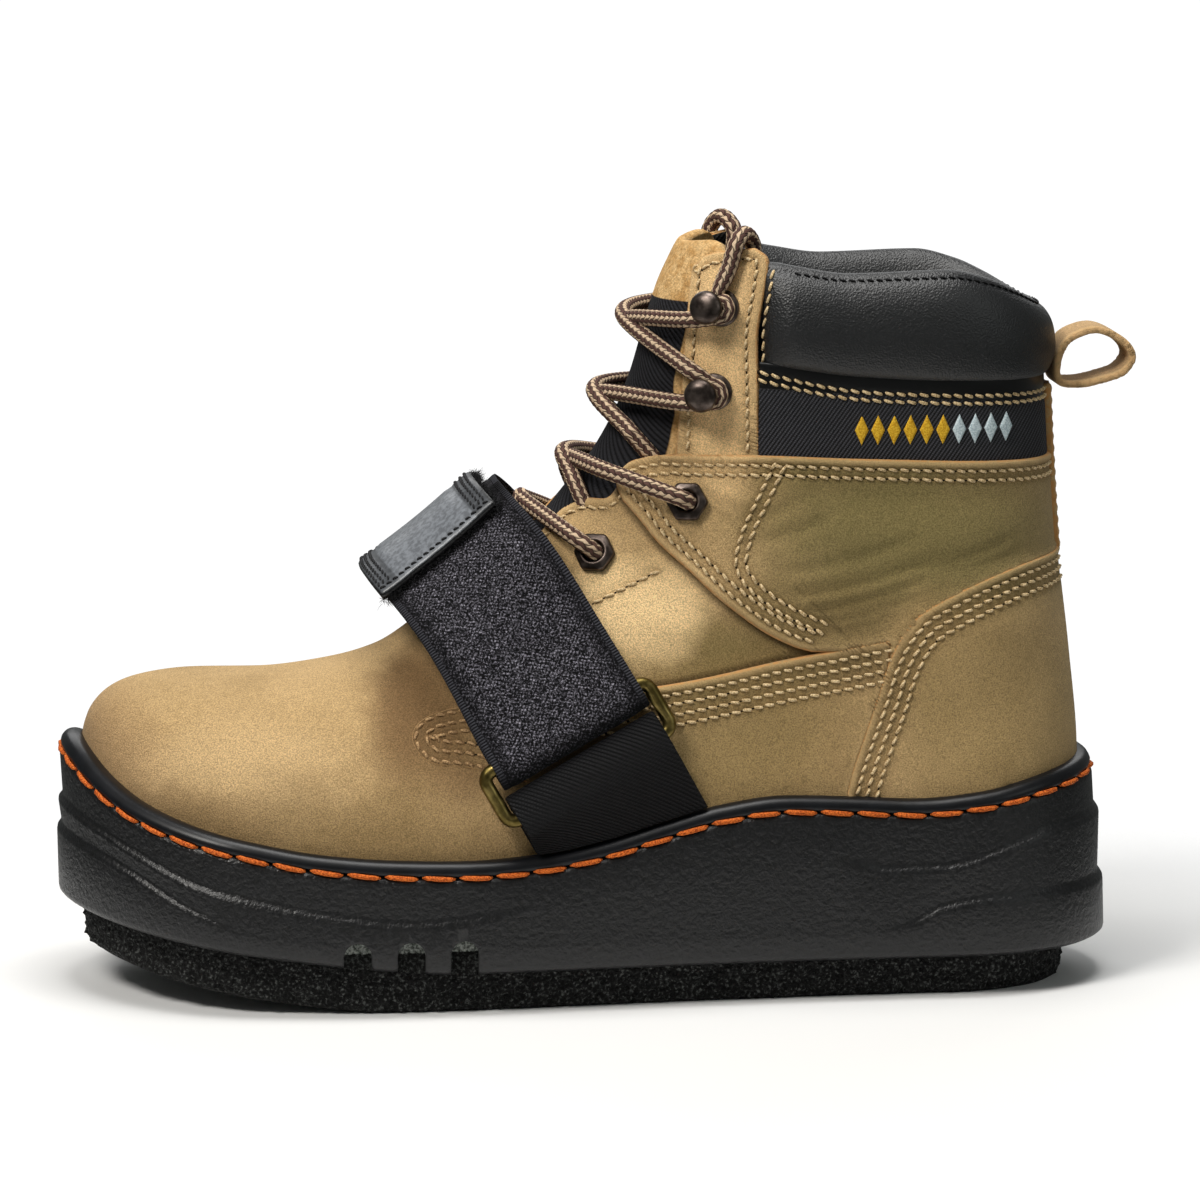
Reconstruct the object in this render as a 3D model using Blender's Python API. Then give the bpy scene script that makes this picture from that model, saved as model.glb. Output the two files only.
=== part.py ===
"""Left roofing boot: laced leather upper with a padded collar, on a stitched cup midsole and a foam pad.

Frame: +X to the toe, +Y to the wearer's left (the outer side), +Z up, origin on the floor under mid-sole.
Tables and sizes are in millimetres; meshes are made in metres.
"""

import math
from collections import namedtuple

import bmesh
import bpy
import numpy as np

MM = 0.001

# Driving dimensions
GAP = 0.3
CUP_GAP = 0.4
INSOLE_THICK = 3.0
WALL = 2.5
OVERLAY = 1.4
TOE_X = 148.9
TOE_RADIUS, TOE_POWER = 50.0, 2.1
HEEL_RADIUS, HEEL_POWER = 40.0, 2.2
COLUMNS = 8
TURN_SHARE = 0.55
SHARE_SPREAD = 1.0
EXTRA_ROWS = (4.5, 15.4, 15.75)
LACE_RADIUS = 2.5
LACE_SIDES = 6
HOOK_SIDES = 7
BAR_SIDES = 8
EYELET_HOLE_SIDES = 10
EYELET_HOLE, EYELET_BARREL, EYELET_HEX, EYELET_PLATE = 2.9, 3.5, 6.2, 1.2
EYELET_INSET, HOLE_CLEAR, HOLE_REACH = 0.4, 0.35, 8.0
HOOK_BASE, HOOK_PLATE, HOOK_POST, HOOK_DOME, HOOK_LIFT = 5.4, 1.0, 1.8, 4.9, 7.2
STRAP_HALF, STRAP_THICK = 24.5, 1.4
BAR_RADIUS = 2.0
PLATE_CLEAR = 0.9
RING_HALF_LENGTH, RING_HALF_WIDTH = 27.3, 8.0

LATERAL, MEDIAL = 1, -1

# Sections of the last from toe to heel. Each runs from the ridge (top) down to the feather line at low_x.
FootSection = namedtuple("FootSection", "name top_x top_z low_x lateral medial swing crown power")
FOOT_SECTIONS = [
    FootSection("toe_tip", 148.7, 44.0, 148.8, 41.0, 41.0, -9.0, 0.75, 2.3),
    FootSection("toe_nose", 148.2, 71.0, 148.6, 41.5, 41.5, -9.0, 0.75, 2.3),
    FootSection("toe_front", 146.4, 79.0, 147.5, 42.0, 42.0, -8.8, 0.75, 2.3),
    FootSection("toe_roof", 141.0, 85.8, 144.5, 43.0, 43.0, -8.5, 0.75, 2.3),
    FootSection("toe_cap", 132.0, 89.8, 138.0, 45.0, 45.0, -7.8, 0.78, 2.3),
    FootSection("toe_back", 116.0, 92.0, 124.0, 48.0, 47.5, -6.0, 0.80, 2.3),
    FootSection("vamp_front", 96.0, 92.4, 102.0, 51.0, 50.0, -3.5, 0.84, 2.25),
    FootSection("ball", 76.0, 95.2, 76.0, 52.0, 51.5, -1.5, 0.86, 2.2),
    FootSection("vamp", 62.0, 99.5, 52.0, 51.0, 51.0, -0.5, 0.88, 2.1),
    FootSection("throat", 46.0, 111.0, 26.0, 48.5, 47.0, 0.0, 0.85, 1.95),
    FootSection("instep_low", 31.0, 124.0, -2.0, 45.0, 43.0, 0.5, 0.78, 1.95),
    FootSection("instep", 17.0, 138.0, -32.0, 42.0, 40.5, 0.5, 0.68, 2.0),
    FootSection("instep_high", 7.0, 150.0, -62.0, 40.0, 39.0, 0.0, 0.58, 2.0),
    FootSection("ankle_low", 0.0, 159.0, -92.0, 38.5, 37.5, 0.0, 0.50, 2.0),
    FootSection("ankle", -3.5, 165.0, -118.0, 37.5, 37.0, 0.0, 0.45, 2.0),
    FootSection("heel_seat", -5.3, 168.5, -135.0, 37.0, 36.5, 0.0, 0.43, 2.0),
    FootSection("heel_base", -6.3, 170.5, -143.0, 36.5, 36.5, 0.0, 0.42, 2.0),
]

# Sections of the shaft, from the ridge in front back to the heel seam at low_z.
ShaftSection = namedtuple("ShaftSection", "name top_x top_z low_z lateral medial crown power")
SHAFT_SECTIONS = [
    ShaftSection("heel_low", -7.0, 172.0, 66.0, 36.0, 36.0, 0.42, 2.0),
    ShaftSection("heel_high", -7.6, 173.3, 95.0, 35.5, 35.5, 0.42, 2.0),
    ShaftSection("ankle_back", -8.2, 174.7, 128.0, 35.0, 35.0, 0.43, 2.0),
    ShaftSection("shaft_low", -9.0, 177.0, 152.0, 35.5, 35.5, 0.44, 2.05),
    ShaftSection("pad_bottom", -10.5, 181.0, 172.0, 36.5, 36.5, 0.45, 2.1),
    ShaftSection("shaft", -14.0, 193.0, 184.0, 37.0, 37.0, 0.45, 2.1),
    ShaftSection("collar_low", -18.0, 206.0, 193.0, 37.5, 37.5, 0.45, 2.1),
    ShaftSection("collar_top", -28.0, 227.0, 203.0, 37.5, 37.5, 0.45, 2.1),
]

# Back line of the heel and shaft, and the floor of the cup under the foot.
BackPoint = namedtuple("BackPoint", "z x")
BACK_LINE = [
    BackPoint(38.3, -143.0),
    BackPoint(55.0, -143.8),
    BackPoint(68.0, -143.5),
    BackPoint(98.0, -140.6),
    BackPoint(128.0, -137.0),
    BackPoint(158.0, -134.8),
    BackPoint(185.0, -133.2),
    BackPoint(204.0, -131.0),
]
FloorPoint = namedtuple("FloorPoint", "x z")
CUP_FLOOR = [
    FloorPoint(-145.0, 38.3),
    FloorPoint(-100.0, 38.0),
    FloorPoint(-50.0, 35.5),
    FloorPoint(0.0, 31.5),
    FloorPoint(40.0, 29.5),
    FloorPoint(70.0, 30.0),
    FloorPoint(100.0, 33.2),
    FloorPoint(125.0, 37.5),
    FloorPoint(149.0, 43.0),
]


# Curves through table rows

class Curve:
    """Monotone cubic through (x, y) knots, so that it never swings past them."""

    def __init__(self, xs, ys):
        order = np.argsort(xs)
        self.x = np.asarray(xs, float)[order]
        self.y = np.asarray(ys, float)[order]
        h = np.diff(self.x)
        d = np.diff(self.y) / h
        m = np.zeros_like(self.y)
        m[0], m[-1] = d[0], d[-1]
        for i in range(1, len(m) - 1):
            if d[i - 1] * d[i] > 0:
                w1 = 2 * h[i] + h[i - 1]
                w2 = h[i] + 2 * h[i - 1]
                m[i] = (w1 + w2) / (w1 / d[i - 1] + w2 / d[i])
        self.m = m

    def __call__(self, x):
        x = np.clip(x, self.x[0], self.x[-1])
        i = np.clip(np.searchsorted(self.x, x) - 1, 0, len(self.x) - 2)
        h = self.x[i + 1] - self.x[i]
        s = (x - self.x[i]) / h
        return (
            self.y[i] * (1 + 2 * s) * (1 - s) ** 2
            + self.m[i] * h * s * (1 - s) ** 2
            + self.y[i + 1] * s * s * (3 - 2 * s)
            + self.m[i + 1] * h * s * s * (s - 1)
        )


def column_curve(rows, key, column):
    return Curve([getattr(r, key) for r in rows], [getattr(r, column) for r in rows])


def rounded(distance, radius, power):
    """0 at an end, rising to 1 at radius, along a superellipse."""
    near = np.clip(np.asarray(distance, float) / radius, 0.0, 1.0)
    return (1.0 - (1.0 - near) ** power) ** (1.0 / power)


back_x = column_curve(BACK_LINE, "z", "x")
floor_z = column_curve(CUP_FLOOR, "x", "z")


# The last: side view point and half width for section number v and share t along it

HEEL_ROW = len(FOOT_SECTIONS) - 1
LAST_ROW = HEEL_ROW + len(SHAFT_SECTIONS)
ALL_SECTIONS = FOOT_SECTIONS + SHAFT_SECTIONS
_number = range(len(ALL_SECTIONS))


def _over_sections(column, default=0.0):
    return Curve(_number, [getattr(s, column, default) for s in ALL_SECTIONS])


top_x, top_z = _over_sections("top_x"), _over_sections("top_z")
lateral_width, medial_width = _over_sections("lateral"), _over_sections("medial")
swing, crown, crown_power = _over_sections("swing"), _over_sections("crown"), _over_sections("power")
foot_low_x = Curve(range(HEEL_ROW + 1), [s.low_x for s in FOOT_SECTIONS])
shaft_low_z = Curve(
    range(HEEL_ROW, LAST_ROW + 1), [BACK_LINE[0].z] + [s.low_z for s in SHAFT_SECTIONS]
)


def section_line(v):
    """Side view ends of section v: ridge point, then feather or back seam point."""
    if v <= HEEL_ROW:
        low_x = float(foot_low_x(v))
        low = (low_x, float(floor_z(low_x)))
    else:
        low_z = float(shaft_low_z(v))
        low = (float(back_x(low_z)), low_z)
    return np.array([float(top_x(v)), float(top_z(v))]), np.array(low)


def half_width(v, t, x, z, side):
    width = lateral_width(v) if side == LATERAL else medial_width(v)
    return (
        width
        * rounded(t, crown(v), crown_power(v))
        * rounded(x - back_x(z), HEEL_RADIUS, HEEL_POWER)
        * rounded(TOE_X - x, TOE_RADIUS, TOE_POWER)
    )


def last_point(v, t, side):
    """Point (x, y, z) on the outside of the upper."""
    top, low = section_line(v)
    x = top[0] + (low[0] - top[0]) * t
    z = top[1] + (low[1] - top[1]) * t
    y = swing(v) + side * half_width(v, t, x, z, side)
    return np.array([x, float(y), z])


def locate(x, z):
    """Section number and share of the side view point (x, z)."""
    point = np.array([x, z])

    def ahead(v):
        top, low = section_line(v)
        along, to_point = low - top, point - top
        return along[0] * to_point[1] - along[1] * to_point[0]

    low_v, high_v = 0.01, float(LAST_ROW)
    sign = ahead(low_v) > 0
    for _ in range(40):
        middle = (low_v + high_v) / 2
        if (ahead(middle) > 0) == sign:
            low_v = middle
        else:
            high_v = middle
    top, low = section_line(low_v)
    share = float(np.dot(point - top, low - top) / np.dot(low - top, low - top))
    return low_v, min(max(share, 0.0), 1.0)


def surface(x, z, side, offset=0.0):
    """Point of the upper seen at (x, z) from the side, moved out by offset, and its outward normal."""
    v, t = locate(x, z)
    step = 0.02
    low_t, high_t = max(t - step, 0.001), min(t + step, 0.999)
    along_t = last_point(v, high_t, side) - last_point(v, low_t, side)
    low_v, high_v = max(v - 0.1, 0.05), min(v + 0.1, LAST_ROW)
    along_v = last_point(high_v, t, side) - last_point(low_v, t, side)
    normal = np.cross(along_t, along_v) * side
    normal /= np.linalg.norm(normal)
    return last_point(v, t, side) + normal * offset, normal


# Lines of the sole along the foot

RimPoint = namedtuple("RimPoint", "x z")
RIM = [
    RimPoint(149.0, 73.6),
    RimPoint(146.5, 71.0),
    RimPoint(140.0, 65.1),
    RimPoint(131.6, 59.8),
    RimPoint(117.5, 54.5),
    RimPoint(100.6, 50.4),
    RimPoint(80.7, 46.8),
    RimPoint(57.8, 44.8),
    RimPoint(37.6, 44.2),
    RimPoint(17.3, 45.5),
    RimPoint(0.0, 48.5),
    RimPoint(-17.8, 53.4),
    RimPoint(-35.4, 58.0),
    RimPoint(-53.0, 60.1),
    RimPoint(-73.6, 59.3),
    RimPoint(-94.0, 58.2),
    RimPoint(-112.0, 59.7),
    RimPoint(-127.6, 62.8),
    RimPoint(-138.2, 65.1),
    RimPoint(-144.0, 66.5),
]

# Each rib is a step in the wall of the cup: its height, and how far it steps.
RibPoint = namedtuple("RibPoint", "x z step")
UPPER_RIB = [
    RibPoint(155.0, 55.5, 1.3),
    RibPoint(141.5, 49.8, 1.3),
    RibPoint(132.0, 45.3, 1.3),
    RibPoint(116.0, 38.4, 1.3),
    RibPoint(104.0, 35.4, 1.2),
    RibPoint(72.0, 29.5, 1.1),
    RibPoint(55.0, 27.7, 1.0),
    RibPoint(38.0, 28.9, 0.8),
    RibPoint(18.0, 32.0, 0.0),
    RibPoint(-68.0, 42.0, 0.0),
    RibPoint(-76.0, 41.2, 0.6),
    RibPoint(-83.0, 39.2, 1.1),
    RibPoint(-100.0, 39.4, 1.3),
    RibPoint(-123.0, 45.4, 1.3),
    RibPoint(-133.0, 48.6, 1.3),
    RibPoint(-155.0, 50.5, 1.3),
]
LOWER_RIB = [
    RibPoint(155.0, 47.0, 1.3),
    RibPoint(141.5, 43.0, 1.3),
    RibPoint(132.0, 38.9, 1.3),
    RibPoint(122.7, 33.8, 1.2),
    RibPoint(113.4, 29.6, 0.8),
    RibPoint(100.0, 25.0, 0.0),
    RibPoint(50.0, 21.0, 0.0),
    RibPoint(-80.0, 21.5, 0.0),
    RibPoint(-91.0, 23.0, 0.7),
    RibPoint(-100.0, 27.4, 1.2),
    RibPoint(-114.0, 29.6, 1.3),
    RibPoint(-155.0, 30.5, 1.3),
]
LIP_BASE, LIP_RISE, LIP_START, LIP_POWER = 12.0, 13.0, 40.0, 1.3
SPRING_RISE, SPRING_START, SPRING_POWER = 13.0, 58.0, 1.45
TOE_END = 150.0
NOTCH_PLACES = (70.3, 54.9, 39.6)
NOTCH_HALF_WIDTH, NOTCH_TOP, NOTCH_DEPTH = 4.0, 22.5, 3.5
NOTCH_WALL, NOTCH_BELOW, NOTCH_REACH, NOTCH_STEPS = 7.0, 3.0, 20.0, 6
WELT_DROP = 3.5
HEEL_FLARE_START = -95.0
INSOLE_INSET = -WALL - 2.0

rim_z = column_curve(RIM, "x", "z")
upper_rib_z, upper_rib_step = column_curve(UPPER_RIB, "x", "z"), column_curve(UPPER_RIB, "x", "step")
lower_rib_z, lower_rib_step = column_curve(LOWER_RIB, "x", "z"), column_curve(LOWER_RIB, "x", "step")


def lip_z(x):
    run = np.clip((x - LIP_START) / (TOE_END - LIP_START), 0.0, 1.2)
    return LIP_BASE + LIP_RISE * run ** LIP_POWER


def spring_z(x):
    run = np.clip((x - SPRING_START) / (TOE_END - SPRING_START), 0.0, 1.2)
    return SPRING_RISE * run ** SPRING_POWER


# Walls of the sole from the bottom up: offset from the feather line, more of it at the heel, rise over
# the wall's line, and whether the rib's step is taken there
WallLoop = namedtuple("WallLoop", "line offset heel rise stepped")
PAD_WALL = [
    WallLoop("spring", -3.5, 0.0, 0.0, 0),
    WallLoop("spring", -1.2, -0.4, 2.5, 0),
    WallLoop("lip", -0.8, 0.4, -GAP, 0),
]
MIDSOLE_WALL = [
    WallLoop("lip", 4.2, 4.5, 0.0, 0),
    WallLoop("lip", 6.6, 5.0, 1.6, 0),
    WallLoop("lower_rib", 6.9, 4.2, -1.2, 0),
    WallLoop("lower_rib", 6.8, 4.0, 0.4, 1),
    WallLoop("upper_rib", 6.5, 3.2, -1.2, 0),
    WallLoop("upper_rib", 6.4, 3.0, 0.4, 1),
    WallLoop("rim", 5.7, 1.6, -WELT_DROP - 2.2, 0),
    WallLoop("rim", 4.9, 1.4, -WELT_DROP, 0),
]
WELT_RING = [
    WallLoop("rim", -2.0, 0.0, GAP - WELT_DROP, 0),
    WallLoop("rim", 5.2, 1.4, GAP - WELT_DROP, 0),
    WallLoop("rim", 4.2, 1.4, -0.2, 0),
    WallLoop("rim", -2.0, 0.0, 0.3, 0),
]
SOLE_LINES = {
    "spring": spring_z,
    "lip": lip_z,
    "lower_rib": lower_rib_z,
    "upper_rib": upper_rib_z,
    "rim": rim_z,
}
RIB_STEPS = {"lower_rib": lower_rib_step, "upper_rib": upper_rib_step}


# Edges of the upper and of its panels, seen from the side

EdgePoint = namedtuple("EdgePoint", "x z")
MOUTH_EDGE = [
    EdgePoint(43.5, 110.8),
    EdgePoint(38.0, 113.0),
    EdgePoint(30.0, 119.0),
    EdgePoint(17.7, 131.5),
    EdgePoint(10.7, 139.4),
    EdgePoint(6.7, 142.8),
    EdgePoint(1.4, 145.2),
    EdgePoint(-4.0, 145.6),
    EdgePoint(-7.0, 149.0),
    EdgePoint(-9.4, 153.8),
    EdgePoint(-13.9, 156.6),
    EdgePoint(-24.0, 158.6),
    EdgePoint(-25.4, 174.0),
    EdgePoint(-26.5, 188.6),
    EdgePoint(-28.8, 209.9),
    EdgePoint(-31.0, 213.7),
    EdgePoint(-35.0, 216.5),
    EdgePoint(-46.0, 218.4),
    EdgePoint(-49.5, 215.0),
    EdgePoint(-48.6, 206.6),
    EdgePoint(-46.6, 195.0),
    EdgePoint(-46.6, 184.0),
    EdgePoint(-73.0, 180.8),
    EdgePoint(-102.0, 179.0),
    EdgePoint(-134.0, 177.8),
]
MOUTH_ABOVE = [
    EdgePoint(-200.0, 177.5),
    EdgePoint(-200.0, 260.0),
    EdgePoint(80.0, 260.0),
    EdgePoint(80.0, 122.0),
    EdgePoint(50.0, 118.0),
]
QUARTER_TOP = [
    EdgePoint(-136.0, 155.5),
    EdgePoint(-102.0, 157.0),
    EdgePoint(-73.0, 158.0),
    EdgePoint(-49.7, 158.9),
    EdgePoint(-25.0, 158.4),
    EdgePoint(-13.9, 156.4),
    EdgePoint(-9.6, 153.8),
    EdgePoint(-7.4, 149.2),
    EdgePoint(-9.0, 144.6),
]
QUARTER_FRONT = [
    EdgePoint(-13.3, 139.6),
    EdgePoint(-18.8, 132.8),
    EdgePoint(-27.2, 125.3),
    EdgePoint(-35.7, 117.3),
    EdgePoint(-47.2, 108.6),
    EdgePoint(-55.9, 104.0),
    EdgePoint(-62.0, 102.0),
]
SIDE_PANEL_TOP = [
    EdgePoint(-85.4, 105.3),
    EdgePoint(-70.6, 102.6),
    EdgePoint(-53.0, 99.6),
    EdgePoint(-19.5, 93.2),
    EdgePoint(33.8, 87.7),
    EdgePoint(45.2, 85.7),
    EdgePoint(51.1, 83.0),
    EdgePoint(53.5, 79.2),
    EdgePoint(52.0, 75.1),
    EdgePoint(47.2, 71.8),
    EdgePoint(37.2, 70.6),
    EdgePoint(20.0, 66.0),
    EdgePoint(8.0, 58.0),
]
COUNTER_EDGE = [
    EdgePoint(-72.1, 60.6),
    EdgePoint(-74.2, 68.6),
    EdgePoint(-80.3, 86.0),
    EdgePoint(-83.5, 96.1),
    EdgePoint(-87.6, 104.8),
    EdgePoint(-93.4, 112.0),
    EdgePoint(-101.3, 116.8),
    EdgePoint(-111.8, 121.7),
    EdgePoint(-124.5, 125.8),
    EdgePoint(-140.0, 127.6),
]
TONGUE_BACK = [
    EdgePoint(-36.0, 217.0),
    EdgePoint(-36.5, 200.0),
    EdgePoint(-38.0, 180.0),
    EdgePoint(-36.0, 158.0),
    EdgePoint(-26.0, 147.0),
    EdgePoint(-10.0, 136.0),
    EdgePoint(8.0, 128.0),
    EdgePoint(24.0, 113.0),
    EdgePoint(38.0, 102.5),
    EdgePoint(52.0, 97.0),
]
TONGUE_FRONT = [
    EdgePoint(70.0, 97.0),
    EdgePoint(70.0, 160.0),
    EdgePoint(10.0, 221.0),
    EdgePoint(-34.0, 222.0),
]
TONGUE_CLEAR, TONGUE_THICK = 0.4, 4.0
BAND_TOP = [
    EdgePoint(-47.5, 183.6),
    EdgePoint(-73.0, 180.4),
    EdgePoint(-102.0, 178.6),
    EdgePoint(-170.0, 177.2),
    EdgePoint(-170.0, 155.9),
]
BAND_THICK, COUNTER_EXTRA = 1.0, 0.3
QUARTER_BACK = [EdgePoint(-170.0, 155.0), EdgePoint(-170.0, 128.0)]
COUNTER_BACK = EdgePoint(-170.0, 127.6)
COUNTER_FOOT_X, PANEL_FOOT_X, PANEL_FRONT_X = -72.5, -71.4, 8.0
SEAM = 0.4
RIM_CLEAR = 0.9
RIM_STEPS = 14
MIDDLE_CLEAR = 0.2
FAR = 120.0

# Collar pad: bottom and top along the collar, and its cross section (height share, offset from the upper)
PadPoint = namedtuple("PadPoint", "x bottom top")
PAD_LINE = [
    PadPoint(-51.6, 184.2, 214.4),
    PadPoint(-58.0, 183.4, 213.2),
    PadPoint(-73.0, 181.3, 211.2),
    PadPoint(-102.0, 179.5, 212.0),
    PadPoint(-114.0, 179.0, 209.6),
    PadPoint(-123.0, 178.6, 206.0),
    PadPoint(-132.0, 178.3, 201.0),
]
PadSection = namedtuple("PadSection", "height offset")
PAD_SECTION = [
    PadSection(0.00, -0.4),
    PadSection(0.10, 2.8),
    PadSection(0.38, 4.6),
    PadSection(0.72, 3.4),
    PadSection(0.95, -0.8),
    PadSection(0.98, -5.4),
    PadSection(0.72, -9.6),
    PadSection(0.26, -9.2),
    PadSection(0.00, -3.6),
]
PAD_STATIONS, PAD_FINE = 13, 161
PAD_ROW = HEEL_ROW + 6.0

# Lace levels, low to high: side view place, layer under the plate, run from there to clear the throat edge
LaceLevel = namedtuple("LaceLevel", "name x z layer edge_run")
EYELETS = [
    LaceLevel("low", -0.4, 130.0, 0.0, 18.0),
    LaceLevel("high", -27.0, 144.7, GAP + OVERLAY, 22.0),
]
HOOKS = [
    LaceLevel("low", -34.7, 177.2, 0.0, 12.0),
    LaceLevel("high", -36.9, 201.1, 0.0, 12.0),
]
UNDER_STRAP = LaceLevel("under_strap", 23.0, 122.0, 0.0, 11.0)
LaceCrossing = namedtuple("LaceCrossing", "number lower upper ridge_x ridge_z")
LACE_CROSSINGS = [
    LaceCrossing(1, UNDER_STRAP, EYELETS[0], 17.5, 141.2),
    LaceCrossing(2, EYELETS[0], EYELETS[1], 5.2, 155.0),
    LaceCrossing(3, EYELETS[1], HOOKS[0], -4.0, 173.6),
    LaceCrossing(4, HOOKS[0], HOOKS[1], -12.4, 195.0),
]

# Where a lace leaves the throat edge, its eyelet or its hook: runs from there, and levels over the upper
EDGE_STEP, EDGE_LEVEL, EDGE_LEVEL_NEXT = 3.0, 0.3, 1.0
MOUTH_CLEAR, MOUTH_RISE, MOUTH_RUN, MOUTH_RUN_RISE, MOUTH_EDGE_RISE = 0.4, 1.2, 5.5, 3.4, 1.4
HOOK_RUN, HOOK_RISE_SHARE = 9.0, 0.6
CROSS_LIFT, CROSS_SLOPE = 2.0, 0.7

# Hook from its base plate up: radius, and height over its seat
HookPoint = namedtuple("HookPoint", "radius height")
HOOK_PROFILE = [
    HookPoint(HOOK_BASE, 0.0),
    HookPoint(HOOK_BASE, HOOK_PLATE - 0.1),
    HookPoint(HOOK_POST, HOOK_PLATE),
    HookPoint(HOOK_POST, HOOK_LIFT),
    HookPoint(HOOK_DOME, HOOK_LIFT + 0.2),
    HookPoint(HOOK_DOME * 0.86, HOOK_LIFT + 1.9),
    HookPoint(HOOK_DOME * 0.4, HOOK_LIFT + 3.0),
]

# Lace end: over the top of the eyestay and into the boot
LacePoint = namedtuple("LacePoint", "x z offset rise")
LACE_OVER = [
    LacePoint(-40.0, 212.0, LACE_RADIUS + 1.0, 0.0),
    LacePoint(-42.0, 217.6, LACE_RADIUS + 0.6, 1.4),
    LacePoint(-42.6, 218.0, -WALL / 2 - 0.3, LACE_RADIUS + 2.0),
    LacePoint(-43.0, 217.8, -WALL - LACE_RADIUS - 1.8, 2.0),
    LacePoint(-43.0, 211.0, -WALL - LACE_RADIUS - 1.8, 0.0),
    LacePoint(-43.0, 200.0, -WALL - LACE_RADIUS - 1.8, 0.0),
]

# Strap: middle line in side view, with the lift that clears the laces at its rear and front edge
StrapPoint = namedtuple("StrapPoint", "x z")
STRAP_LINE = [
    StrapPoint(39.0, 118.6),
    StrapPoint(27.3, 106.0),
    StrapPoint(15.4, 90.2),
    StrapPoint(6.9, 74.6),
    StrapPoint(-6.5, 51.5),
]
RING_POINT = 3
STRAP_BASE, STRAP_LIFT_REAR, STRAP_LIFT_FRONT, STRAP_LIFT_RUN = GAP + OVERLAY + 2 * GAP, 13.5, 15.0, 45.0
LIFT_UPWARD = 1.5
STRAP_LINES, STRAP_ABOVE, STRAP_CLEAR, RUN_POWER = 4, 40.0, 1.4, 2.0
INNER_STEPS, OUTER_STEPS, WEBBING_STEPS, TURN_STEPS, CORNER_STEPS = 8, 7, 3, 5, 3
BAR_APPROACH, WEBBING_APPROACH = 5.0, 4.0
TAB_THICK, TAB_CLEAR, TAB_OUTER_RUN, TAB_INNER_RUN, TAB_STEPS = 3.0, 0.6, 5.0, 1.5, 4
TAB_REAR, TAB_FRONT = -0.80, 1.08
RING_CORNER, RING_LIFT, WEBBING_BULGE = 3.0, 0.8, 4.6
FOLD_CLEAR, FOLD_SLACK = 0.1, 3.0

# Pull loop: middle line behind the heel seam
LoopPoint = namedtuple("LoopPoint", "x z")
PULL_LOOP = [
    LoopPoint(-138.5, 176.6),
    LoopPoint(-138.3, 183.0),
    LoopPoint(-141.6, 188.8),
    LoopPoint(-149.5, 191.4),
    LoopPoint(-157.0, 188.2),
    LoopPoint(-160.2, 183.6),
    LoopPoint(-157.6, 179.0),
    LoopPoint(-151.0, 176.6),
    LoopPoint(-144.0, 175.4),
]
LOOP_THICK, LOOP_HALF_WIDTH = 2.2, 9.0
BACKSTAY_HALF, BACKSTAY_LOW, BACKSTAY_HIGH = 7.0, 126.0, 175.5
BACKSTAY_FRONT, BACKSTAY_BACK, BACKSTAY_LIFT, BACKSTAY_THICK = -100.0, -160.0, 0.6, 1.2

# Materials: colour, roughness, metallic
Finish = namedtuple("Finish", "name colour roughness metallic")
NUBUCK = Finish("tan_nubuck", (0.36, 0.23, 0.10), 0.85, 0.0)
BLACK_LEATHER = Finish("black_leather", (0.02, 0.02, 0.02), 0.5, 0.0)
BLACK_FABRIC = Finish("black_fabric", (0.015, 0.015, 0.017), 0.9, 0.0)
BLACK_RUBBER = Finish("black_rubber", (0.012, 0.012, 0.013), 0.6, 0.0)
BLACK_FOAM = Finish("black_foam", (0.01, 0.01, 0.01), 0.95, 0.0)
LACE_BRAID = Finish("lace_braid", (0.12, 0.07, 0.04), 0.85, 0.0)
DARK_METAL = Finish("dark_metal", (0.05, 0.045, 0.04), 0.35, 1.0)
BRASS = Finish("antique_brass", (0.35, 0.27, 0.12), 0.4, 1.0)


# Mesh helpers. Thin layers and crossed laces come out empty or open with the exact solver.

THIN_SOLVER = "MANIFOLD"


def clear_objects():
    for obj in list(bpy.data.objects):
        bpy.data.objects.remove(obj)


def new_object(name, vertices, faces):
    mesh = bpy.data.meshes.new(name)
    mesh.from_pydata([tuple(float(c) * MM for c in p) for p in vertices], [], faces)
    work = bmesh.new()
    work.from_mesh(mesh)
    bmesh.ops.recalc_face_normals(work, faces=work.faces)
    work.to_mesh(mesh)
    work.free()
    obj = bpy.data.objects.new(name, mesh)
    bpy.context.scene.collection.objects.link(obj)
    return obj


def paint(obj, finish):
    material = bpy.data.materials.new(obj.name + "_" + finish.name)
    material.use_nodes = True
    shader = material.node_tree.nodes["Principled BSDF"]
    shader.inputs["Base Color"].default_value = (*finish.colour, 1.0)
    shader.inputs["Roughness"].default_value = finish.roughness
    shader.inputs["Metallic"].default_value = finish.metallic
    obj.data.materials.clear()
    obj.data.materials.append(material)
    return obj


def combine(obj, other, operation, solver="EXACT"):
    """Boolean of two closed objects; the second is used up."""
    modifier = obj.modifiers.new("cut", "BOOLEAN")
    modifier.operation = operation
    modifier.solver = solver
    modifier.object = other
    depsgraph = bpy.context.evaluated_depsgraph_get()
    mesh = bpy.data.meshes.new_from_object(obj.evaluated_get(depsgraph))
    obj.modifiers.clear()
    obj.data = mesh
    bpy.data.objects.remove(other)
    return obj


def prism(outline, y_from, y_to):
    """Side view outline drawn out along Y."""
    count = len(outline)
    vertices = [(p[0], y_from, p[1]) for p in outline] + [(p[0], y_to, p[1]) for p in outline]
    faces = [list(range(count)), list(range(2 * count - 1, count - 1, -1))]
    for i in range(count):
        j = (i + 1) % count
        faces.append([i, j, count + j, count + i])
    return new_object("prism", vertices, faces)


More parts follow.
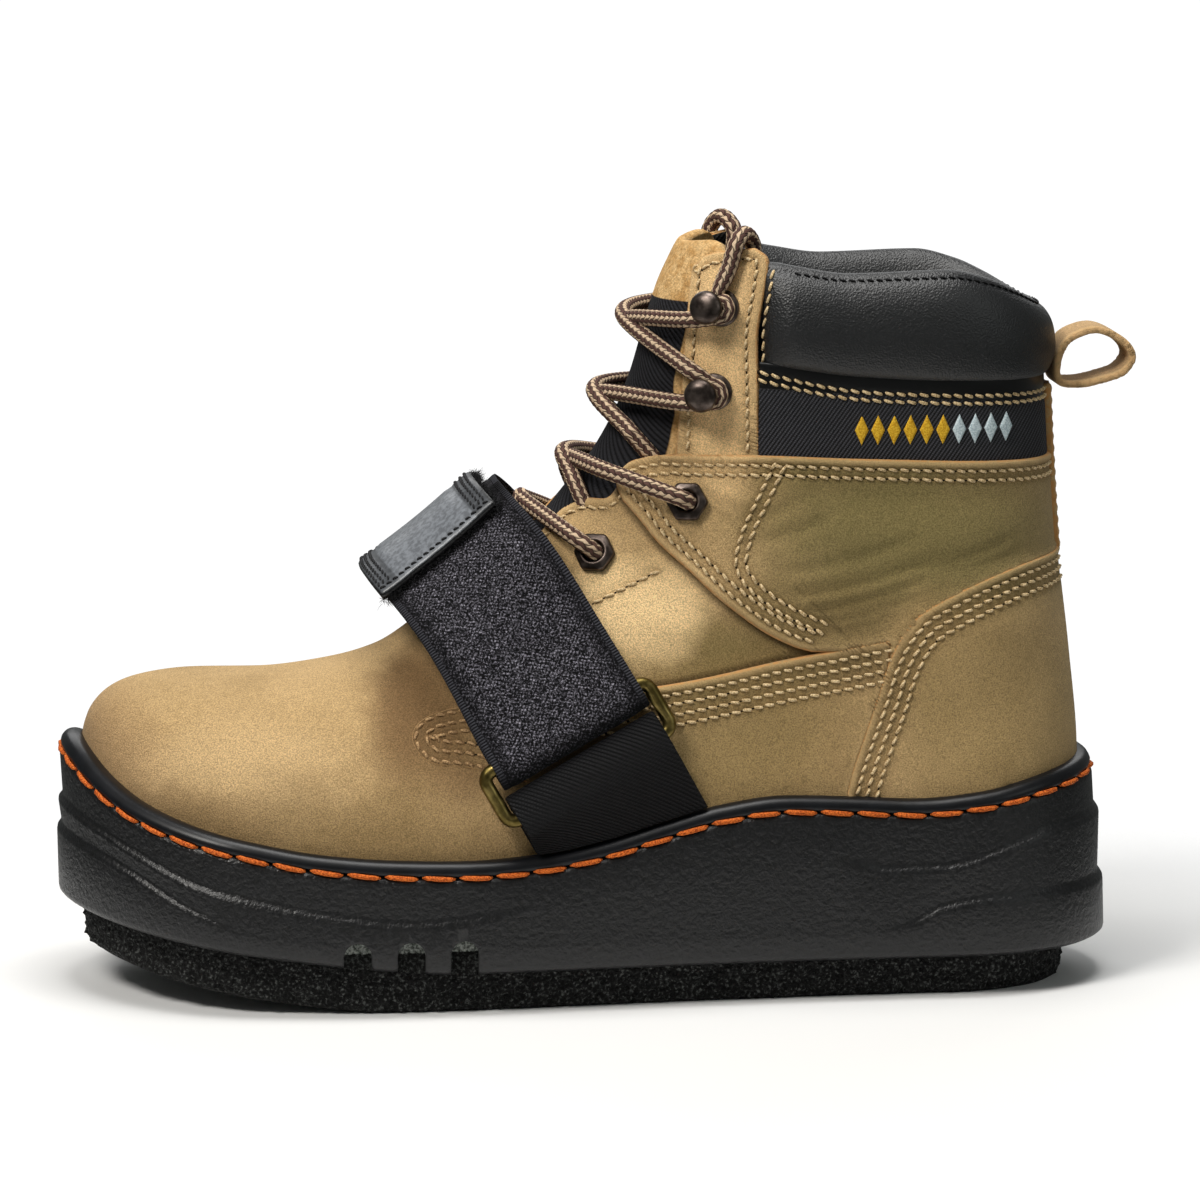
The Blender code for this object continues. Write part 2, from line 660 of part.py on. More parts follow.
def smooth_path(points, steps, closed=False):
    """Points on a rounded path through the given ones."""
    points = [np.asarray(p, float) for p in points]
    count = len(points)
    path = []
    for i in range(count if closed else count - 1):
        if closed:
            a, b, c, d = (points[(i + j - 1) % count] for j in range(4))
        else:
            a, b = points[max(i - 1, 0)], points[i]
            c, d = points[i + 1], points[min(i + 2, count - 1)]
        for s in np.linspace(0.0, 1.0, steps, endpoint=False):
            path.append(
                0.5 * (2 * b + (c - a) * s + (2 * a - 5 * b + 4 * c - d) * s ** 2
                       + (3 * b - a - 3 * c + d) * s ** 3)
            )
    if not closed:
        path.append(points[-1])
    return path


def tube(name, path, radius, sides=8):
    """Round cord along a path, with flat ends."""
    path = [np.asarray(p, float) for p in path]
    vertices = []
    across = None
    for i, point in enumerate(path):
        along = path[min(i + 1, len(path) - 1)] - path[max(i - 1, 0)]
        along /= np.linalg.norm(along)
        if across is None:
            across = np.cross(along, [0.3, 0.2, 0.93])
        across = across - along * np.dot(across, along)
        across /= np.linalg.norm(across)
        other = np.cross(along, across)
        for k in range(sides):
            angle = 2 * math.pi * k / sides
            vertices.append(point + radius * (math.cos(angle) * across + math.sin(angle) * other))
    faces = ring_faces(len(path), sides, False)
    last = (len(path) - 1) * sides
    faces.append(list(range(sides)))
    faces.append(list(range(last, last + sides)))
    return new_object(name, vertices, faces)


def turned(name, origin, axis, profile, sides, hollow):
    """Turned part from a profile of (radius, height); a hollow one joins its last loop to its first."""
    axis = np.asarray(axis, float)
    across = np.cross(axis, [0.0, 0.0, 1.0])
    across /= np.linalg.norm(across)
    other = np.cross(axis, across)
    loops = []
    for radius, height in profile:
        angles = [2 * math.pi * k / sides for k in range(sides)]
        loops.append(np.array([
            origin + axis * height + radius * (math.cos(a) * across + math.sin(a) * other) for a in angles
        ]))
    if hollow:
        return tube_ring(name, loops)
    faces = ring_faces(len(loops), sides, False)
    faces.append(list(range(sides)))
    faces.append(list(range((len(loops) - 1) * sides, len(loops) * sides)))
    return new_object(name, np.concatenate(loops), faces)


def ring_faces(turns, count, closed):
    """Faces that join loops of count points, one after the other."""
    faces = []
    for level in range(turns if closed else turns - 1):
        above = (level + 1) % turns
        for i in range(count):
            j = (i + 1) % count
            faces.append([level * count + i, level * count + j, above * count + j, above * count + i])
    return faces


def tube_ring(name, loops):
    """Ring solid through loops that go around its own cross section."""
    return new_object(name, np.concatenate(loops), ring_faces(len(loops), len(loops[0]), True))


def band(name, lines, thickness):
    """Strip of even thickness about a grid of points: one line of points per place across its width."""
    grid = np.array(lines, float)
    along = np.gradient(grid, axis=1)
    across = np.gradient(grid, axis=0)
    normals = np.cross(along, across)
    normals /= np.linalg.norm(normals, axis=2)[:, :, None]
    top, low = grid + normals * thickness / 2, grid - normals * thickness / 2
    wide, long = grid.shape[:2]
    vertices = list(top.reshape(-1, 3)) + list(low.reshape(-1, 3))
    under = wide * long
    faces = []
    for a in range(wide - 1):
        for s in range(long - 1):
            quad = [a * long + s, a * long + s + 1, (a + 1) * long + s + 1, (a + 1) * long + s]
            faces.append(quad)
            faces.append([under + i for i in reversed(quad)])
    rim = [s for s in range(long)] + [a * long + long - 1 for a in range(1, wide)]
    rim += [(wide - 1) * long + s for s in range(long - 2, -1, -1)]
    rim += [a * long for a in range(wide - 2, 0, -1)]
    for i, here in enumerate(rim):
        there = rim[(i + 1) % len(rim)]
        faces.append([here, there, under + there, under + here])
    return new_object(name, vertices, faces)


# The upper's surface as a grid of sections, and solids made from it

ROWS = sorted([float(i) for i in range(LAST_ROW + 1)] + list(EXTRA_ROWS))
HEEL_MESH_ROW = ROWS.index(float(HEEL_ROW))
TOP_MESH_ROW = len(ROWS) - 1


ShareRow = namedtuple("ShareRow", "row like")
SHARE_ROWS = [
    ShareRow(0, 0),
    ShareRow(HEEL_ROW - 5, HEEL_ROW - 5),
    ShareRow(HEEL_ROW - 2, HEEL_ROW + 1),
    ShareRow(HEEL_ROW + 1, HEEL_ROW + 1),
    ShareRow(HEEL_ROW + 4, HEEL_ROW + 4),
    ShareRow(LAST_ROW, LAST_ROW),
]


def even_shares(v):
    """Shares along section v that step evenly by a mix of girth and turning angle."""
    fine = (1 - np.cos(np.linspace(0, np.pi, 121))) / 2
    points = np.array([last_point(v, t, LATERAL) for t in fine])
    runs = np.linalg.norm(np.diff(points, axis=0), axis=1)
    ways = np.diff(points, axis=0) / runs[:, None]
    turns = np.linalg.norm(np.diff(ways, axis=0), axis=1)
    girth = np.concatenate([[0.0], np.cumsum(runs)])
    turned_by = np.concatenate([[0.0, 0.0], np.cumsum(turns)])
    measure = (1 - TURN_SHARE) * girth / girth[-1] + TURN_SHARE * turned_by / turned_by[-1]
    return np.interp(np.linspace(0, 1, COLUMNS + 1), measure, fine)


def section_shares(v):
    """Even shares averaged over nearby sections, and kept the same for the close rows at the heel."""
    like = np.interp(v, [row.row for row in SHARE_ROWS], [row.like for row in SHARE_ROWS])
    near = np.clip(like + np.linspace(-SHARE_SPREAD, SHARE_SPREAD, 5), 1.0, LAST_ROW)
    return np.mean([even_shares(w) for w in near], axis=0)


def grid_key(side, i, k):
    """Name of a grid point, the same for points the two sides share."""
    if i == 0:
        return "tip"
    if k == 0:
        return ("ridge", i)
    if k == COLUMNS and i >= HEEL_MESH_ROW:
        return ("back", i)
    return (side, i, k)


class LastGrid:
    """Points, faces and outward normals of the upper's outside."""

    def __init__(self):
        self.index, points = {}, []
        for i, v in enumerate(ROWS):
            shares = section_shares(v) if i else [0.0] * (COLUMNS + 1)
            for side in (LATERAL, MEDIAL):
                for k in range(COLUMNS + 1):
                    key = grid_key(side, i, k)
                    if key in self.index:
                        continue
                    self.index[key] = len(points)
                    tip = np.array([TOE_X, float(swing(0)), float(floor_z(TOE_X))])
                    points.append(last_point(v, shares[k], side) if i else tip)
        self.points = np.array(points)
        self.faces = []
        for side in (LATERAL, MEDIAL):
            for i in range(TOP_MESH_ROW):
                for k in range(COLUMNS):
                    corners = [(side, i + 1, k + 1), (side, i + 1, k), (side, i, k)][::side]
                    self.faces.append(self.ring([(side, i, k + 1)] + corners))
        self.normals = self.point_normals()
        self.faces = [part for face in self.faces for part in self.split(face)]

    @staticmethod
    def split(face):
        """Triangles of a face, cut the same way at every offset."""
        return [[face[0], face[i], face[i + 1]] for i in range(1, len(face) - 1)]

    def ring(self, corners):
        """Face through grid corners, dropping corners that fall together."""
        ids = []
        for corner in corners:
            number = self.index[grid_key(*corner)]
            if number not in ids:
                ids.append(number)
        return ids

    def point_normals(self):
        normals = np.zeros_like(self.points)
        for face in self.faces:
            p = self.points[face]
            normal = np.cross(p[2] - p[0], p[-1] - p[1])
            for number in face:
                normals[number] += normal
        return normals / np.linalg.norm(normals, axis=1)[:, None]

    def moved(self, offset, drop=0.0):
        points = self.points + self.normals * offset
        for side in (LATERAL, MEDIAL):
            for i in range(HEEL_MESH_ROW + 1):
                number = self.index[grid_key(side, i, COLUMNS)]
                points[number, 2] = self.points[number, 2] - drop
        return points

    def feather(self):
        """Ids around the feather line: toe tip, outer side back to the heel, inner side forward."""
        outer = [self.index[grid_key(LATERAL, i, COLUMNS)] for i in range(HEEL_MESH_ROW + 1)]
        inner = [self.index[grid_key(MEDIAL, i, COLUMNS)] for i in range(HEEL_MESH_ROW - 1, 0, -1)]
        return outer + inner

    def collar(self):
        outer = [self.index[grid_key(LATERAL, TOP_MESH_ROW, k)] for k in range(COLUMNS + 1)]
        inner = [self.index[grid_key(MEDIAL, TOP_MESH_ROW, k)] for k in range(COLUMNS - 1, 0, -1)]
        return outer + inner


def ladder(loop):
    """Faces across a loop that runs down one side and back up the other."""
    count, faces = len(loop), []
    for i in range(count // 2):
        face = []
        for place in (i, i + 1, count - i - 1, (count - i) % count):
            if loop[place] not in face:
                face.append(loop[place])
        faces.append(face)
    return faces


def form(grid, offset, drop=0.0):
    """Closed solid with the upper's outside moved by offset."""
    faces = grid.faces + ladder(grid.feather()) + ladder(grid.collar())
    return new_object("form", grid.moved(offset, drop), faces)


def overlay(grid, name, outline, inner, outer, y_from=-FAR, y_to=FAR):
    """Layer of the upper between two offsets, cut to an outline in side view."""
    piece = prism(outline, y_from, y_to)
    piece.name = name
    combine(piece, form(grid, outer), "INTERSECT", THIN_SOLVER)
    return combine(piece, form(grid, inner), "DIFFERENCE", THIN_SOLVER)


def rim_points(x_from, x_to, clear):
    return [(x, float(rim_z(x)) + clear) for x in np.linspace(x_from, x_to, RIM_STEPS)]


def shifted(points, dx, dz):
    return [(p[0] + dx, p[1] + dz) for p in points]


# Sole

class Outline:
    """Plan of the feather line, with outward directions, for the layers of the sole."""

    def __init__(self, grid):
        self.points = grid.points[grid.feather()]
        ahead = np.roll(self.points[:, :2], -1, axis=0) - np.roll(self.points[:, :2], 1, axis=0)
        self.out = np.stack([ahead[:, 1], -ahead[:, 0]], axis=1)
        self.out /= np.linalg.norm(self.out, axis=1)[:, None]
        self.x = self.points[:, 0]

    def loop(self, offset, height):
        """Loop moved outward by offset (one number, or one a point), at the height of each moved place."""
        plan = self.points[:, :2] + self.out * np.broadcast_to(offset, self.x.shape)[:, None]
        return np.column_stack([plan, height(plan[:, 0])])

    def heel(self):
        """0 along the foot, rising to 1 at the back of the heel."""
        return np.clip((HEEL_FLARE_START - self.x) / (HEEL_FLARE_START - BACK_LINE[0].x), 0.0, 1.0) ** 2

    def wall(self, row):
        """Loop of a wall table; loops on the rim line keep the height of their own station."""
        step = RIB_STEPS[row.line](self.x) if row.stepped else 0.0
        line = SOLE_LINES[row.line]
        loop = self.loop(row.offset + row.heel * self.heel() - step, lambda x: line(x) + row.rise)
        if line is rim_z:
            loop[:, 2] = rim_z(self.x) + row.rise
        return loop


def stack(name, loops):
    """Solid through loops from the bottom to the top, closed across at both ends."""
    count = len(loops[0])
    vertices = np.concatenate(loops)
    faces = ladder(list(range(count))) + ladder([(len(loops) - 1) * count + i for i in range(count)])
    return new_object(name, vertices, faces + ring_faces(len(loops), count, False))


def make_pad(outline):
    return paint(stack("outsole_pad", [outline.wall(row) for row in PAD_WALL]), BLACK_FOAM)


def make_midsole(grid, outline):
    midsole = stack("midsole", [outline.wall(row) for row in MIDSOLE_WALL])
    combine(midsole, form(grid, CUP_GAP, CUP_GAP), "DIFFERENCE")
    for side in (LATERAL, MEDIAL):
        for x_notch in NOTCH_PLACES:
            combine(midsole, notch_cutter(outline, x_notch, side), "DIFFERENCE")
    return paint(midsole, BLACK_RUBBER)


def notch_cutter(outline, x_notch, side):
    half = len(outline.x) // 2
    part = slice(1, half) if side == LATERAL else slice(half + 1, None)
    order = np.argsort(outline.x[part])
    edge = float(np.interp(x_notch, outline.x[part][order], outline.points[part][order, 1]))
    low = float(lip_z(x_notch)) - NOTCH_BELOW
    arch = [(x_notch - NOTCH_HALF_WIDTH, low), (x_notch + NOTCH_HALF_WIDTH, low)]
    centre = NOTCH_TOP - NOTCH_HALF_WIDTH
    for angle in np.linspace(0.0, math.pi, NOTCH_STEPS + 1):
        across, up = NOTCH_HALF_WIDTH * math.cos(angle), NOTCH_HALF_WIDTH * math.sin(angle)
        arch.append((x_notch + across, centre + up))
    inside = edge + side * (NOTCH_WALL - NOTCH_DEPTH)
    outside = inside + side * NOTCH_REACH
    return prism(arch, min(inside, outside), max(inside, outside))


def make_welt(grid, outline):
    welt = tube_ring("welt", [outline.wall(row) for row in WELT_RING])
    combine(welt, form(grid, CUP_GAP, CUP_GAP), "DIFFERENCE")
    return paint(welt, BLACK_RUBBER)


def make_insole(outline):
    low = outline.loop(INSOLE_INSET, floor_z)
    high = outline.loop(INSOLE_INSET, lambda x: floor_z(x) + INSOLE_THICK)
    return paint(stack("insole", [low, high]), BLACK_FABRIC)


# Upper and its layers

def make_upper(grid):
    outside, inside = grid.moved(0.0), grid.moved(-WALL)
    under = len(outside)
    faces = list(grid.faces) + [[under + i for i in reversed(face)] for face in grid.faces]
    for loop in (grid.feather(), grid.collar()):
        for i, here in enumerate(loop):
            there = loop[(i + 1) % len(loop)]
            faces.append([here, there, under + there, under + here])
    upper = new_object("upper", np.concatenate([outside, inside]), faces)
    combine(upper, prism(MOUTH_EDGE + MOUTH_ABOVE, -FAR, FAR), "DIFFERENCE")
    for level in EYELETS:
        for side in (LATERAL, MEDIAL):
            combine(upper, eyelet_cutter(level, side), "DIFFERENCE")
    return paint(upper, NUBUCK)


def make_layers(grid):
    low, high = GAP, GAP + OVERLAY
    counter = COUNTER_EDGE + [COUNTER_BACK] + rim_points(COUNTER_BACK.x, COUNTER_FOOT_X, RIM_CLEAR)
    layers = [paint(overlay(grid, "counter", counter, low, high + COUNTER_EXTRA), NUBUCK)]
    quarter = QUARTER_TOP + QUARTER_FRONT + shifted(reversed(SIDE_PANEL_TOP[:2]), 0.0, SEAM)
    quarter += shifted(COUNTER_EDGE[4:], 0.0, SEAM) + QUARTER_BACK[::-1]
    panel = SIDE_PANEL_TOP + rim_points(PANEL_FRONT_X, PANEL_FOOT_X, RIM_CLEAR)
    panel += shifted(COUNTER_EDGE[:4], SEAM, 0.0)
    for side, word in ((LATERAL, "lateral"), (MEDIAL, "medial")):
        y_from, y_to = sorted((side * MIDDLE_CLEAR, side * FAR))
        piece = overlay(grid, "quarter_" + word, quarter, low, high, y_from, y_to)
        combine(piece, eyelet_cutter(EYELETS[1], side), "DIFFERENCE", THIN_SOLVER)
        layers.append(paint(piece, NUBUCK))
        layers.append(paint(overlay(grid, "side_panel_" + word, panel, low, high, y_from, y_to), NUBUCK))
    collar_band = shifted(QUARTER_TOP[:4], 0.0, SEAM) + BAND_TOP
    layers.append(paint(overlay(grid, "collar_band", collar_band, low, low + BAND_THICK), BLACK_FABRIC))
    strip = [(BACKSTAY_BACK, BACKSTAY_LOW), (BACKSTAY_FRONT, BACKSTAY_LOW)]
    strip += [(BACKSTAY_FRONT, BACKSTAY_HIGH), (BACKSTAY_BACK, BACKSTAY_HIGH)]
    inner = high + BACKSTAY_LIFT
    backstay = overlay(grid, "backstay", strip, inner, inner + BACKSTAY_THICK, -BACKSTAY_HALF, BACKSTAY_HALF)
    layers.append(paint(backstay, NUBUCK))
    return layers


def make_tongue(grid):
    outer = -WALL - TONGUE_CLEAR
    return paint(overlay(grid, "tongue", TONGUE_BACK + TONGUE_FRONT, outer - TONGUE_THICK, outer), NUBUCK)


def make_collar_pad():
    bottom = column_curve(PAD_LINE, "x", "bottom")
    top = column_curve(PAD_LINE, "x", "top")
    ends = section_line(PAD_ROW)
    start = float((PAD_LINE[0].x - ends[0][0]) / (ends[1][0] - ends[0][0]))
    fine = np.linspace(start, 1.0, PAD_FINE)
    plan = np.array([last_point(PAD_ROW, t, LATERAL) for t in fine])
    girth = np.concatenate([[0.0], np.cumsum(np.linalg.norm(np.diff(plan, axis=0), axis=1))])
    shares = np.interp(np.linspace(0, girth[-1], PAD_STATIONS), girth, fine)
    around = [last_point(PAD_ROW, t, LATERAL) for t in shares]
    around += [last_point(PAD_ROW, t, MEDIAL) for t in reversed(shares[:-1])]
    around = np.array(around)[:, :2]
    ahead = np.gradient(around, axis=0)
    out = np.stack([ahead[:, 1], -ahead[:, 0]], axis=1)
    out /= np.linalg.norm(out, axis=1)[:, None]
    vertices, turn = [], len(PAD_SECTION)
    for place, direction in zip(around, out):
        low, high = float(bottom(place[0])), float(top(place[0]))
        for s in PAD_SECTION:
            plan_point = place + direction * s.offset
            vertices.append((plan_point[0], plan_point[1], low + (high - low) * s.height))
    faces = ring_faces(len(around), turn, False)
    last = (len(around) - 1) * turn
    faces.append(list(range(turn)))
    faces.append(list(range(last, last + turn)))
    return paint(new_object("collar_pad", vertices, faces), BLACK_LEATHER)


def make_pull_loop():
    path = smooth_path([(p.x, p.z) for p in PULL_LOOP], 2, closed=True)
    count = len(path)
    loops = []
    for width in (-LOOP_HALF_WIDTH, LOOP_HALF_WIDTH):
        for sign in ((-0.5, 0.5) if width < 0 else (0.5, -0.5)):
            ring = []
            for i, point in enumerate(path):
                along = path[(i + 1) % count] - path[i - 1]
                along /= np.linalg.norm(along)
                moved = point + np.array([-along[1], along[0]]) * LOOP_THICK * sign
                ring.append((moved[0], width, moved[1]))
            loops.append(ring)
    return paint(tube_ring("pull_loop", loops), NUBUCK)


# Lace hardware and laces

def eyelet_cutter(level, side):
    place, normal = surface(level.x, level.z, side)
    ends = [place - normal * HOLE_REACH, place + normal * HOLE_REACH]
    return tube("eyelet_hole", ends, EYELET_BARREL + HOLE_CLEAR, EYELET_HOLE_SIDES)


def make_eyelet(level, side, word):
    place, normal = surface(level.x, level.z, side)
    seat = level.layer + PLATE_CLEAR
    inside = EYELET_INSET - WALL
    loops = [
        (EYELET_HOLE, inside),
        (EYELET_HOLE, seat + EYELET_PLATE),
        (EYELET_HEX, seat + EYELET_PLATE),
        (EYELET_HEX, seat),
        (EYELET_BARREL, seat),
        (EYELET_BARREL, inside),
    ]
    return paint(turned("eyelet_" + level.name + "_" + word, place, normal, loops, 6, True), DARK_METAL)


def make_hook(level, side, word):
    place, normal = surface(level.x, level.z, side)
    seat = level.layer + PLATE_CLEAR
    loops = [(point.radius, seat + point.height) for point in HOOK_PROFILE]
    name = "hook_" + level.name + "_" + word
    return paint(turned(name, place, normal, loops, HOOK_SIDES, False), DARK_METAL)


def along_lace(level, ridge, run):
    """Side view place a given run from a lace level toward the ridge."""
    toward = np.array([ridge[0] - level.x, ridge[1] - level.z])
    toward /= np.linalg.norm(toward)
    return level.x + run * toward[0], level.z + run * toward[1]


def lace_from_below(level, side, ridge):
    """Points of a lace that comes out from under the throat edge, or up from behind a hook."""
    if level in HOOKS:
        return hook_points(level, side, ridge, HOOK_POST + LACE_RADIUS + GAP)
    start = along_lace(level, ridge, level.edge_run)
    near = along_lace(level, ridge, level.edge_run + EDGE_STEP)
    return [surface(*start, side, EDGE_LEVEL)[0], surface(*near, side, EDGE_LEVEL_NEXT)[0]]


def lace_into(level, side, ridge):
    """Points of a lace that goes into its eyelet from outside, or in below its hook."""
    if level in HOOKS:
        return hook_points(level, side, ridge, -(HOOK_POST + LACE_RADIUS + GAP))
    seat = level.layer + PLATE_CLEAR + EYELET_PLATE + MOUTH_CLEAR
    place, normal = surface(level.x, level.z, side)
    near = along_lace(level, ridge, MOUTH_RUN)
    edge = along_lace(level, ridge, level.edge_run)
    return [
        place + normal * seat,
        place + normal * (seat + MOUTH_RISE),
        surface(*near, side, seat + MOUTH_RUN_RISE)[0],
        surface(*edge, side, level.layer + LACE_RADIUS + MOUTH_EDGE_RISE)[0],
    ]


def hook_points(level, side, ridge, rise):
    seat = level.layer + PLATE_CLEAR + HOOK_PLATE + GAP + LACE_RADIUS
    place, _ = surface(level.x, level.z + rise, side, seat)
    near = along_lace(level, ridge, HOOK_RUN)
    return [place, surface(near[0], near[1] + rise * HOOK_RISE_SHARE, side, seat)[0]]


def lace_strand(name, lower, upper, side, ridge, lift):
    """Lace from the lower level on one side over the ridge to the upper level on the other."""
    middle = np.array([ridge[0] + CROSS_SLOPE * lift, 0.0, ridge[1] + CROSS_SLOPE * lift])
    first = lace_from_below(lower, side, ridge)
    last = lace_into(upper, -side, ridge)
    path = smooth_path(first + [middle] + last[::-1], 2)
    return tube(name, path, LACE_RADIUS, LACE_SIDES)


def make_laces():
    made = []
    for crossing in LACE_CROSSINGS:
        ridge = (crossing.ridge_x, crossing.ridge_z)
        name = "lace_crossing_%d" % crossing.number
        lace = lace_strand(name, crossing.lower, crossing.upper, LATERAL, ridge, CROSS_LIFT)
        other = lace_strand("strand", crossing.lower, crossing.upper, MEDIAL, ridge, 0.0)
        made.append(paint(combine(lace, other, "UNION", THIN_SOLVER), LACE_BRAID))
    for side, word in ((LATERAL, "lateral"), (MEDIAL, "medial")):
        made.append(paint(lace_end("lace_end_" + word, side), LACE_BRAID))
    return made


def lace_end(name, side):
    hook = HOOKS[1]
    seat = PLATE_CLEAR + HOOK_PLATE + GAP + LACE_RADIUS
    clear = HOOK_POST + LACE_RADIUS + GAP
    path = [surface(hook.x, hook.z + clear, side, seat)[0]]
    for x, z, offset, rise in LACE_OVER:
        point, _ = surface(x, z, side, offset)
        path.append(point + np.array([0.0, 0.0, rise]))
    return tube(name, smooth_path(path, 2), LACE_RADIUS, LACE_SIDES)


# Strap, ring and webbing

ridge_z = Curve([s.top_x for s in ALL_SECTIONS[2:]], [s.top_z for s in ALL_SECTIONS[2:]])


def strap_path(across):
    """Side view path of the strap at a place across it (-1 rear edge, 1 front edge), from the ridge down."""
    middle = np.array(smooth_path([tuple(p) for p in STRAP_LINE], 8))
    along = np.gradient(middle, axis=0)
    along /= np.linalg.norm(along, axis=1)[:, None]
    path = middle + np.stack([-along[:, 1], along[:, 0]], axis=1) * across * STRAP_HALF
    above = path[0] - along[0] * np.linspace(STRAP_ABOVE, 0.0, 80, endpoint=False)[:, None]
    path = np.concatenate([above, path])
    under = np.nonzero(path[:, 1] < ridge_z(path[:, 0]))[0][0]
    return path[under:]


def resample(path, runs):
    lengths = np.concatenate([[0.0], np.cumsum(np.linalg.norm(np.diff(path, axis=0), axis=1))])
    return np.column_stack([np.interp(runs, lengths, path[:, i]) for i in range(path.shape[1])])


def path_run(path, test):
    """Length along a side view path to its first point that passes the test."""
    lengths = np.concatenate([[0.0], np.cumsum(np.linalg.norm(np.diff(path, axis=0), axis=1))])
    fine = np.linspace(0.0, lengths[-1], 600)
    points = resample(path, fine)
    for run, point in zip(fine, points):
        if test(point):
            return run
    return lengths[-1]


def strap_lift(across, run):
    """Height that carries the strap over the laces near the ridge."""
    share = (1.0 - across) / 2
    lift = STRAP_LIFT_FRONT + (STRAP_LIFT_REAR - STRAP_LIFT_FRONT) * share
    fade = min(max(run / STRAP_LIFT_RUN, 0.0), 1.0)
    return lift * 0.5 * (1 + math.cos(math.pi * fade))


class RingPlace:
    """Middle, long axis, down axis and outward axis of the strap's ring."""

    def __init__(self):
        lift = STRAP_BASE + STRAP_THICK + GAP + BAR_RADIUS
        corners = {}
        for across in (-1, 1):
            path = strap_path(across)
            for down in (-1, 1):
                test = self.beyond(down * RING_HALF_WIDTH)
                point = resample(path, [path_run(path, test)])[0]
                corners[across, down] = surface(point[0], point[1], LATERAL, lift)[0]
        middle = sum(corners.values()) / 4
        self.long = corners[1, 1] + corners[1, -1] - corners[-1, 1] - corners[-1, -1]
        self.long /= np.linalg.norm(self.long)
        down = corners[1, 1] + corners[-1, 1] - corners[1, -1] - corners[-1, -1]
        down -= self.long * np.dot(down, self.long)
        self.down = down / np.linalg.norm(down)
        self.out = np.cross(self.down, self.long)
        if self.out[1] < 0:
            self.out = -self.out
        self.middle = middle + self.out * RING_LIFT

    @staticmethod
    def beyond(distance):
        centre = np.array(STRAP_LINE[RING_POINT])
        along = np.array(STRAP_LINE[RING_POINT + 1]) - np.array(STRAP_LINE[RING_POINT - 1])
        along /= np.linalg.norm(along)
        return lambda point: np.dot(point - centre, along) > distance

    def turn(self, across_point, down):
        """Slack half turn about the upper (down -1) or lower (down 1) bar, from under it to over it."""
        place = np.dot(across_point - self.middle, self.long)
        bar = self.middle + self.long * place + self.down * down * RING_HALF_WIDTH
        radius = BAR_RADIUS + GAP + FOLD_CLEAR + STRAP_THICK / 2
        points = []
        for angle in np.linspace(-math.pi / 2, math.pi / 2, TURN_STEPS):
            past_bar = -down * (radius + FOLD_SLACK) * math.cos(angle) * self.down
            points.append(bar + past_bar + radius * math.sin(angle) * self.out)
        return points


def strap_points(across, runs, side, level):
    """Points of the strap on one side, at runs from the ridge and a level over the upper."""
    points = []
    for run, (x, z) in zip(runs, resample(strap_path(across), runs)):
        point, normal = surface(x, z, side, level)
        way = normal + np.array([0.0, 0.0, LIFT_UPWARD])
        points.append(point + way / np.linalg.norm(way) * strap_lift(across, run))
    return points


def strap_lines(ring):
    """Lines of the instep strap: up the inner side, over the ridge, round the ring and back to the ridge."""
    lines = []
    level = STRAP_BASE + STRAP_THICK / 2
    for across in np.linspace(-1, 1, STRAP_LINES):
        path = strap_path(across)
        inner_end = path_run(path, lambda p: p[1] < rim_z(p[0]) + STRAP_CLEAR)
        bar_run = path_run(path, ring.beyond(-RING_HALF_WIDTH))
        inner_runs = inner_end * np.linspace(1.0, 0.0, INNER_STEPS) ** RUN_POWER
        outer_runs = (bar_run - BAR_APPROACH) * np.linspace(0.0, 1.0, OUTER_STEPS) ** RUN_POWER
        line = strap_points(across, inner_runs, MEDIAL, level)
        line += strap_points(across, outer_runs[1:], LATERAL, level)
        line += ring.turn(line[-1], -1)
        line += strap_points(across, outer_runs[-2:0:-1], LATERAL, level + STRAP_THICK + GAP)
        lines.append(line)
    return lines


def tab_lines():
    """Lines of the patch on the strap's end: from the outer side over the ridge."""
    level = STRAP_BASE + 2 * (STRAP_THICK + GAP) + TAB_CLEAR + TAB_THICK / 2
    shares = np.linspace(1.0, 0.0, TAB_STEPS) ** RUN_POWER
    lines = []
    for across in np.linspace(TAB_REAR, TAB_FRONT, STRAP_LINES):
        line = strap_points(across, TAB_OUTER_RUN * shares, LATERAL, level)
        lines.append(line + strap_points(across, TAB_INNER_RUN * shares[-2::-1], MEDIAL, level))
    return lines


def webbing_lines(ring):
    """Lines of the ring's webbing: up from the rim, over the lower bar and back down to the rim."""
    lines = []
    level = STRAP_BASE + STRAP_THICK / 2
    for across in np.linspace(-1, 1, STRAP_LINES):
        path = strap_path(across)
        low_end = path_run(path, lambda p: p[1] < rim_z(p[0]) + STRAP_CLEAR)
        bar_run = min(path_run(path, ring.beyond(RING_HALF_WIDTH)) + WEBBING_APPROACH, low_end - STRAP_THICK)
        points = resample(path, np.linspace(low_end, bar_run, WEBBING_STEPS))
        line = [surface(p[0], p[1], LATERAL, level)[0] for p in points]
        line += ring.turn(line[-1], 1)
        for share, p in zip(np.linspace(1.0, 0.0, len(points)), points[::-1]):
            over = level + STRAP_THICK + GAP + WEBBING_BULGE * share
            line.append(surface(p[0], p[1], LATERAL, over)[0])
        lines.append(line)
    return lines


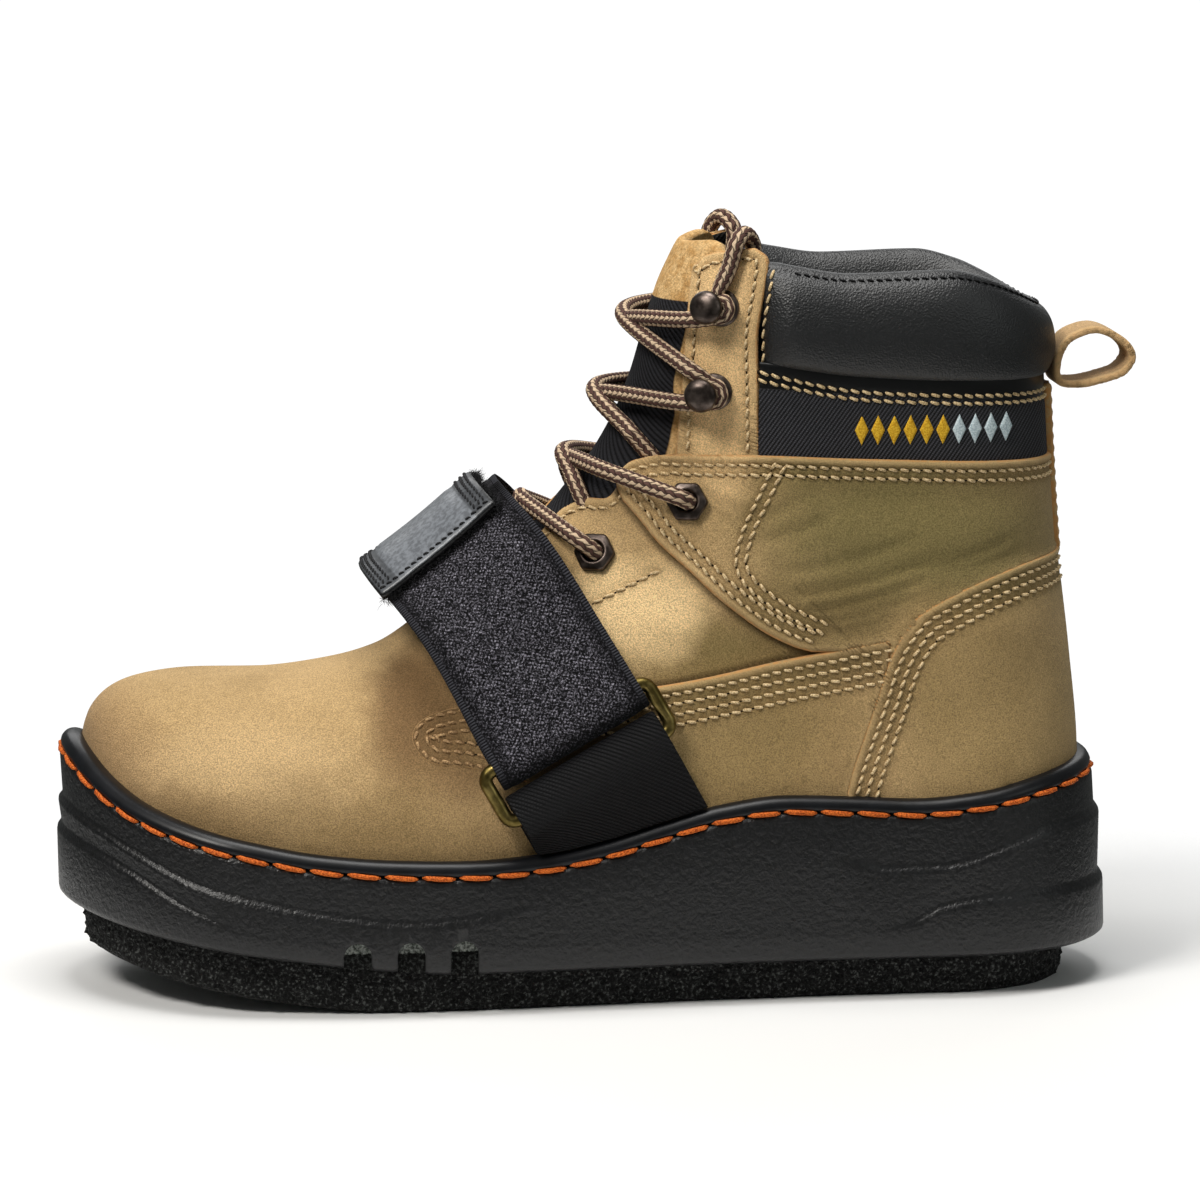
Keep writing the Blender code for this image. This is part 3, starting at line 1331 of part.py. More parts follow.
def make_strap():
    ring = RingPlace()
    made = [paint(band("strap", strap_lines(ring), STRAP_THICK), BLACK_FABRIC)]
    made.append(paint(band("ring_webbing", webbing_lines(ring), STRAP_THICK), BLACK_FABRIC))
    made.append(paint(band("strap_tab", tab_lines(), TAB_THICK), BLACK_LEATHER))
    corner = RING_CORNER
    outline = []
    for sx, sy, start in ((1, 1, 0), (-1, 1, 90), (-1, -1, 180), (1, -1, 270)):
        for angle in np.radians(np.linspace(start, start + 90, CORNER_STEPS)):
            long = sx * (RING_HALF_LENGTH - corner) + corner * math.cos(angle)
            down = sy * (RING_HALF_WIDTH - corner) + corner * math.sin(angle)
            outline.append(ring.middle + ring.long * long + ring.down * down)
    made.append(paint(closed_tube("ring", outline, BAR_RADIUS, ring.out), BRASS))
    return made


def closed_tube(name, path, radius, axis, sides=BAR_SIDES):
    """Round wire along a flat closed path."""
    loops = []
    for k in range(sides):
        angle = 2 * math.pi * k / sides
        loop = []
        for i, point in enumerate(path):
            along = path[(i + 1) % len(path)] - path[i - 1]
            along = along / np.linalg.norm(along)
            outward = np.cross(along, axis)
            loop.append(point + radius * (math.cos(angle) * outward + math.sin(angle) * axis))
        loops.append(np.array(loop))
    return tube_ring(name, loops)


def main():
    clear_objects()
    grid = LastGrid()
    outline = Outline(grid)
    make_pad(outline)
    make_midsole(grid, outline)
    make_welt(grid, outline)
    make_insole(outline)
    make_upper(grid)
    make_tongue(grid)
    make_layers(grid)
    make_collar_pad()
    make_pull_loop()
    for side, word in ((LATERAL, "lateral"), (MEDIAL, "medial")):
        for level in EYELETS:
            make_eyelet(level, side, word)
        for level in HOOKS:
            make_hook(level, side, word)
    make_laces()
    make_strap()


if __name__ == "__main__":
    main()
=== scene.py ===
"""Looks of the left roofing boot, laid over its solids in the same frame. Tables are in millimetres."""

import math
from collections import namedtuple

import bmesh
import bpy
import numpy as np
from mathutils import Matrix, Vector, kdtree
from mathutils.geometry import delaunay_2d_cdt

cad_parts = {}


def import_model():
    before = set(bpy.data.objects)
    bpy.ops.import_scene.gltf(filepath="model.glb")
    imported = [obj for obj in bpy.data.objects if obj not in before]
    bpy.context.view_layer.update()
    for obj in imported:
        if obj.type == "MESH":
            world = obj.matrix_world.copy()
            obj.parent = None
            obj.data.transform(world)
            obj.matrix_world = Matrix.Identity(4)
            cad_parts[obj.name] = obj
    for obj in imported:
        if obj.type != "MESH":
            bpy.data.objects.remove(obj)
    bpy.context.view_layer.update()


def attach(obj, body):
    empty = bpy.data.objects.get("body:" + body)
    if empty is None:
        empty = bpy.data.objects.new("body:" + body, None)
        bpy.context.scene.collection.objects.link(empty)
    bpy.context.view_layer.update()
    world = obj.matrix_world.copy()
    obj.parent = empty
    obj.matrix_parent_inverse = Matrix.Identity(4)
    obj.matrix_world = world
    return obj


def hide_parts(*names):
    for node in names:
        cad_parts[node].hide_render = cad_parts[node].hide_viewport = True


MM = 0.001
rng = np.random.default_rng(11)

# Sizes shared with the solids
GAP = 0.3
WALL = 2.5
OVERLAY = 1.4
TOE_X = 148.9
TOE_RADIUS, TOE_POWER = 50.0, 2.1
HEEL_RADIUS, HEEL_POWER = 40.0, 2.2
LACE_RADIUS = 2.5
EYELET_PLATE = 1.2
HOOK_LIFT = 7.2
STRAP_HALF, STRAP_THICK = 24.5, 1.4
BAR_RADIUS = 2.0
PLATE_CLEAR = 0.9
RING_HALF_LENGTH, RING_HALF_WIDTH = 27.3, 8.0
LATERAL, MEDIAL = 1, -1
SIDES = ((LATERAL, "lateral"), (MEDIAL, "medial"))

Place = namedtuple("Place", "x z")


def table_of(kind, *rows):
    """Table whose rows are all of one kind."""
    return [kind(*row) for row in rows]


# Sections of the last from toe to heel. Each runs from the ridge (top) down to the feather line at low_x.
FootSection = namedtuple("FootSection", "name top_x top_z low_x lateral medial swing crown power")
FOOT_SECTIONS = table_of(
    FootSection,
    ("toe_tip", 148.7, 44.0, 148.8, 41.0, 41.0, -9.0, 0.75, 2.3),
    ("toe_nose", 148.2, 71.0, 148.6, 41.5, 41.5, -9.0, 0.75, 2.3),
    ("toe_front", 146.4, 79.0, 147.5, 42.0, 42.0, -8.8, 0.75, 2.3),
    ("toe_roof", 141.0, 85.8, 144.5, 43.0, 43.0, -8.5, 0.75, 2.3),
    ("toe_cap", 132.0, 89.8, 138.0, 45.0, 45.0, -7.8, 0.78, 2.3),
    ("toe_back", 116.0, 92.0, 124.0, 48.0, 47.5, -6.0, 0.80, 2.3),
    ("vamp_front", 96.0, 92.4, 102.0, 51.0, 50.0, -3.5, 0.84, 2.25),
    ("ball", 76.0, 95.2, 76.0, 52.0, 51.5, -1.5, 0.86, 2.2),
    ("vamp", 62.0, 99.5, 52.0, 51.0, 51.0, -0.5, 0.88, 2.1),
    ("throat", 46.0, 111.0, 26.0, 48.5, 47.0, 0.0, 0.85, 1.95),
    ("instep_low", 31.0, 124.0, -2.0, 45.0, 43.0, 0.5, 0.78, 1.95),
    ("instep", 17.0, 138.0, -32.0, 42.0, 40.5, 0.5, 0.68, 2.0),
    ("instep_high", 7.0, 150.0, -62.0, 40.0, 39.0, 0.0, 0.58, 2.0),
    ("ankle_low", 0.0, 159.0, -92.0, 38.5, 37.5, 0.0, 0.50, 2.0),
    ("ankle", -3.5, 165.0, -118.0, 37.5, 37.0, 0.0, 0.45, 2.0),
    ("heel_seat", -5.3, 168.5, -135.0, 37.0, 36.5, 0.0, 0.43, 2.0),
    ("heel_base", -6.3, 170.5, -143.0, 36.5, 36.5, 0.0, 0.42, 2.0),
)

# Sections of the shaft, from the ridge in front back to the heel seam at low_z.
ShaftSection = namedtuple("ShaftSection", "name top_x top_z low_z lateral medial crown power")
SHAFT_SECTIONS = table_of(
    ShaftSection,
    ("heel_low", -7.0, 172.0, 66.0, 36.0, 36.0, 0.42, 2.0),
    ("heel_high", -7.6, 173.3, 95.0, 35.5, 35.5, 0.42, 2.0),
    ("ankle_back", -8.2, 174.7, 128.0, 35.0, 35.0, 0.43, 2.0),
    ("shaft_low", -9.0, 177.0, 152.0, 35.5, 35.5, 0.44, 2.05),
    ("pad_bottom", -10.5, 181.0, 172.0, 36.5, 36.5, 0.45, 2.1),
    ("shaft", -14.0, 193.0, 184.0, 37.0, 37.0, 0.45, 2.1),
    ("collar_low", -18.0, 206.0, 193.0, 37.5, 37.5, 0.45, 2.1),
    ("collar_top", -28.0, 227.0, 203.0, 37.5, 37.5, 0.45, 2.1),
)

# Back line of the heel and shaft, and the floor of the cup under the foot.
BACK_LINE = table_of(
    Place, (-143.0, 38.3), (-143.8, 55.0), (-143.5, 68.0), (-140.6, 98.0), (-137.0, 128.0), (-134.8, 158.0),
    (-133.2, 185.0), (-131.0, 204.0),
)
CUP_FLOOR = table_of(
    Place, (-145.0, 38.3), (-100.0, 38.0), (-50.0, 35.5), (0.0, 31.5), (40.0, 29.5), (70.0, 30.0),
    (100.0, 33.2), (125.0, 37.5), (149.0, 43.0),
)


# Curves through table rows

class Curve:
    """Monotone cubic through (x, y) knots, so that it never swings past them."""

    def __init__(self, xs, ys):
        order = np.argsort(xs)
        self.x = np.asarray(xs, float)[order]
        self.y = np.asarray(ys, float)[order]
        h = np.diff(self.x)
        d = np.diff(self.y) / h
        m = np.zeros_like(self.y)
        m[0], m[-1] = d[0], d[-1]
        for i in range(1, len(m) - 1):
            if d[i - 1] * d[i] > 0:
                w1 = 2 * h[i] + h[i - 1]
                w2 = h[i] + 2 * h[i - 1]
                m[i] = (w1 + w2) / (w1 / d[i - 1] + w2 / d[i])
        self.m = m

    def __call__(self, x):
        x = np.clip(x, self.x[0], self.x[-1])
        i = np.clip(np.searchsorted(self.x, x) - 1, 0, len(self.x) - 2)
        h = self.x[i + 1] - self.x[i]
        s = (x - self.x[i]) / h
        return (
            self.y[i] * (1 + 2 * s) * (1 - s) ** 2
            + self.m[i] * h * s * (1 - s) ** 2
            + self.y[i + 1] * s * s * (3 - 2 * s)
            + self.m[i + 1] * h * s * s * (s - 1)
        )


def column_curve(rows, key, column):
    return Curve([getattr(r, key) for r in rows], [getattr(r, column) for r in rows])


def rounded(distance, radius, power):
    """0 at an end, rising to 1 at radius, along a superellipse."""
    near = np.clip(np.asarray(distance, float) / radius, 0.0, 1.0)
    return (1.0 - (1.0 - near) ** power) ** (1.0 / power)


back_x = column_curve(BACK_LINE, "z", "x")
floor_z = column_curve(CUP_FLOOR, "x", "z")


# The last: side view point and half width for section number v and share t along it

HEEL_ROW = len(FOOT_SECTIONS) - 1
LAST_ROW = HEEL_ROW + len(SHAFT_SECTIONS)
ALL_SECTIONS = FOOT_SECTIONS + SHAFT_SECTIONS
_number = range(len(ALL_SECTIONS))


def _over_sections(column, default=0.0):
    return Curve(_number, [getattr(s, column, default) for s in ALL_SECTIONS])


top_x, top_z = _over_sections("top_x"), _over_sections("top_z")
lateral_width, medial_width = _over_sections("lateral"), _over_sections("medial")
swing, crown, crown_power = _over_sections("swing"), _over_sections("crown"), _over_sections("power")
foot_low_x = Curve(range(HEEL_ROW + 1), [s.low_x for s in FOOT_SECTIONS])
shaft_low_z = Curve(
    range(HEEL_ROW, LAST_ROW + 1), [BACK_LINE[0].z] + [s.low_z for s in SHAFT_SECTIONS]
)


def section_line(v):
    """Side view ends of sections v: ridge x and z, then feather or back seam x and z."""
    low_x, low_z = foot_low_x(v), shaft_low_z(v)
    foot = np.asarray(v) <= HEEL_ROW
    end_x = np.where(foot, low_x, back_x(low_z))
    end_z = np.where(foot, floor_z(low_x), low_z)
    return top_x(v), top_z(v), end_x, end_z


def last_points(v, t, side):
    """Points on the outside of the upper at section numbers v and shares t."""
    start_x, start_z, end_x, end_z = section_line(v)
    x = start_x + (end_x - start_x) * t
    z = start_z + (end_z - start_z) * t
    width = np.where(np.asarray(side) > 0, lateral_width(v), medial_width(v))
    half = (
        width
        * rounded(t, crown(v), crown_power(v))
        * rounded(x - back_x(z), HEEL_RADIUS, HEEL_POWER)
        * rounded(TOE_X - x, TOE_RADIUS, TOE_POWER)
    )
    return np.stack([x, swing(v) + side * half, z], axis=-1)


def locate(x, z):
    """Section numbers and shares of side view points."""
    x, z = np.asarray(x, float), np.asarray(z, float)

    def ahead(v):
        start_x, start_z, end_x, end_z = section_line(v)
        return (end_x - start_x) * (z - start_z) - (end_z - start_z) * (x - start_x)

    low = np.full(x.shape, 0.01)
    high = np.full(x.shape, float(LAST_ROW))
    sign = ahead(low) > 0
    for _ in range(34):
        middle = (low + high) / 2
        same = (ahead(middle) > 0) == sign
        low = np.where(same, middle, low)
        high = np.where(same, high, middle)
    start_x, start_z, end_x, end_z = section_line(low)
    run_x, run_z = end_x - start_x, end_z - start_z
    t = ((x - start_x) * run_x + (z - start_z) * run_z) / (run_x ** 2 + run_z ** 2)
    return low, np.clip(t, 0.0, 1.0)


def unit(a):
    return a / np.maximum(np.linalg.norm(a, axis=-1, keepdims=True), 1e-9)


SEAM_NEAR, END_NEAR, ROW_REACH, FIRST_ROW = 1e-5, 6e-4, 0.08, 0.02


def on_seam(v, t):
    """Whether places are on the ridge or on the heel seam, where the two sides meet."""
    return (t < SEAM_NEAR) | ((t > 1 - SEAM_NEAR) & (v >= HEEL_ROW))


def skin_normals(v, t, side):
    """Outward normals of the upper, with no sideways part on a seam."""
    near = np.clip(t, END_NEAR, 1 - END_NEAR)
    step = np.clip(np.minimum(near, 1 - near) * 0.5, 2e-4, 0.02)
    along_t = last_points(v, near + step, side) - last_points(v, near - step, side)
    low_v, high_v = np.maximum(v - ROW_REACH, FIRST_ROW), np.minimum(v + ROW_REACH, LAST_ROW)
    along_v = last_points(high_v, near, side) - last_points(low_v, near, side)
    normals = np.cross(along_t, along_v) * np.asarray(side)[..., None]
    normals[..., 1] = np.where(on_seam(v, t), 0.0, normals[..., 1])
    return unit(normals)


def skin(x, z, side, offset=0.0):
    """Points of the upper seen at (x, z), moved out by offset, and their normals."""
    v, t = locate(x, z)
    normals = skin_normals(v, t, side)
    return last_points(v, t, side) + normals * np.asarray(offset)[..., None], normals


# Flat map of the upper: rows measured along the foot, columns by share of the girth

ROW_STEPS, SHARE_STEPS, ANGLE_STEPS = 480, 140, 160
GIRTH = 110.0
_v = np.linspace(0.0, LAST_ROW, ROW_STEPS + 1)
_t = (1 - np.cos(np.linspace(0, np.pi, ANGLE_STEPS + 1))) / 2
_points = last_points(np.maximum(_v, FIRST_ROW)[:, None] + 0 * _t, _t[None, :] + 0 * _v[:, None], LATERAL)
_runs = np.linalg.norm(np.diff(_points, axis=1), axis=2)
_girth = np.concatenate([np.zeros((ROW_STEPS + 1, 1)), np.cumsum(_runs, axis=1)], axis=1)
SHARE_TABLE = _girth / _girth[:, -1:]
TURN_TABLE = np.array([np.interp(np.linspace(0, 1, SHARE_STEPS + 1), row, _t) for row in SHARE_TABLE])
_steps = np.linalg.norm(np.diff(_points[:, ::20], axis=0), axis=2).max(axis=1)
ROW_LENGTH = np.concatenate([[0.0], np.cumsum(_steps)])


def look_up(table, row, column):
    """Value of a table between its whole rows and columns."""
    row = np.clip(row, 0, table.shape[0] - 1.001)
    column = np.clip(column, 0, table.shape[1] - 1.001)
    i, j = row.astype(int), column.astype(int)
    f, g = row - i, column - j
    low = table[i, j] * (1 - g) + table[i, j + 1] * g
    high = table[i + 1, j] * (1 - g) + table[i + 1, j + 1] * g
    return low * (1 - f) + high * f


def look_up_points(grid, row, column):
    """Points of a grid between its whole rows and columns."""
    return np.stack([look_up(layer, row, column) for layer in np.moveaxis(grid, 2, 0)], axis=1)


def to_map(v, t):
    column = np.arccos(np.clip(1 - 2 * t, -1, 1)) / np.pi * ANGLE_STEPS
    share = look_up(SHARE_TABLE, v / LAST_ROW * ROW_STEPS, column)
    share = np.where(t > 1 - 1e-7, 1.0, share)
    return np.stack([np.interp(v, _v, ROW_LENGTH), share * GIRTH], axis=-1)


def from_map(places):
    v = np.interp(places[..., 0], ROW_LENGTH, _v)
    share = np.clip(places[..., 1] / GIRTH, 0, 1)
    t = look_up(TURN_TABLE, v / LAST_ROW * ROW_STEPS, share * SHARE_STEPS)
    return v, np.where(share > 1 - 1e-7, 1.0, t)


# Lines

def smooth_path(points, steps, closed=False):
    """Points on a rounded path through the given ones."""
    p = np.asarray(points, float)
    if closed:
        a, b, c, d = (np.roll(p, shift, axis=0) for shift in (1, 0, -1, -2))
    else:
        wide = np.concatenate([p[:1], p, p[-1:]])
        a, b, c, d = wide[:-3], wide[1:-2], wide[2:-1], wide[3:]
    s = np.linspace(0, 1, steps, endpoint=False)[None, :, None]
    a, b, c, d = (q[:, None, :] for q in (a, b, c, d))
    square, cube = 2 * a - 5 * b + 4 * c - d, 3 * b - a - 3 * c + d
    path = 0.5 * (2 * b + (c - a) * s + square * s ** 2 + cube * s ** 3)
    path = path.reshape(-1, p.shape[1])
    return path if closed else np.concatenate([path, p[-1:]])


def run_lengths(path):
    return np.concatenate([[0.0], np.cumsum(np.linalg.norm(np.diff(path, axis=0), axis=1))])


def values_at(runs, lengths, values):
    """Rows of values at some runs, where lengths are the runs of the given rows."""
    return np.column_stack([np.interp(runs, lengths, column) for column in values.T])


def at_runs(path, runs):
    return values_at(runs, run_lengths(path), path)


def even(path, step):
    length = run_lengths(path)[-1]
    return at_runs(path, np.linspace(0, length, max(int(round(length / step)), 1) + 1))


def seen_at(line, side):
    return last_points(*locate(line[:, 0], line[:, 1]), side)


def trace(line, side, step):
    """Side view line cut into even steps over the upper."""
    line = np.asarray(line, float)
    for _ in range(14):
        wide = np.linalg.norm(np.diff(seen_at(line, side), axis=0), axis=1) > step / 2
        if not wide.any():
            break
        middle = (line[:-1] + line[1:]) / 2
        line = np.insert(line, np.nonzero(wide)[0] + 1, middle[wide], axis=0)
    lengths = run_lengths(seen_at(line, side))
    runs = np.linspace(0, lengths[-1], max(int(round(lengths[-1] / step)), 1) + 1)
    return values_at(runs, lengths, line)


def on_map(line):
    return to_map(*locate(line[:, 0], line[:, 1]))


def beside(places, distance, side, closed=False):
    """Map line moved over the upper by a distance to the left of its way on the map."""
    def at(shift):
        v, t = from_map(places + shift)
        return last_points(v, t, side)
    ahead = np.gradient(places, axis=0)
    if closed:
        ahead = np.roll(places, -1, axis=0) - np.roll(places, 1, axis=0)
    small = 0.3
    along_a = (at(np.array([small, 0])) - at(np.array([-small, 0]))) / (2 * small)
    along_b = (at(np.array([0, small])) - at(np.array([0, -small]))) / (2 * small)
    aa, ab, bb = (along_a ** 2).sum(1), (along_a * along_b).sum(1), (along_b ** 2).sum(1)
    left = np.stack([-(ab * ahead[:, 0] + bb * ahead[:, 1]), aa * ahead[:, 0] + ab * ahead[:, 1]], axis=1)
    size = np.sqrt(aa * left[:, 0] ** 2 + 2 * ab * left[:, 0] * left[:, 1] + bb * left[:, 1] ** 2)
    return places + left / np.maximum(size, 1e-9)[:, None] * distance


# Lines of the sole along the foot

RIM = table_of(
    Place, (149.0, 73.6), (146.5, 71.0), (140.0, 65.1), (131.6, 59.8), (117.5, 54.5), (100.6, 50.4),
    (80.7, 46.8), (57.8, 44.8), (37.6, 44.2), (17.3, 45.5), (0.0, 48.5), (-17.8, 53.4), (-35.4, 58.0),
    (-53.0, 60.1), (-73.6, 59.3), (-94.0, 58.2), (-112.0, 59.7), (-127.6, 62.8), (-138.2, 65.1),
    (-144.0, 66.5),
)

# Each rib is a step in the wall of the cup: its height, and how far it steps.
RibPoint = namedtuple("RibPoint", "x z step")
UPPER_RIB = table_of(
    RibPoint, (155.0, 55.5, 1.3), (141.5, 49.8, 1.3), (132.0, 45.3, 1.3), (116.0, 38.4, 1.3),
    (104.0, 35.4, 1.2), (72.0, 29.5, 1.1), (55.0, 27.7, 1.0), (38.0, 28.9, 0.8), (18.0, 32.0, 0.0),
    (-68.0, 42.0, 0.0), (-76.0, 41.2, 0.6), (-83.0, 39.2, 1.1), (-100.0, 39.4, 1.3), (-123.0, 45.4, 1.3),
    (-133.0, 48.6, 1.3), (-155.0, 50.5, 1.3),
)
LOWER_RIB = table_of(
    RibPoint, (155.0, 47.0, 1.3), (141.5, 43.0, 1.3), (132.0, 38.9, 1.3), (122.7, 33.8, 1.2),
    (113.4, 29.6, 0.8), (100.0, 25.0, 0.0), (50.0, 21.0, 0.0), (-80.0, 21.5, 0.0), (-91.0, 23.0, 0.7),
    (-100.0, 27.4, 1.2), (-114.0, 29.6, 1.3), (-155.0, 30.5, 1.3),
)
LIP_BASE, LIP_RISE, LIP_START, LIP_POWER = 12.0, 13.0, 40.0, 1.3
SPRING_RISE, SPRING_START, SPRING_POWER = 13.0, 58.0, 1.45
TOE_END = 150.0
NOTCH_PLACES = (70.3, 54.9, 39.6)
NOTCH_HALF_WIDTH, NOTCH_TOP, NOTCH_DEPTH = 4.0, 22.5, 3.5
WELT_DROP = 3.5
HEEL_FLARE_START = -95.0

rim_z = column_curve(RIM, "x", "z")
upper_rib_z, upper_rib_step = column_curve(UPPER_RIB, "x", "z"), column_curve(UPPER_RIB, "x", "step")
lower_rib_z, lower_rib_step = column_curve(LOWER_RIB, "x", "z"), column_curve(LOWER_RIB, "x", "step")


def lip_z(x):
    run = np.clip((x - LIP_START) / (TOE_END - LIP_START), 0.0, 1.2)
    return LIP_BASE + LIP_RISE * run ** LIP_POWER


def spring_z(x):
    run = np.clip((x - SPRING_START) / (TOE_END - SPRING_START), 0.0, 1.2)
    return SPRING_RISE * run ** SPRING_POWER


# Edges of the upper and of its panels, seen from the side

MOUTH_EDGE = table_of(
    Place, (43.5, 110.8), (38.0, 113.0), (30.0, 119.0), (17.7, 131.5), (10.7, 139.4), (6.7, 142.8),
    (1.4, 145.2), (-4.0, 145.6), (-7.0, 149.0), (-9.4, 153.8), (-13.9, 156.6), (-24.0, 158.6),
    (-25.4, 174.0), (-26.5, 188.6), (-28.8, 209.9), (-31.0, 213.7), (-35.0, 216.5), (-46.0, 218.4),
    (-49.5, 215.0), (-48.6, 206.6), (-46.6, 195.0), (-46.6, 184.0), (-73.0, 180.8), (-102.0, 179.0),
    (-134.0, 177.8),
)
QUARTER_TOP = table_of(
    Place, (-136.0, 155.5), (-102.0, 157.0), (-73.0, 158.0), (-49.7, 158.9), (-25.0, 158.4), (-13.9, 156.4),
    (-9.6, 153.8), (-7.4, 149.2), (-9.0, 144.6),
)
QUARTER_FRONT = table_of(
    Place, (-13.3, 139.6), (-18.8, 132.8), (-27.2, 125.3), (-35.7, 117.3), (-47.2, 108.6), (-55.9, 104.0),
    (-62.0, 102.0),
)
SIDE_PANEL_TOP = table_of(
    Place, (-85.4, 105.3), (-70.6, 102.6), (-53.0, 99.6), (-19.5, 93.2), (33.8, 87.7), (45.2, 85.7),
    (51.1, 83.0), (53.5, 79.2), (52.0, 75.1), (47.2, 71.8), (37.2, 70.6), (20.0, 66.0), (8.0, 58.0),
)
COUNTER_EDGE = table_of(
    Place, (-72.1, 60.6), (-74.2, 68.6), (-80.3, 86.0), (-83.5, 96.1), (-87.6, 104.8), (-93.4, 112.0),
    (-101.3, 116.8), (-111.8, 121.7), (-124.5, 125.8), (-140.0, 127.6),
)
TONGUE_BACK = table_of(
    Place, (-36.0, 217.0), (-36.5, 200.0), (-38.0, 180.0), (-36.0, 158.0), (-26.0, 147.0), (-10.0, 136.0),
    (8.0, 128.0), (24.0, 113.0), (38.0, 102.5), (52.0, 97.0),
)
TONGUE_TOP = 221.0
# Collar pad: bottom and top along the collar, and its cross section (height share, offset from the upper)
PadPoint = namedtuple("PadPoint", "x bottom top")
PAD_LINE = table_of(
    PadPoint, (-51.6, 184.2, 214.4), (-58.0, 183.4, 213.2), (-73.0, 181.3, 211.2), (-102.0, 179.5, 212.0),
    (-114.0, 179.0, 209.6), (-123.0, 178.6, 206.0), (-132.0, 178.3, 201.0),
)
PadSection = namedtuple("PadSection", "height offset")
PAD_SECTION = table_of(
    PadSection, (0.00, -0.4), (0.10, 2.8), (0.38, 4.6), (0.72, 3.4), (0.95, -0.8), (0.98, -5.4),
    (0.72, -9.6), (0.26, -9.2), (0.00, -3.6),
)
PAD_ROW = HEEL_ROW + 6.0

# Lace levels, low to high: side view place, layer under the plate, run from there to clear the throat edge
LaceLevel = namedtuple("LaceLevel", "name x z layer edge_run")
EYELETS = table_of(
    LaceLevel,
    ("low", -0.4, 130.0, 0.0, 18.0),
    ("high", -27.0, 144.7, GAP + OVERLAY, 22.0),
)
HOOKS = table_of(
    LaceLevel,
    ("low", -34.7, 177.2, 0.0, 12.0),
    ("high", -36.9, 201.1, 0.0, 12.0),
)
UNDER_STRAP = LaceLevel("under_strap", 23.0, 122.0, 0.0, 11.0)
LaceCrossing = namedtuple("LaceCrossing", "number lower upper ridge_x ridge_z")
LACE_CROSSINGS = table_of(
    LaceCrossing,
    (1, UNDER_STRAP, EYELETS[0], 17.5, 141.2),
    (2, EYELETS[0], EYELETS[1], 5.2, 155.0),
    (3, EYELETS[1], HOOKS[0], -4.0, 173.6),
    (4, HOOKS[0], HOOKS[1], -12.4, 195.0),
)

# Lace end: over the top of the eyestay and into the boot
LacePoint = namedtuple("LacePoint", "x z offset rise")
LACE_OVER = table_of(
    LacePoint, (-40.0, 212.0, LACE_RADIUS + 1.0, 0.0), (-42.0, 217.6, LACE_RADIUS + 0.6, 1.4),
    (-42.6, 218.0, -WALL / 2 - 0.3, LACE_RADIUS + 2.0), (-43.0, 217.8, -WALL - LACE_RADIUS - 1.8, 2.0),
    (-43.0, 211.0, -WALL - LACE_RADIUS - 1.8, 0.0), (-43.0, 200.0, -WALL - LACE_RADIUS - 1.8, 0.0),
)

# Strap: middle line in side view, with the lift that clears the laces at its rear and front edge
STRAP_LINE = table_of(
    Place, (39.0, 118.6), (27.3, 106.0), (15.4, 90.2), (6.9, 74.6), (-6.5, 51.5),
)
RING_POINT = 3
STRAP_BASE, STRAP_LIFT_REAR, STRAP_LIFT_FRONT, STRAP_LIFT_RUN = GAP + OVERLAY + 2 * GAP, 13.5, 15.0, 45.0
LIFT_UPWARD, STRAP_CLEAR, RUN_POWER = 1.5, 1.4, 2.0
BAR_APPROACH, WEBBING_APPROACH = 5.0, 4.0
TAB_THICK, TAB_CLEAR, TAB_OUTER_RUN, TAB_INNER_RUN = 3.0, 0.6, 5.0, 1.5
TAB_REAR, TAB_FRONT = -0.80, 1.08
RING_CORNER, RING_LIFT, WEBBING_BULGE = 3.0, 0.8, 4.6
FOLD_CLEAR, FOLD_SLACK = 0.1, 3.8

# Pull loop: middle line behind the heel seam
PULL_LOOP = table_of(
    Place, (-138.5, 176.6), (-138.3, 183.0), (-141.6, 188.8), (-149.5, 191.4), (-157.0, 188.2),
    (-160.2, 183.6), (-157.6, 179.0), (-151.0, 176.6), (-144.0, 175.4),
)
LOOP_THICK, LOOP_HALF_WIDTH = 2.2, 9.0
BACKSTAY_HALF, BACKSTAY_LOW, BACKSTAY_HIGH = 7.0, 126.0, 175.5


# Triangles over a region of the upper's map

Patch = namedtuple("Patch", "side places triangles loops")


PATCH_STEP, LATTICE_ROW, LATTICE_CLEAR = 1.7, 0.866, 0.6
EDGE_INSETS, INSET_CLEAR = (0.4, 0.9, 1.7), 0.55
LINE_SIDES, LINE_CLEAR = (0.0, -0.75, 0.75), 0.3


def inside(loops, places):
    """Whether places lie in a region of the map given by closed loops."""
    odd = np.zeros(len(places), bool)
    for loop in loops:
        for (ax, ay), (bx, by) in zip(loop, np.roll(loop, -1, axis=0)):
            if ay != by:
                crossing = (places[:, 1] < ay) != (places[:, 1] < by)
                odd ^= crossing & (places[:, 0] < ax + (places[:, 1] - ay) * (bx - ax) / (by - ay))
    return odd


def nearest(points, places):
    """Distance from each place to the nearest of some points."""
    def solid(flat):
        return np.pad(flat, ((0, 0), (0, 3 - flat.shape[1])))
    tree = kdtree.KDTree(len(points))
    for i, point in enumerate(solid(points)):
        tree.insert(point, i)
    tree.balance()
    return np.array([tree.find(place)[2] for place in solid(places)])


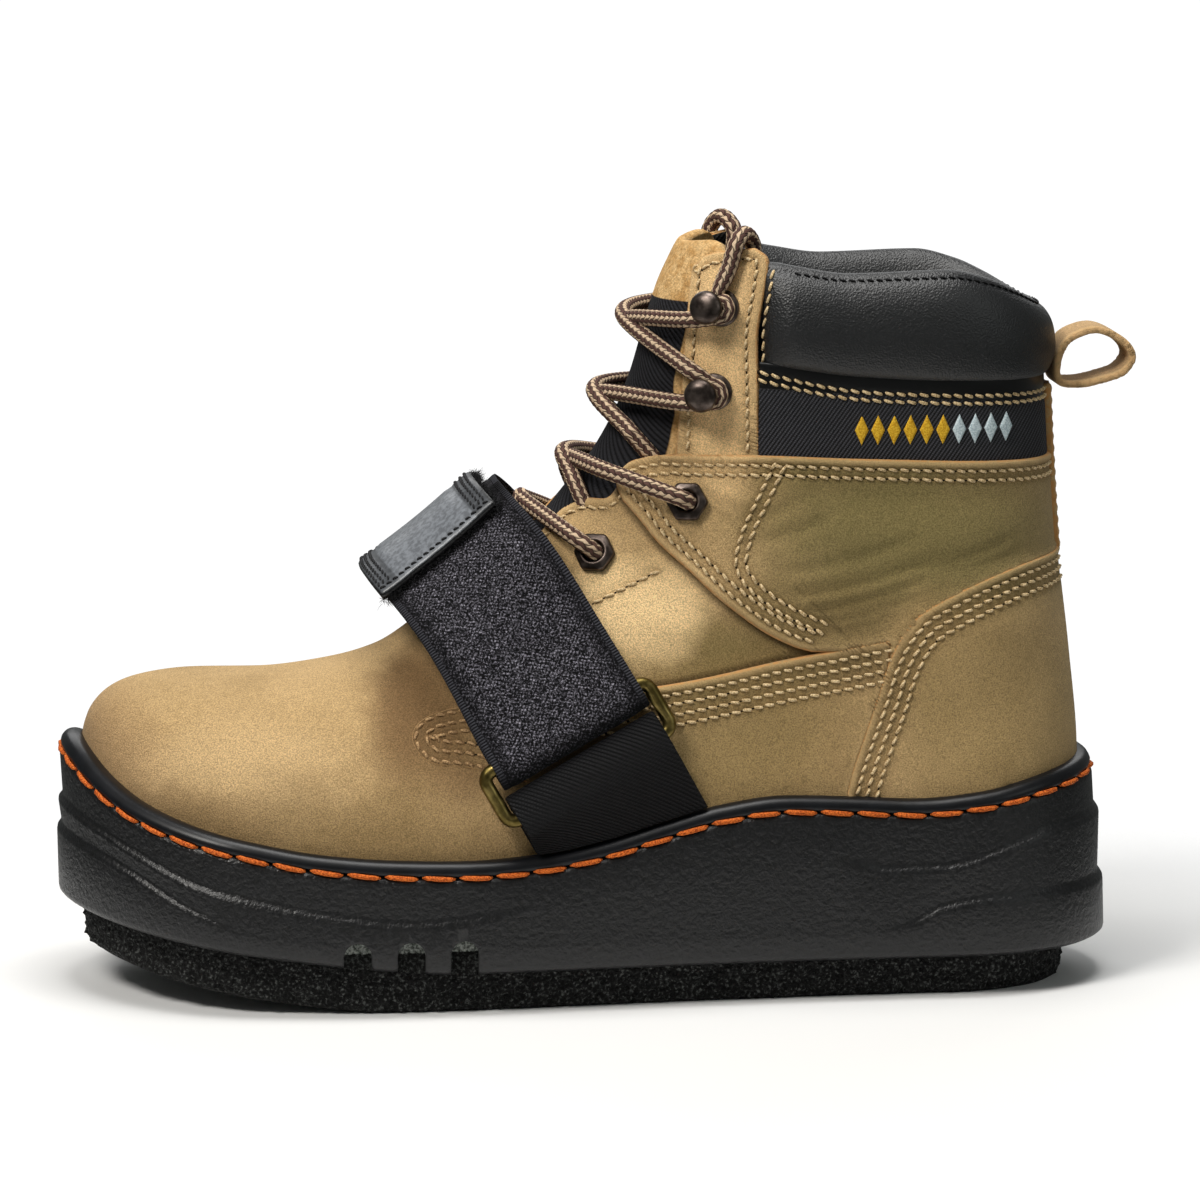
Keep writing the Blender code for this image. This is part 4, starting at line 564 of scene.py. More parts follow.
def make_patch(side, loops, lines=(), step=PATCH_STEP):
    """Triangles in a region of the map given by closed loops, with points along its edge and along lines."""
    points = np.concatenate(loops)
    starts = np.cumsum([0] + [len(loop) for loop in loops])
    rings = [np.arange(a, b) for a, b in zip(starts, starts[1:])]
    edges = [(int(i), int(j)) for ring in rings for i, j in zip(ring, np.roll(ring, -1))]
    groups = []
    for loop in loops:
        area = np.sum(loop[:, 0] * np.roll(loop[:, 1], -1) - loop[:, 1] * np.roll(loop[:, 0], -1))
        way = np.sign(area) * (1 if loop is loops[0] else -1)
        groups += [(beside(loop, way * d, side, True), INSET_CLEAR * d) for d in EDGE_INSETS]
    for line in lines:
        groups += [(beside(line, d, side), LINE_CLEAR) for d in LINE_SIDES]
    low, high = loops[0].min(axis=0), loops[0].max(axis=0)
    lattice = []
    for k, a in enumerate(np.arange(low[0], high[0], step * LATTICE_ROW)):
        b = np.arange(low[1] + (k % 2) * step / 2, high[1], step)
        lattice.append(np.column_stack([0 * b + a, b]))
    groups.append((np.concatenate(lattice), LATTICE_CLEAR * step))
    for places, clear in groups:
        places = places[inside(loops, places)]
        if len(places):
            points = np.concatenate([points, places[nearest(points, places) > clear]])
    made = delaunay_2d_cdt([Vector(p) for p in points], edges, [], 0, 1e-6, False)
    places = np.array([tuple(p) for p in made[0]])[:, :2]
    triangles = np.array([f for f in made[2] if len(f) == 3])
    triangles = triangles[inside(loops, places[triangles].mean(axis=1))]
    return Patch(side, places, triangles, rings)


def ring_map(side, runs, step=1.0):
    """Closed map loop over side view runs: points, whether they are rounded and, on a seam, its girth."""
    parts = []
    for points, soft, *seam in runs:
        line = smooth_path(points, 8) if soft and len(points) > 2 else np.asarray(points, float)
        places = on_map(trace(line, side, step)[:-1])
        if seam:
            places[:, 1] = seam[0]
        parts.append(places)
    return np.concatenate(parts)


def moved_line(line, side, inset):
    """Side view line moved over the upper, to the right of its way as the outer side shows it."""
    steps = max(int(math.ceil(abs(inset))), 1)
    for _ in range(steps):
        points, normals = skin(line[:, 0], line[:, 1], side)
        points = points + np.cross(normals, unit(np.gradient(points, axis=0))) * side * inset / steps
        line = np.column_stack([np.maximum(points[:, 0], back_x(points[:, 2]) + 0.02), points[:, 2]])
    return line


def row_map(points, side, inset=0.0, step=0.8):
    """Open map line over side view points, moved by inset."""
    line = trace(smooth_path(points, 8), side, step)
    return on_map(moved_line(line, side, inset) if inset else line)


# Creases listed on the upper, in side view: troughs are below zero, ridges above

Crease = namedtuple("Crease", "from_x from_z to_x to_z bow width depth")
CREASES = table_of(
    Crease,
    (-52.0, 148.5, -130.0, 146.0, 0.0, 6.5, -1.20),
    (-60.0, 137.0, -128.0, 137.5, 3.0, 6.0, 0.60),
    (-56.0, 113.0, -100.0, 125.0, 2.0, 1.5, -0.75),
    (-57.0, 109.5, -96.0, 119.5, 1.5, 1.4, -0.83),
    (-60.0, 106.5, -92.0, 114.0, 1.5, 1.3, -0.75),
    (-68.0, 105.5, -88.0, 109.5, 1.0, 1.2, -0.68),
    (-50.0, 118.0, -104.0, 131.0, 3.0, 1.7, -0.75),
    (-46.0, 124.5, -98.0, 137.0, 2.5, 1.8, -0.60),
    (-60.0, 111.2, -98.0, 122.0, 1.8, 1.4, 0.52),
    (-54.0, 115.6, -102.0, 128.0, 2.5, 1.6, 0.60),
    (-88.0, 124.5, -124.0, 135.0, 1.5, 1.6, -0.60),
    (-96.0, 124.0, -128.0, 131.5, 1.5, 1.5, -0.52),
    (-42.0, 133.0, -72.0, 143.0, 1.5, 2.0, -0.60),
    (-40.0, 139.0, -62.0, 148.0, 1.5, 2.0, -0.52),
    (-22.0, 124.0, -44.0, 108.0, -2.0, 3.0, -0.60),
    (-8.0, 114.0, -36.0, 100.0, -2.0, 4.0, 0.50),
    (-26.0, 150.0, -40.0, 138.0, 1.5, 2.4, -0.50),
    (-30.0, 153.0, -46.0, 145.0, 1.5, 2.0, 0.52),
    (86.0, 90.0, 66.0, 62.0, 4.0, 7.0, -0.70),
    (106.0, 88.0, 96.0, 60.0, 3.0, 8.0, 0.50),
    (70.0, 88.0, 60.0, 60.0, 3.0, 5.0, 0.40),
    (124.0, 84.0, 112.0, 62.0, 3.0, 9.0, -0.50),
    (-96.0, 80.0, -134.0, 98.0, 3.0, 9.0, -0.60),
    (-106.0, 108.0, -136.0, 112.0, 2.0, 5.0, 0.50),
    (-26.0, 84.0, -68.0, 72.0, 3.0, 7.0, -0.60),
)


CREASE_FADE, CREASE_OVERRUN = 0.25, 0.2


def relief(points):
    """Height of the listed creases at points of the upper."""
    height = np.zeros(len(points))
    place = points[:, [0, 2]]
    for c in CREASES:
        a, b = np.array([c.from_x, c.from_z]), np.array([c.to_x, c.to_z])
        long = np.linalg.norm(b - a)
        along = (b - a) / long
        across = np.array([-along[1], along[0]])
        run = np.clip((place - a) @ along / long, -CREASE_OVERRUN, 1 + CREASE_OVERRUN)
        off = (place - a) @ across - c.bow * 4 * run * (1 - run)
        ends = np.clip(run / CREASE_FADE, 0, 1) * np.clip((1 - run) / CREASE_FADE, 0, 1)
        height += c.depth * np.exp(-(off / c.width) ** 2) * ends ** 2 * (3 - 2 * ends)
    return height


# Pieces

def turn_out(mesh, merge=0.0):
    """Turn all faces outward, after joining points nearer than merge."""
    work = bmesh.new()
    work.from_mesh(mesh)
    if merge:
        bmesh.ops.remove_doubles(work, verts=work.verts, dist=merge * MM)
    bmesh.ops.recalc_face_normals(work, faces=work.faces)
    work.to_mesh(mesh)
    work.free()


def add_piece(name, points, faces, looks, nodes=(), values=None, face_look=None, outward=True,
              merge=0.0):
    """Mesh piece in the shared frame, with point values for its material."""
    name = name + "_visual" if name in nodes else name
    mesh = bpy.data.meshes.new(name)
    mesh.from_pydata((np.asarray(points, float) * MM).tolist(), [], [list(map(int, f)) for f in faces])
    for key, data in (values or {}).items():
        mesh.attributes.new(key, "FLOAT", "POINT").data.foreach_set("value", np.asarray(data, np.float32))
    for look in looks:
        mesh.materials.append(look)
    if face_look is not None:
        mesh.polygons.foreach_set("material_index", np.asarray(face_look, np.int32))
    if outward:
        turn_out(mesh, merge)
    mesh.polygons.foreach_set("use_smooth", np.ones(len(mesh.polygons), bool))
    obj = bpy.data.objects.new(name, mesh)
    bpy.context.scene.collection.objects.link(obj)
    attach(obj, "root")
    if nodes:
        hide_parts(*nodes)
    return obj


ROLL_PLACE, ROLL_WIDTH, GROOVE, GROOVE_WIDTH = 1.3, 0.9, 0.4, 0.8
THIN_FROM, THIN_TO, THIN_SHARE = 8.0, 40.0, 0.12


SEAM_MERGE, OVERLAY_FOOT = 0.02, -0.3


def thinned(points):
    """Share of a panel's thickness that is left towards the toe, where the panel runs out into the vamp."""
    run = np.clip((points[:, 0] - THIN_FROM) / (THIN_TO - THIN_FROM), 0.0, 1.0)
    return 1.0 - (1.0 - THIN_SHARE) * run


def slab(name, patches, top, bottom, look, nodes=(), edge=0.7, round_by=0.8, rows=(), joined=False,
         inner_look=None, roll=0.0, shaded_by=None):
    """Sheet over patches of the upper between two offsets, with rounded edges and stitch grooves."""
    lined = inner_look is not None
    points, faces, kinds, edge_values, groove_values = [], [], [], [], []
    count = 0
    for patch in patches:
        v, t = from_map(patch.places)
        base, normals = last_points(v, t, patch.side), skin_normals(v, t, patch.side)
        seam = joined & on_seam(v, t)
        rim = np.concatenate(patch.loops)
        away = nearest(base[rim[~seam[rim]]], base)
        drop = edge * (1 - np.sqrt(1 - (1 - np.clip(away / round_by, 0, 1)) ** 2))
        thin = thinned(base) if top > 0 else 1.0
        bead = roll * np.exp(-((away - ROLL_PLACE) / ROLL_WIDTH) ** 2)
        height = (top - drop + bead) * thin + relief(base)
        groove = np.zeros(len(base))
        own_rows = [r for r in rows if r.side == patch.side]
        if own_rows:
            lines = np.concatenate([last_points(*from_map(r.places), r.side) for r in own_rows])
            groove = np.exp(-(nearest(lines, base) / GROOVE_WIDTH) ** 2)
            height -= GROOVE * groove
        low = bottom + relief(base) + (drop if lined else 0.0)
        points += [base + normals * level[:, None] for level in (height, low)]
        edge_values += [away / thin] * 2
        groove_values += [groove] * 2
        size = len(base)
        tri = patch.triangles + count
        faces += tri.tolist() + (tri[:, ::-1] + size).tolist()
        kinds += [0] * len(tri) + [int(lined)] * len(tri)
        for ring in patch.loops:
            for i, j in zip(ring, np.roll(ring, -1)):
                if not (seam[i] and seam[j]):
                    faces.append([count + i, count + j, count + size + j, count + size + i])
                    kinds.append(0)
        count += 2 * size
    points = np.concatenate(points)
    values = {"edge": np.concatenate(edge_values), "groove": np.concatenate(groove_values)}
    if shaded_by is not None:
        # Distance to the given edges, for the painted shadow beside them.
        values["beside"] = nearest(shaded_by, points)
    looks = [look, inner_look] if lined else [look]
    merge = SEAM_MERGE if joined else 0.0
    return add_piece(name, points, faces, looks, nodes, values, kinds, merge=merge)


# Stitch rows: map line, side, and the offset of the sheet under them

Row = namedtuple("Row", "side places level")
# Stations along one stitch: share of its length, thickness and lift, for a thread of the station radius
STITCH_STATIONS = [(0.0, 0.5, -0.2), (0.14, 0.95, 0.3), (0.5, 1.05, 0.5), (0.86, 0.95, 0.3), (1.0, 0.5, -0.2)]
STITCH_SIDES = 6


STATION_RADIUS = 0.42
HOLE_SIDES, HOLE_SIZE, HOLE_DEPTH, HOLE_RISE = 6, 1.5, 0.3, 0.12


def row_points(row):
    """Points of a stitch row in its groove, and their normals."""
    v, t = from_map(row.places)
    base, normals = last_points(v, t, row.side), skin_normals(v, t, row.side)
    level = row.level * (thinned(base) if row.level > 0 else 1.0)
    return base + normals * (level - GROOVE + relief(base))[:, None], normals


def circle(count):
    return 2 * np.pi * np.arange(count) / count


def spokes(across, other, angle):
    """Directions at some angles, from two directions that are square to each other."""
    return across[..., None, :] * np.cos(angle)[:, None] + other[..., None, :] * np.sin(angle)[:, None]


def repeated(faces, count, block):
    """Faces of one block of points, for count blocks of the same size."""
    return [[i + k * block for i in f] for k in range(count) for f in faces]


def stitch_line(path, normals, pitch, gap, radius, slant):
    """Points and faces of a line of short stitches, and the places of their needle holes."""
    lengths = run_lengths(path)
    count = max(int(lengths[-1] / pitch), 1)
    starts = np.arange(count) * lengths[-1] / count
    long = lengths[-1] / count - gap
    share, thick, lift = np.array(STITCH_STATIONS).T
    runs = (starts[:, None] + gap / 2 + long * share).ravel()
    spots = values_at(runs, lengths, path).reshape(count, -1, 3)
    out = unit(values_at(runs, lengths, normals)).reshape(count, -1, 3)
    across = unit(np.cross(unit(np.gradient(spots, axis=1)), out))
    spots = spots + out * (lift * radius / STATION_RADIUS)[:, None]
    spots = spots + across * ((share - 0.5) * slant)[:, None]
    ring = spokes(across, out, circle(STITCH_SIDES))
    points = spots[:, :, None] + ring * (radius * thick)[:, None, None]
    faces = repeated(tube_faces(len(share), STITCH_SIDES), count, len(share) * STITCH_SIDES)
    holes = values_at(starts, lengths, path), unit(values_at(starts, lengths, normals))
    return points.reshape(-1, 3), faces, holes


def tube_faces(turns, sides, closed=False, caps=True):
    """Faces of a tube of loops of some sides, with its two ends closed."""
    faces = []
    for level in range(turns if closed else turns - 1):
        above = (level + 1) % turns
        for i in range(sides):
            j = (i + 1) % sides
            faces.append([level * sides + i, level * sides + j, above * sides + j, above * sides + i])
    if caps and not closed:
        faces.append(list(range(sides))[::-1])
        faces.append(list(range((turns - 1) * sides, turns * sides)))
    return faces


def add_needle_holes(name, place, out, radius, look):
    """One piece of small dark lenses: painted shade standing for the needle holes."""
    across = unit(np.cross(out, [0.3, 0.2, 0.9]))
    ring = spokes(across, np.cross(out, across), circle(HOLE_SIDES)) * radius * HOLE_SIZE
    tips = [place - out * HOLE_DEPTH, place + out * HOLE_RISE]
    lens = np.concatenate([place[:, None] + ring] + [tip[:, None] for tip in tips], axis=1)
    turns = [(k, (k + 1) % HOLE_SIDES) for k in range(HOLE_SIDES)]
    faces = [[i, j, HOLE_SIDES + 1] for i, j in turns] + [[j, i, HOLE_SIDES] for i, j in turns]
    add_piece(name, lens.reshape(-1, 3), repeated(faces, len(place), HOLE_SIDES + 2), [look])


def add_stitches(name, lines, look, pitch=3.3, gap=0.55, radius=0.47, hole_look=None, slant=0.6):
    """One piece of stitches along lines of (points, normals), and one of the needle holes between them."""
    points, faces, holes, count = [], [], [], 0
    for path, normals in lines:
        made, made_faces, spots = stitch_line(path, normals, pitch, gap, radius, slant)
        points.append(made)
        faces += [[i + count for i in f] for f in made_faces]
        holes.append(spots)
        count += len(made)
    add_piece(name, np.concatenate(points), faces, [look])
    if hole_look is not None:
        place, out = (np.concatenate(part) for part in zip(*holes))
        add_needle_holes(name + "_holes", place, out, radius, hole_look)


# Materials

def srgb(red, green, blue):
    """Linear colour of an 8 bit one."""
    def linear(c):
        c = c / 255
        return c / 12.92 if c <= 0.04045 else ((c + 0.055) / 1.055) ** 2.4
    return (linear(red), linear(green), linear(blue), 1.0)


class Look:
    """Procedural material: a Principled shader with nodes added to it."""

    def __init__(self, name, **sockets):
        self.material = bpy.data.materials.new(name)
        self.material.use_nodes = True
        self.tree = self.material.node_tree
        self.shader = self.tree.nodes["Principled BSDF"]
        self.place = self.add("ShaderNodeTexCoord").outputs["Object"]
        self.height = None
        for key, value in sockets.items():
            self.set(key.replace("_", " ").title().replace("Ior", "IOR"), value)

    def plug(self, socket, value):
        """Link a socket to another one, or give it a value."""
        if isinstance(value, bpy.types.NodeSocket):
            self.tree.links.new(value, socket)
        else:
            socket.default_value = value

    def add(self, kind, inputs=None, **settings):
        node = self.tree.nodes.new(kind)
        for key, value in settings.items():
            setattr(node, key, value)
        for key, value in (inputs or {}).items():
            self.plug(node.inputs[key], value)
        return node

    def set(self, socket, value):
        self.plug(self.shader.inputs[socket], value)

    def axes(self, place=None):
        """X, Y and Z of a place."""
        return self.add("ShaderNodeSeparateXYZ", {0: place or self.place}).outputs

    def noise(self, scale, detail=3.0, rough=0.55):
        inputs = {"Vector": self.place, "Scale": scale, "Detail": detail, "Roughness": rough}
        return self.add("ShaderNodeTexNoise", inputs).outputs["Fac"]

    def cells(self, scale, feature="F1"):
        inputs = {"Vector": self.place, "Scale": scale}
        return self.add("ShaderNodeTexVoronoi", inputs, feature=feature).outputs["Distance"]

    def ribs(self, pitch, turn=0.0):
        """Even ribs of some pitch in millimetres, turned in side view by degrees."""
        rotation = (0.0, math.radians(turn), 0.0)
        turned = self.add("ShaderNodeMapping", {"Vector": self.place, "Rotation": rotation}).outputs["Vector"]
        inputs = {"Vector": turned, "Scale": 2 * math.pi / (20 * pitch * MM), "Distortion": 0.0}
        return self.add("ShaderNodeTexWave", inputs, wave_type="BANDS", bands_direction="X").outputs["Fac"]

    def wave(self, value, pitch):
        """Rib height from a point value, with a pitch in its unit."""
        return self.size(self.math("SINE", self.times(value, math.pi / pitch)))

    def grey(self, value):
        return self.add("ShaderNodeCombineColor", {i: value for i in range(3)}).outputs[0]

    def value(self, name):
        return self.add("ShaderNodeAttribute", attribute_name=name).outputs["Fac"]

    def between(self, value, low, high, start=0.0, end=1.0):
        """Smooth change from start to end while a value goes from low to high."""
        inputs = {"Value": value, "From Min": low, "From Max": high, "To Min": start, "To Max": end}
        return self.add("ShaderNodeMapRange", inputs, interpolation_type="SMOOTHSTEP").outputs["Result"]

    def math(self, operation, a, b=0.0):
        return self.add("ShaderNodeMath", {0: a, 1: b}, operation=operation).outputs[0]

    def times(self, a, b):
        return self.math("MULTIPLY", a, b)

    def plus(self, a, b):
        return self.math("ADD", a, b)

    def minus(self, a, b):
        return self.math("SUBTRACT", a, b)

    def size(self, a):
        return self.math("ABSOLUTE", a)

    def mix(self, factor, a, b, blend="MIX"):
        inputs = {0: factor, 6: a, 7: b}
        return self.add("ShaderNodeMix", inputs, data_type="RGBA", blend_type=blend).outputs[2]

    def bump(self, height, depth, strength=1.0):
        inputs = {"Height": height, "Distance": depth * MM, "Strength": strength}
        if self.height is not None:
            inputs["Normal"] = self.height
        self.height = self.add("ShaderNodeBump", inputs).outputs["Normal"]
        self.set("Normal", self.height)


# Tints on the leather, in metres in side view. The darker patches are partly tone and partly painted shade in
# hollows and beside the strap; the pale patches are painted highlights; the darkest, by the ring, is a
# painted shadow.
Tint = namedtuple("Tint", "x z reach_x reach_z strength colour")
TONE_AND_PAINTED_LIGHT = table_of(
    Tint,
    (-0.092, 0.136, 0.050, 0.026, 0.85, srgb(123, 113, 68)),
    (-0.060, 0.108, 0.030, 0.018, 0.60, srgb(106, 92, 52)),
    (-0.120, 0.085, 0.040, 0.034, 0.45, srgb(146, 126, 78)),
    (-0.040, 0.078, 0.036, 0.026, 0.5, srgb(138, 118, 70)),
    (-0.026, 0.100, 0.022, 0.012, 0.45, srgb(120, 106, 60)),
    (0.050, 0.084, 0.018, 0.022, 0.75, srgb(108, 78, 48)),
    (0.150, 0.062, 0.028, 0.030, 0.4, srgb(150, 112, 78)),
    # The next three pale tints are painted highlights.
    (0.100, 0.066, 0.034, 0.018, 0.45, srgb(232, 198, 148)),
    (-0.012, 0.116, 0.022, 0.016, 0.9, srgb(255, 220, 164)),
    (-0.036, 0.186, 0.016, 0.040, 0.95, srgb(252, 212, 154)),
    (0.120, 0.052, 0.030, 0.012, 0.5, srgb(132, 102, 66)),
    # Painted shadow on the leather seen through the ring.
    (0.0075, 0.0744, 0.020, 0.014, 0.8, srgb(44, 34, 18)),
)


def nubuck_look(name, dark, light, edge, nap_depth=0.7, shaded=False):
    """Brushed leather: tints of tone, painted shade and painted highlights, darker towards the sole, fine
    nap, raw edges, painted highlights on the rolled edges, painted shade in stitch grooves and, when shaded,
    a painted shadow beside the panels' edges.
    """
    look = Look(name, roughness=0.88, specular_ior_level=0.2, sheen_weight=0.08, sheen_roughness=0.5)
    broad, fine, nap = look.noise(26.0, 3.0), look.noise(380.0, 4.0, 0.6), look.noise(2500.0, 2.0, 0.65)
    tone = look.plus(look.times(broad, 0.7), look.times(fine, 0.3))
    colour = look.mix(look.between(tone, 0.32, 0.68), dark, light)
    parts = look.axes()
    wander = look.times(look.minus(broad, 0.5), 0.03)
    x, up = (look.plus(parts[axis], wander) for axis in ("X", "Z"))
    for t in TONE_AND_PAINTED_LIGHT:
        off_x = look.times(look.minus(x, t.x), 1.0 / t.reach_x)
        off_z = look.times(look.minus(up, t.z), 1.0 / t.reach_z)
        far = look.plus(look.times(off_x, off_x), look.times(off_z, off_z))
        colour = look.mix(look.between(far, 0.0, 1.6, t.strength, 0.0), colour, t.colour)
    # Darker towards the sole.
    colour = look.mix(look.between(up, 0.050, 0.072, 0.5, 0.0), colour, srgb(98, 78, 44))
    colour = look.mix(1.0, colour, look.grey(look.between(nap, 0.28, 0.72, 0.62, 1.30)), "MULTIPLY")
    away = look.value("edge")
    # Paler band along the rolled edges: a painted highlight on the roll.
    colour = look.mix(look.between(away, 1.2, 2.6, 0.4, 0.0), colour, srgb(214, 180, 128))
    raw = look.between(away, 0.2, 0.7, 1.0, 0.0)
    ragged = look.times(raw, look.between(look.noise(600.0, 2.0), 0.25, 0.6))
    colour = look.mix(ragged, colour, edge)
    # Darker in the stitch grooves: painted shade in the recess.
    colour = look.mix(look.times(look.value("groove"), 0.45), colour, srgb(84, 62, 34))
    # Darker beside the raised panels' edges: a painted shadow under them.
    if shaded:
        colour = look.mix(look.between(look.value("beside"), 0.3, 2.6, 0.75, 0.0), colour, srgb(58, 44, 22))
    look.set("Base Color", colour)
    look.bump(nap, nap_depth, 0.6)
    look.bump(fine, 0.5, 0.5)
    return look


def collar_look():
    look = Look("collar_leather", roughness=0.47, specular_ior_level=0.7)
    grain, pores = look.cells(1900.0, "SMOOTH_F1"), look.noise(1400.0, 2.0)
    look.set("Base Color", look.mix(look.between(pores, 0.35, 0.7), srgb(12, 13, 15), srgb(18, 19, 22)))
    look.bump(grain, 0.34, 0.6)
    return look


def twill_look(name, pitch, turn, low, high, rough=0.85):
    """Woven cloth with slanting ribs, broken into threads."""
    look = Look(name, roughness=rough, specular_ior_level=0.25)
    rib, thread = look.ribs(pitch, turn), look.ribs(pitch * 0.62, turn + 78.0)
    weave = look.times(rib, look.between(thread, 0.0, 1.0, 0.55, 1.0))
    speck = look.times(weave, look.between(look.noise(900.0, 2.0), 0.3, 0.7, 0.6, 1.2))
    look.set("Base Color", look.mix(speck, low, high))
    look.bump(weave, 0.35, 0.8)
    return look


def strap_look():
    """Loop pile in the middle, matted by the edges, close ribbed selvedge along them."""
    look = Look("strap", roughness=0.9, specular_ior_level=0.15)
    across, along = look.value("across"), look.value("along")
    away = look.minus(STRAP_HALF, look.size(across))
    edge = look.between(away, 2.7, 3.1, 1.0, 0.0)
    matted = look.between(away, 3.1, 9.0, 0.2, 1.0)
    rib = look.wave(along, 0.85)
    pile = look.noise(1700.0, 2.0, 0.75)
    one = look.wave(look.plus(look.times(across, 0.8), along), 1.25)
    two = look.wave(look.minus(look.times(across, 0.8), along), 1.25)
    weave = look.times(look.between(one, 0.1, 0.8, 0.25, 1.0), look.between(two, 0.1, 0.8, 0.25, 1.0))
    # Pale loop tops: the pile's texture, with painted highlights on its loops.
    loops = look.times(look.times(look.between(pile, 0.45, 0.7), weave), matted)
    middle = look.mix(loops, srgb(4, 4, 6), srgb(186, 182, 196))
    border = look.mix(rib, srgb(3, 3, 4), srgb(62, 62, 68))
    # Darker towards the strap's end under the patch and by its fold at the ring: painted shade.
    shade = look.between(look.value("edge"), 2.0, 13.0, 0.85, 0.0)
    look.set("Base Color", look.mix(shade, look.mix(edge, middle, border), srgb(3, 3, 4)))
    soft = look.times(loops, look.minus(1.0, edge))
    look.bump(look.plus(soft, look.times(rib, edge)), 0.6, 0.9)
    return look


def webbing_look():
    look = Look("webbing", roughness=0.55, specular_ior_level=0.16)
    across, along = look.value("across"), look.value("along")
    rib = look.wave(look.plus(across, look.times(along, 0.9)), 1.5)
    cut = look.wave(look.minus(along, look.times(across, 0.25)), 0.8)
    weave = look.times(rib, look.between(cut, 0.0, 0.8, 0.5, 1.0))
    look.set("Base Color", look.mix(weave, srgb(2, 2, 3), srgb(22, 22, 24)))
    look.bump(weave, 0.8, 0.9)
    return look


def lace_look():
    """Round braid: columns of slanting floats with zigzag borders, pale and brown in turn."""
    look = Look("lace", roughness=0.8, specular_ior_level=0.25)
    parts = look.axes(look.add("ShaderNodeUVMap", uv_map="braid").outputs[0])
    around, along = parts["X"], parts["Y"]
    zigzag = look.math("PINGPONG", along, 0.5)
    column = look.plus(around, look.times(zigzag, 0.8))
    odd = look.math("MODULO", look.math("FLOOR", column), 2.0)
    lean = look.minus(look.math("FRACT", column), 0.5)
    way = look.minus(1.0, look.times(odd, 2.0))
    phase = look.plus(along, look.times(look.times(way, lean), 0.6))
    border = look.times(look.size(lean), 2.0)
    rise = look.between(look.wave(phase, 1.0), 0.0, 0.6)
    height = look.times(rise, look.between(border, 0.6, 1.0, 1.0, 0.25))
    colour = look.mix(odd, srgb(214, 188, 158), srgb(82, 56, 50))
    # Darker where the braid sinks between its floats: painted shade.
    colour = look.mix(look.between(height, 0.15, 0.6, 0.85, 0.0), colour, srgb(38, 24, 20))
    fuzz = look.between(look.noise(1500.0, 2.0), 0.3, 0.7, 0.0, 0.2)
    look.set("Base Color", look.mix(fuzz, colour, srgb(120, 92, 78)))
    look.bump(height, 0.45, 0.8)
    return look


def rubber_look():
    look = Look("moulded_rubber", specular_ior_level=0.45)
    pebble, fine = look.noise(640.0, 2.0, 0.6), look.noise(1500.0, 2.0)
    look.set("Base Color", look.mix(look.between(pebble, 0.35, 0.65), srgb(9, 9, 10), srgb(17, 17, 19)))
    look.set("Roughness", look.between(fine, 0.3, 0.7, 0.34, 0.46))
    look.bump(pebble, 0.65, 0.6)
    look.bump(fine, 0.15, 0.4)
    return look


def foam_look():
    look = Look("foam", roughness=0.9, specular_ior_level=0.3)
    cells, fine = look.cells(900.0), look.noise(1000.0, 2.0, 0.7)
    grain = look.times(look.between(fine, 0.46, 0.68), look.between(cells, 0.2, 0.7, 1.0, 0.15))
    look.set("Base Color", look.mix(grain, srgb(3, 3, 3), srgb(92, 94, 92)))
    look.bump(cells, 0.9, 0.9)
    look.bump(fine, 0.7, 0.8)
    return look


def felt_look():
    """Grey felt in the upper part of a notch, black foam in the lower part."""
    look = Look("felt", roughness=0.95, specular_ior_level=0.2)
    grain = look.noise(1000.0, 3.0, 0.7)
    share = look.between(look.plus(look.axes()["Z"], look.times(grain, 0.001)), FELT_FROM, FELT_FROM + 0.0006)
    foam = look.mix(look.between(grain, 0.45, 0.7), srgb(3, 3, 3), srgb(60, 62, 60))
    felt = look.mix(look.between(grain, 0.35, 0.65), srgb(58, 62, 58), srgb(150, 154, 148))
    look.set("Base Color", look.mix(share, foam, felt))
    look.bump(grain, 0.6, 0.8)
    return look


FELT_FROM = (NOTCH_TOP - 3.4) * MM


def band_look():
    """Twill band with a smooth leather fold along its top."""
    look = Look("band", specular_ior_level=0.35)
    rib, thread = look.ribs(1.0, 35.0), look.ribs(0.62, 113.0)
    weave = look.times(rib, look.between(thread, 0.0, 1.0, 0.5, 1.0))
    parts = look.axes()
    slope = look.minus(parts["Z"], look.times(parts["X"], FOLD_SLOPE))
    fold = look.between(slope, FOLD_FROM, FOLD_FROM + 0.0004)
    look.set("Base Color", look.mix(fold, look.mix(weave, srgb(6, 6, 7), srgb(74, 74, 80)), srgb(13, 13, 14)))
    look.set("Roughness", look.between(fold, 0.0, 1.0, 0.85, 0.32))
    look.bump(look.plus(look.times(weave, look.minus(1.0, fold)), fold), 0.4, 0.8)
    return look


FOLD_SLOPE, FOLD_FROM = 0.066, 0.1813


# Cloth panel of the tongue in metres: half width, and its lower and upper end
CLOTH_HALF, CLOTH_LOW, CLOTH_HIGH, CLOTH_BLEND = 0.021, 0.132, 0.202, 0.0002


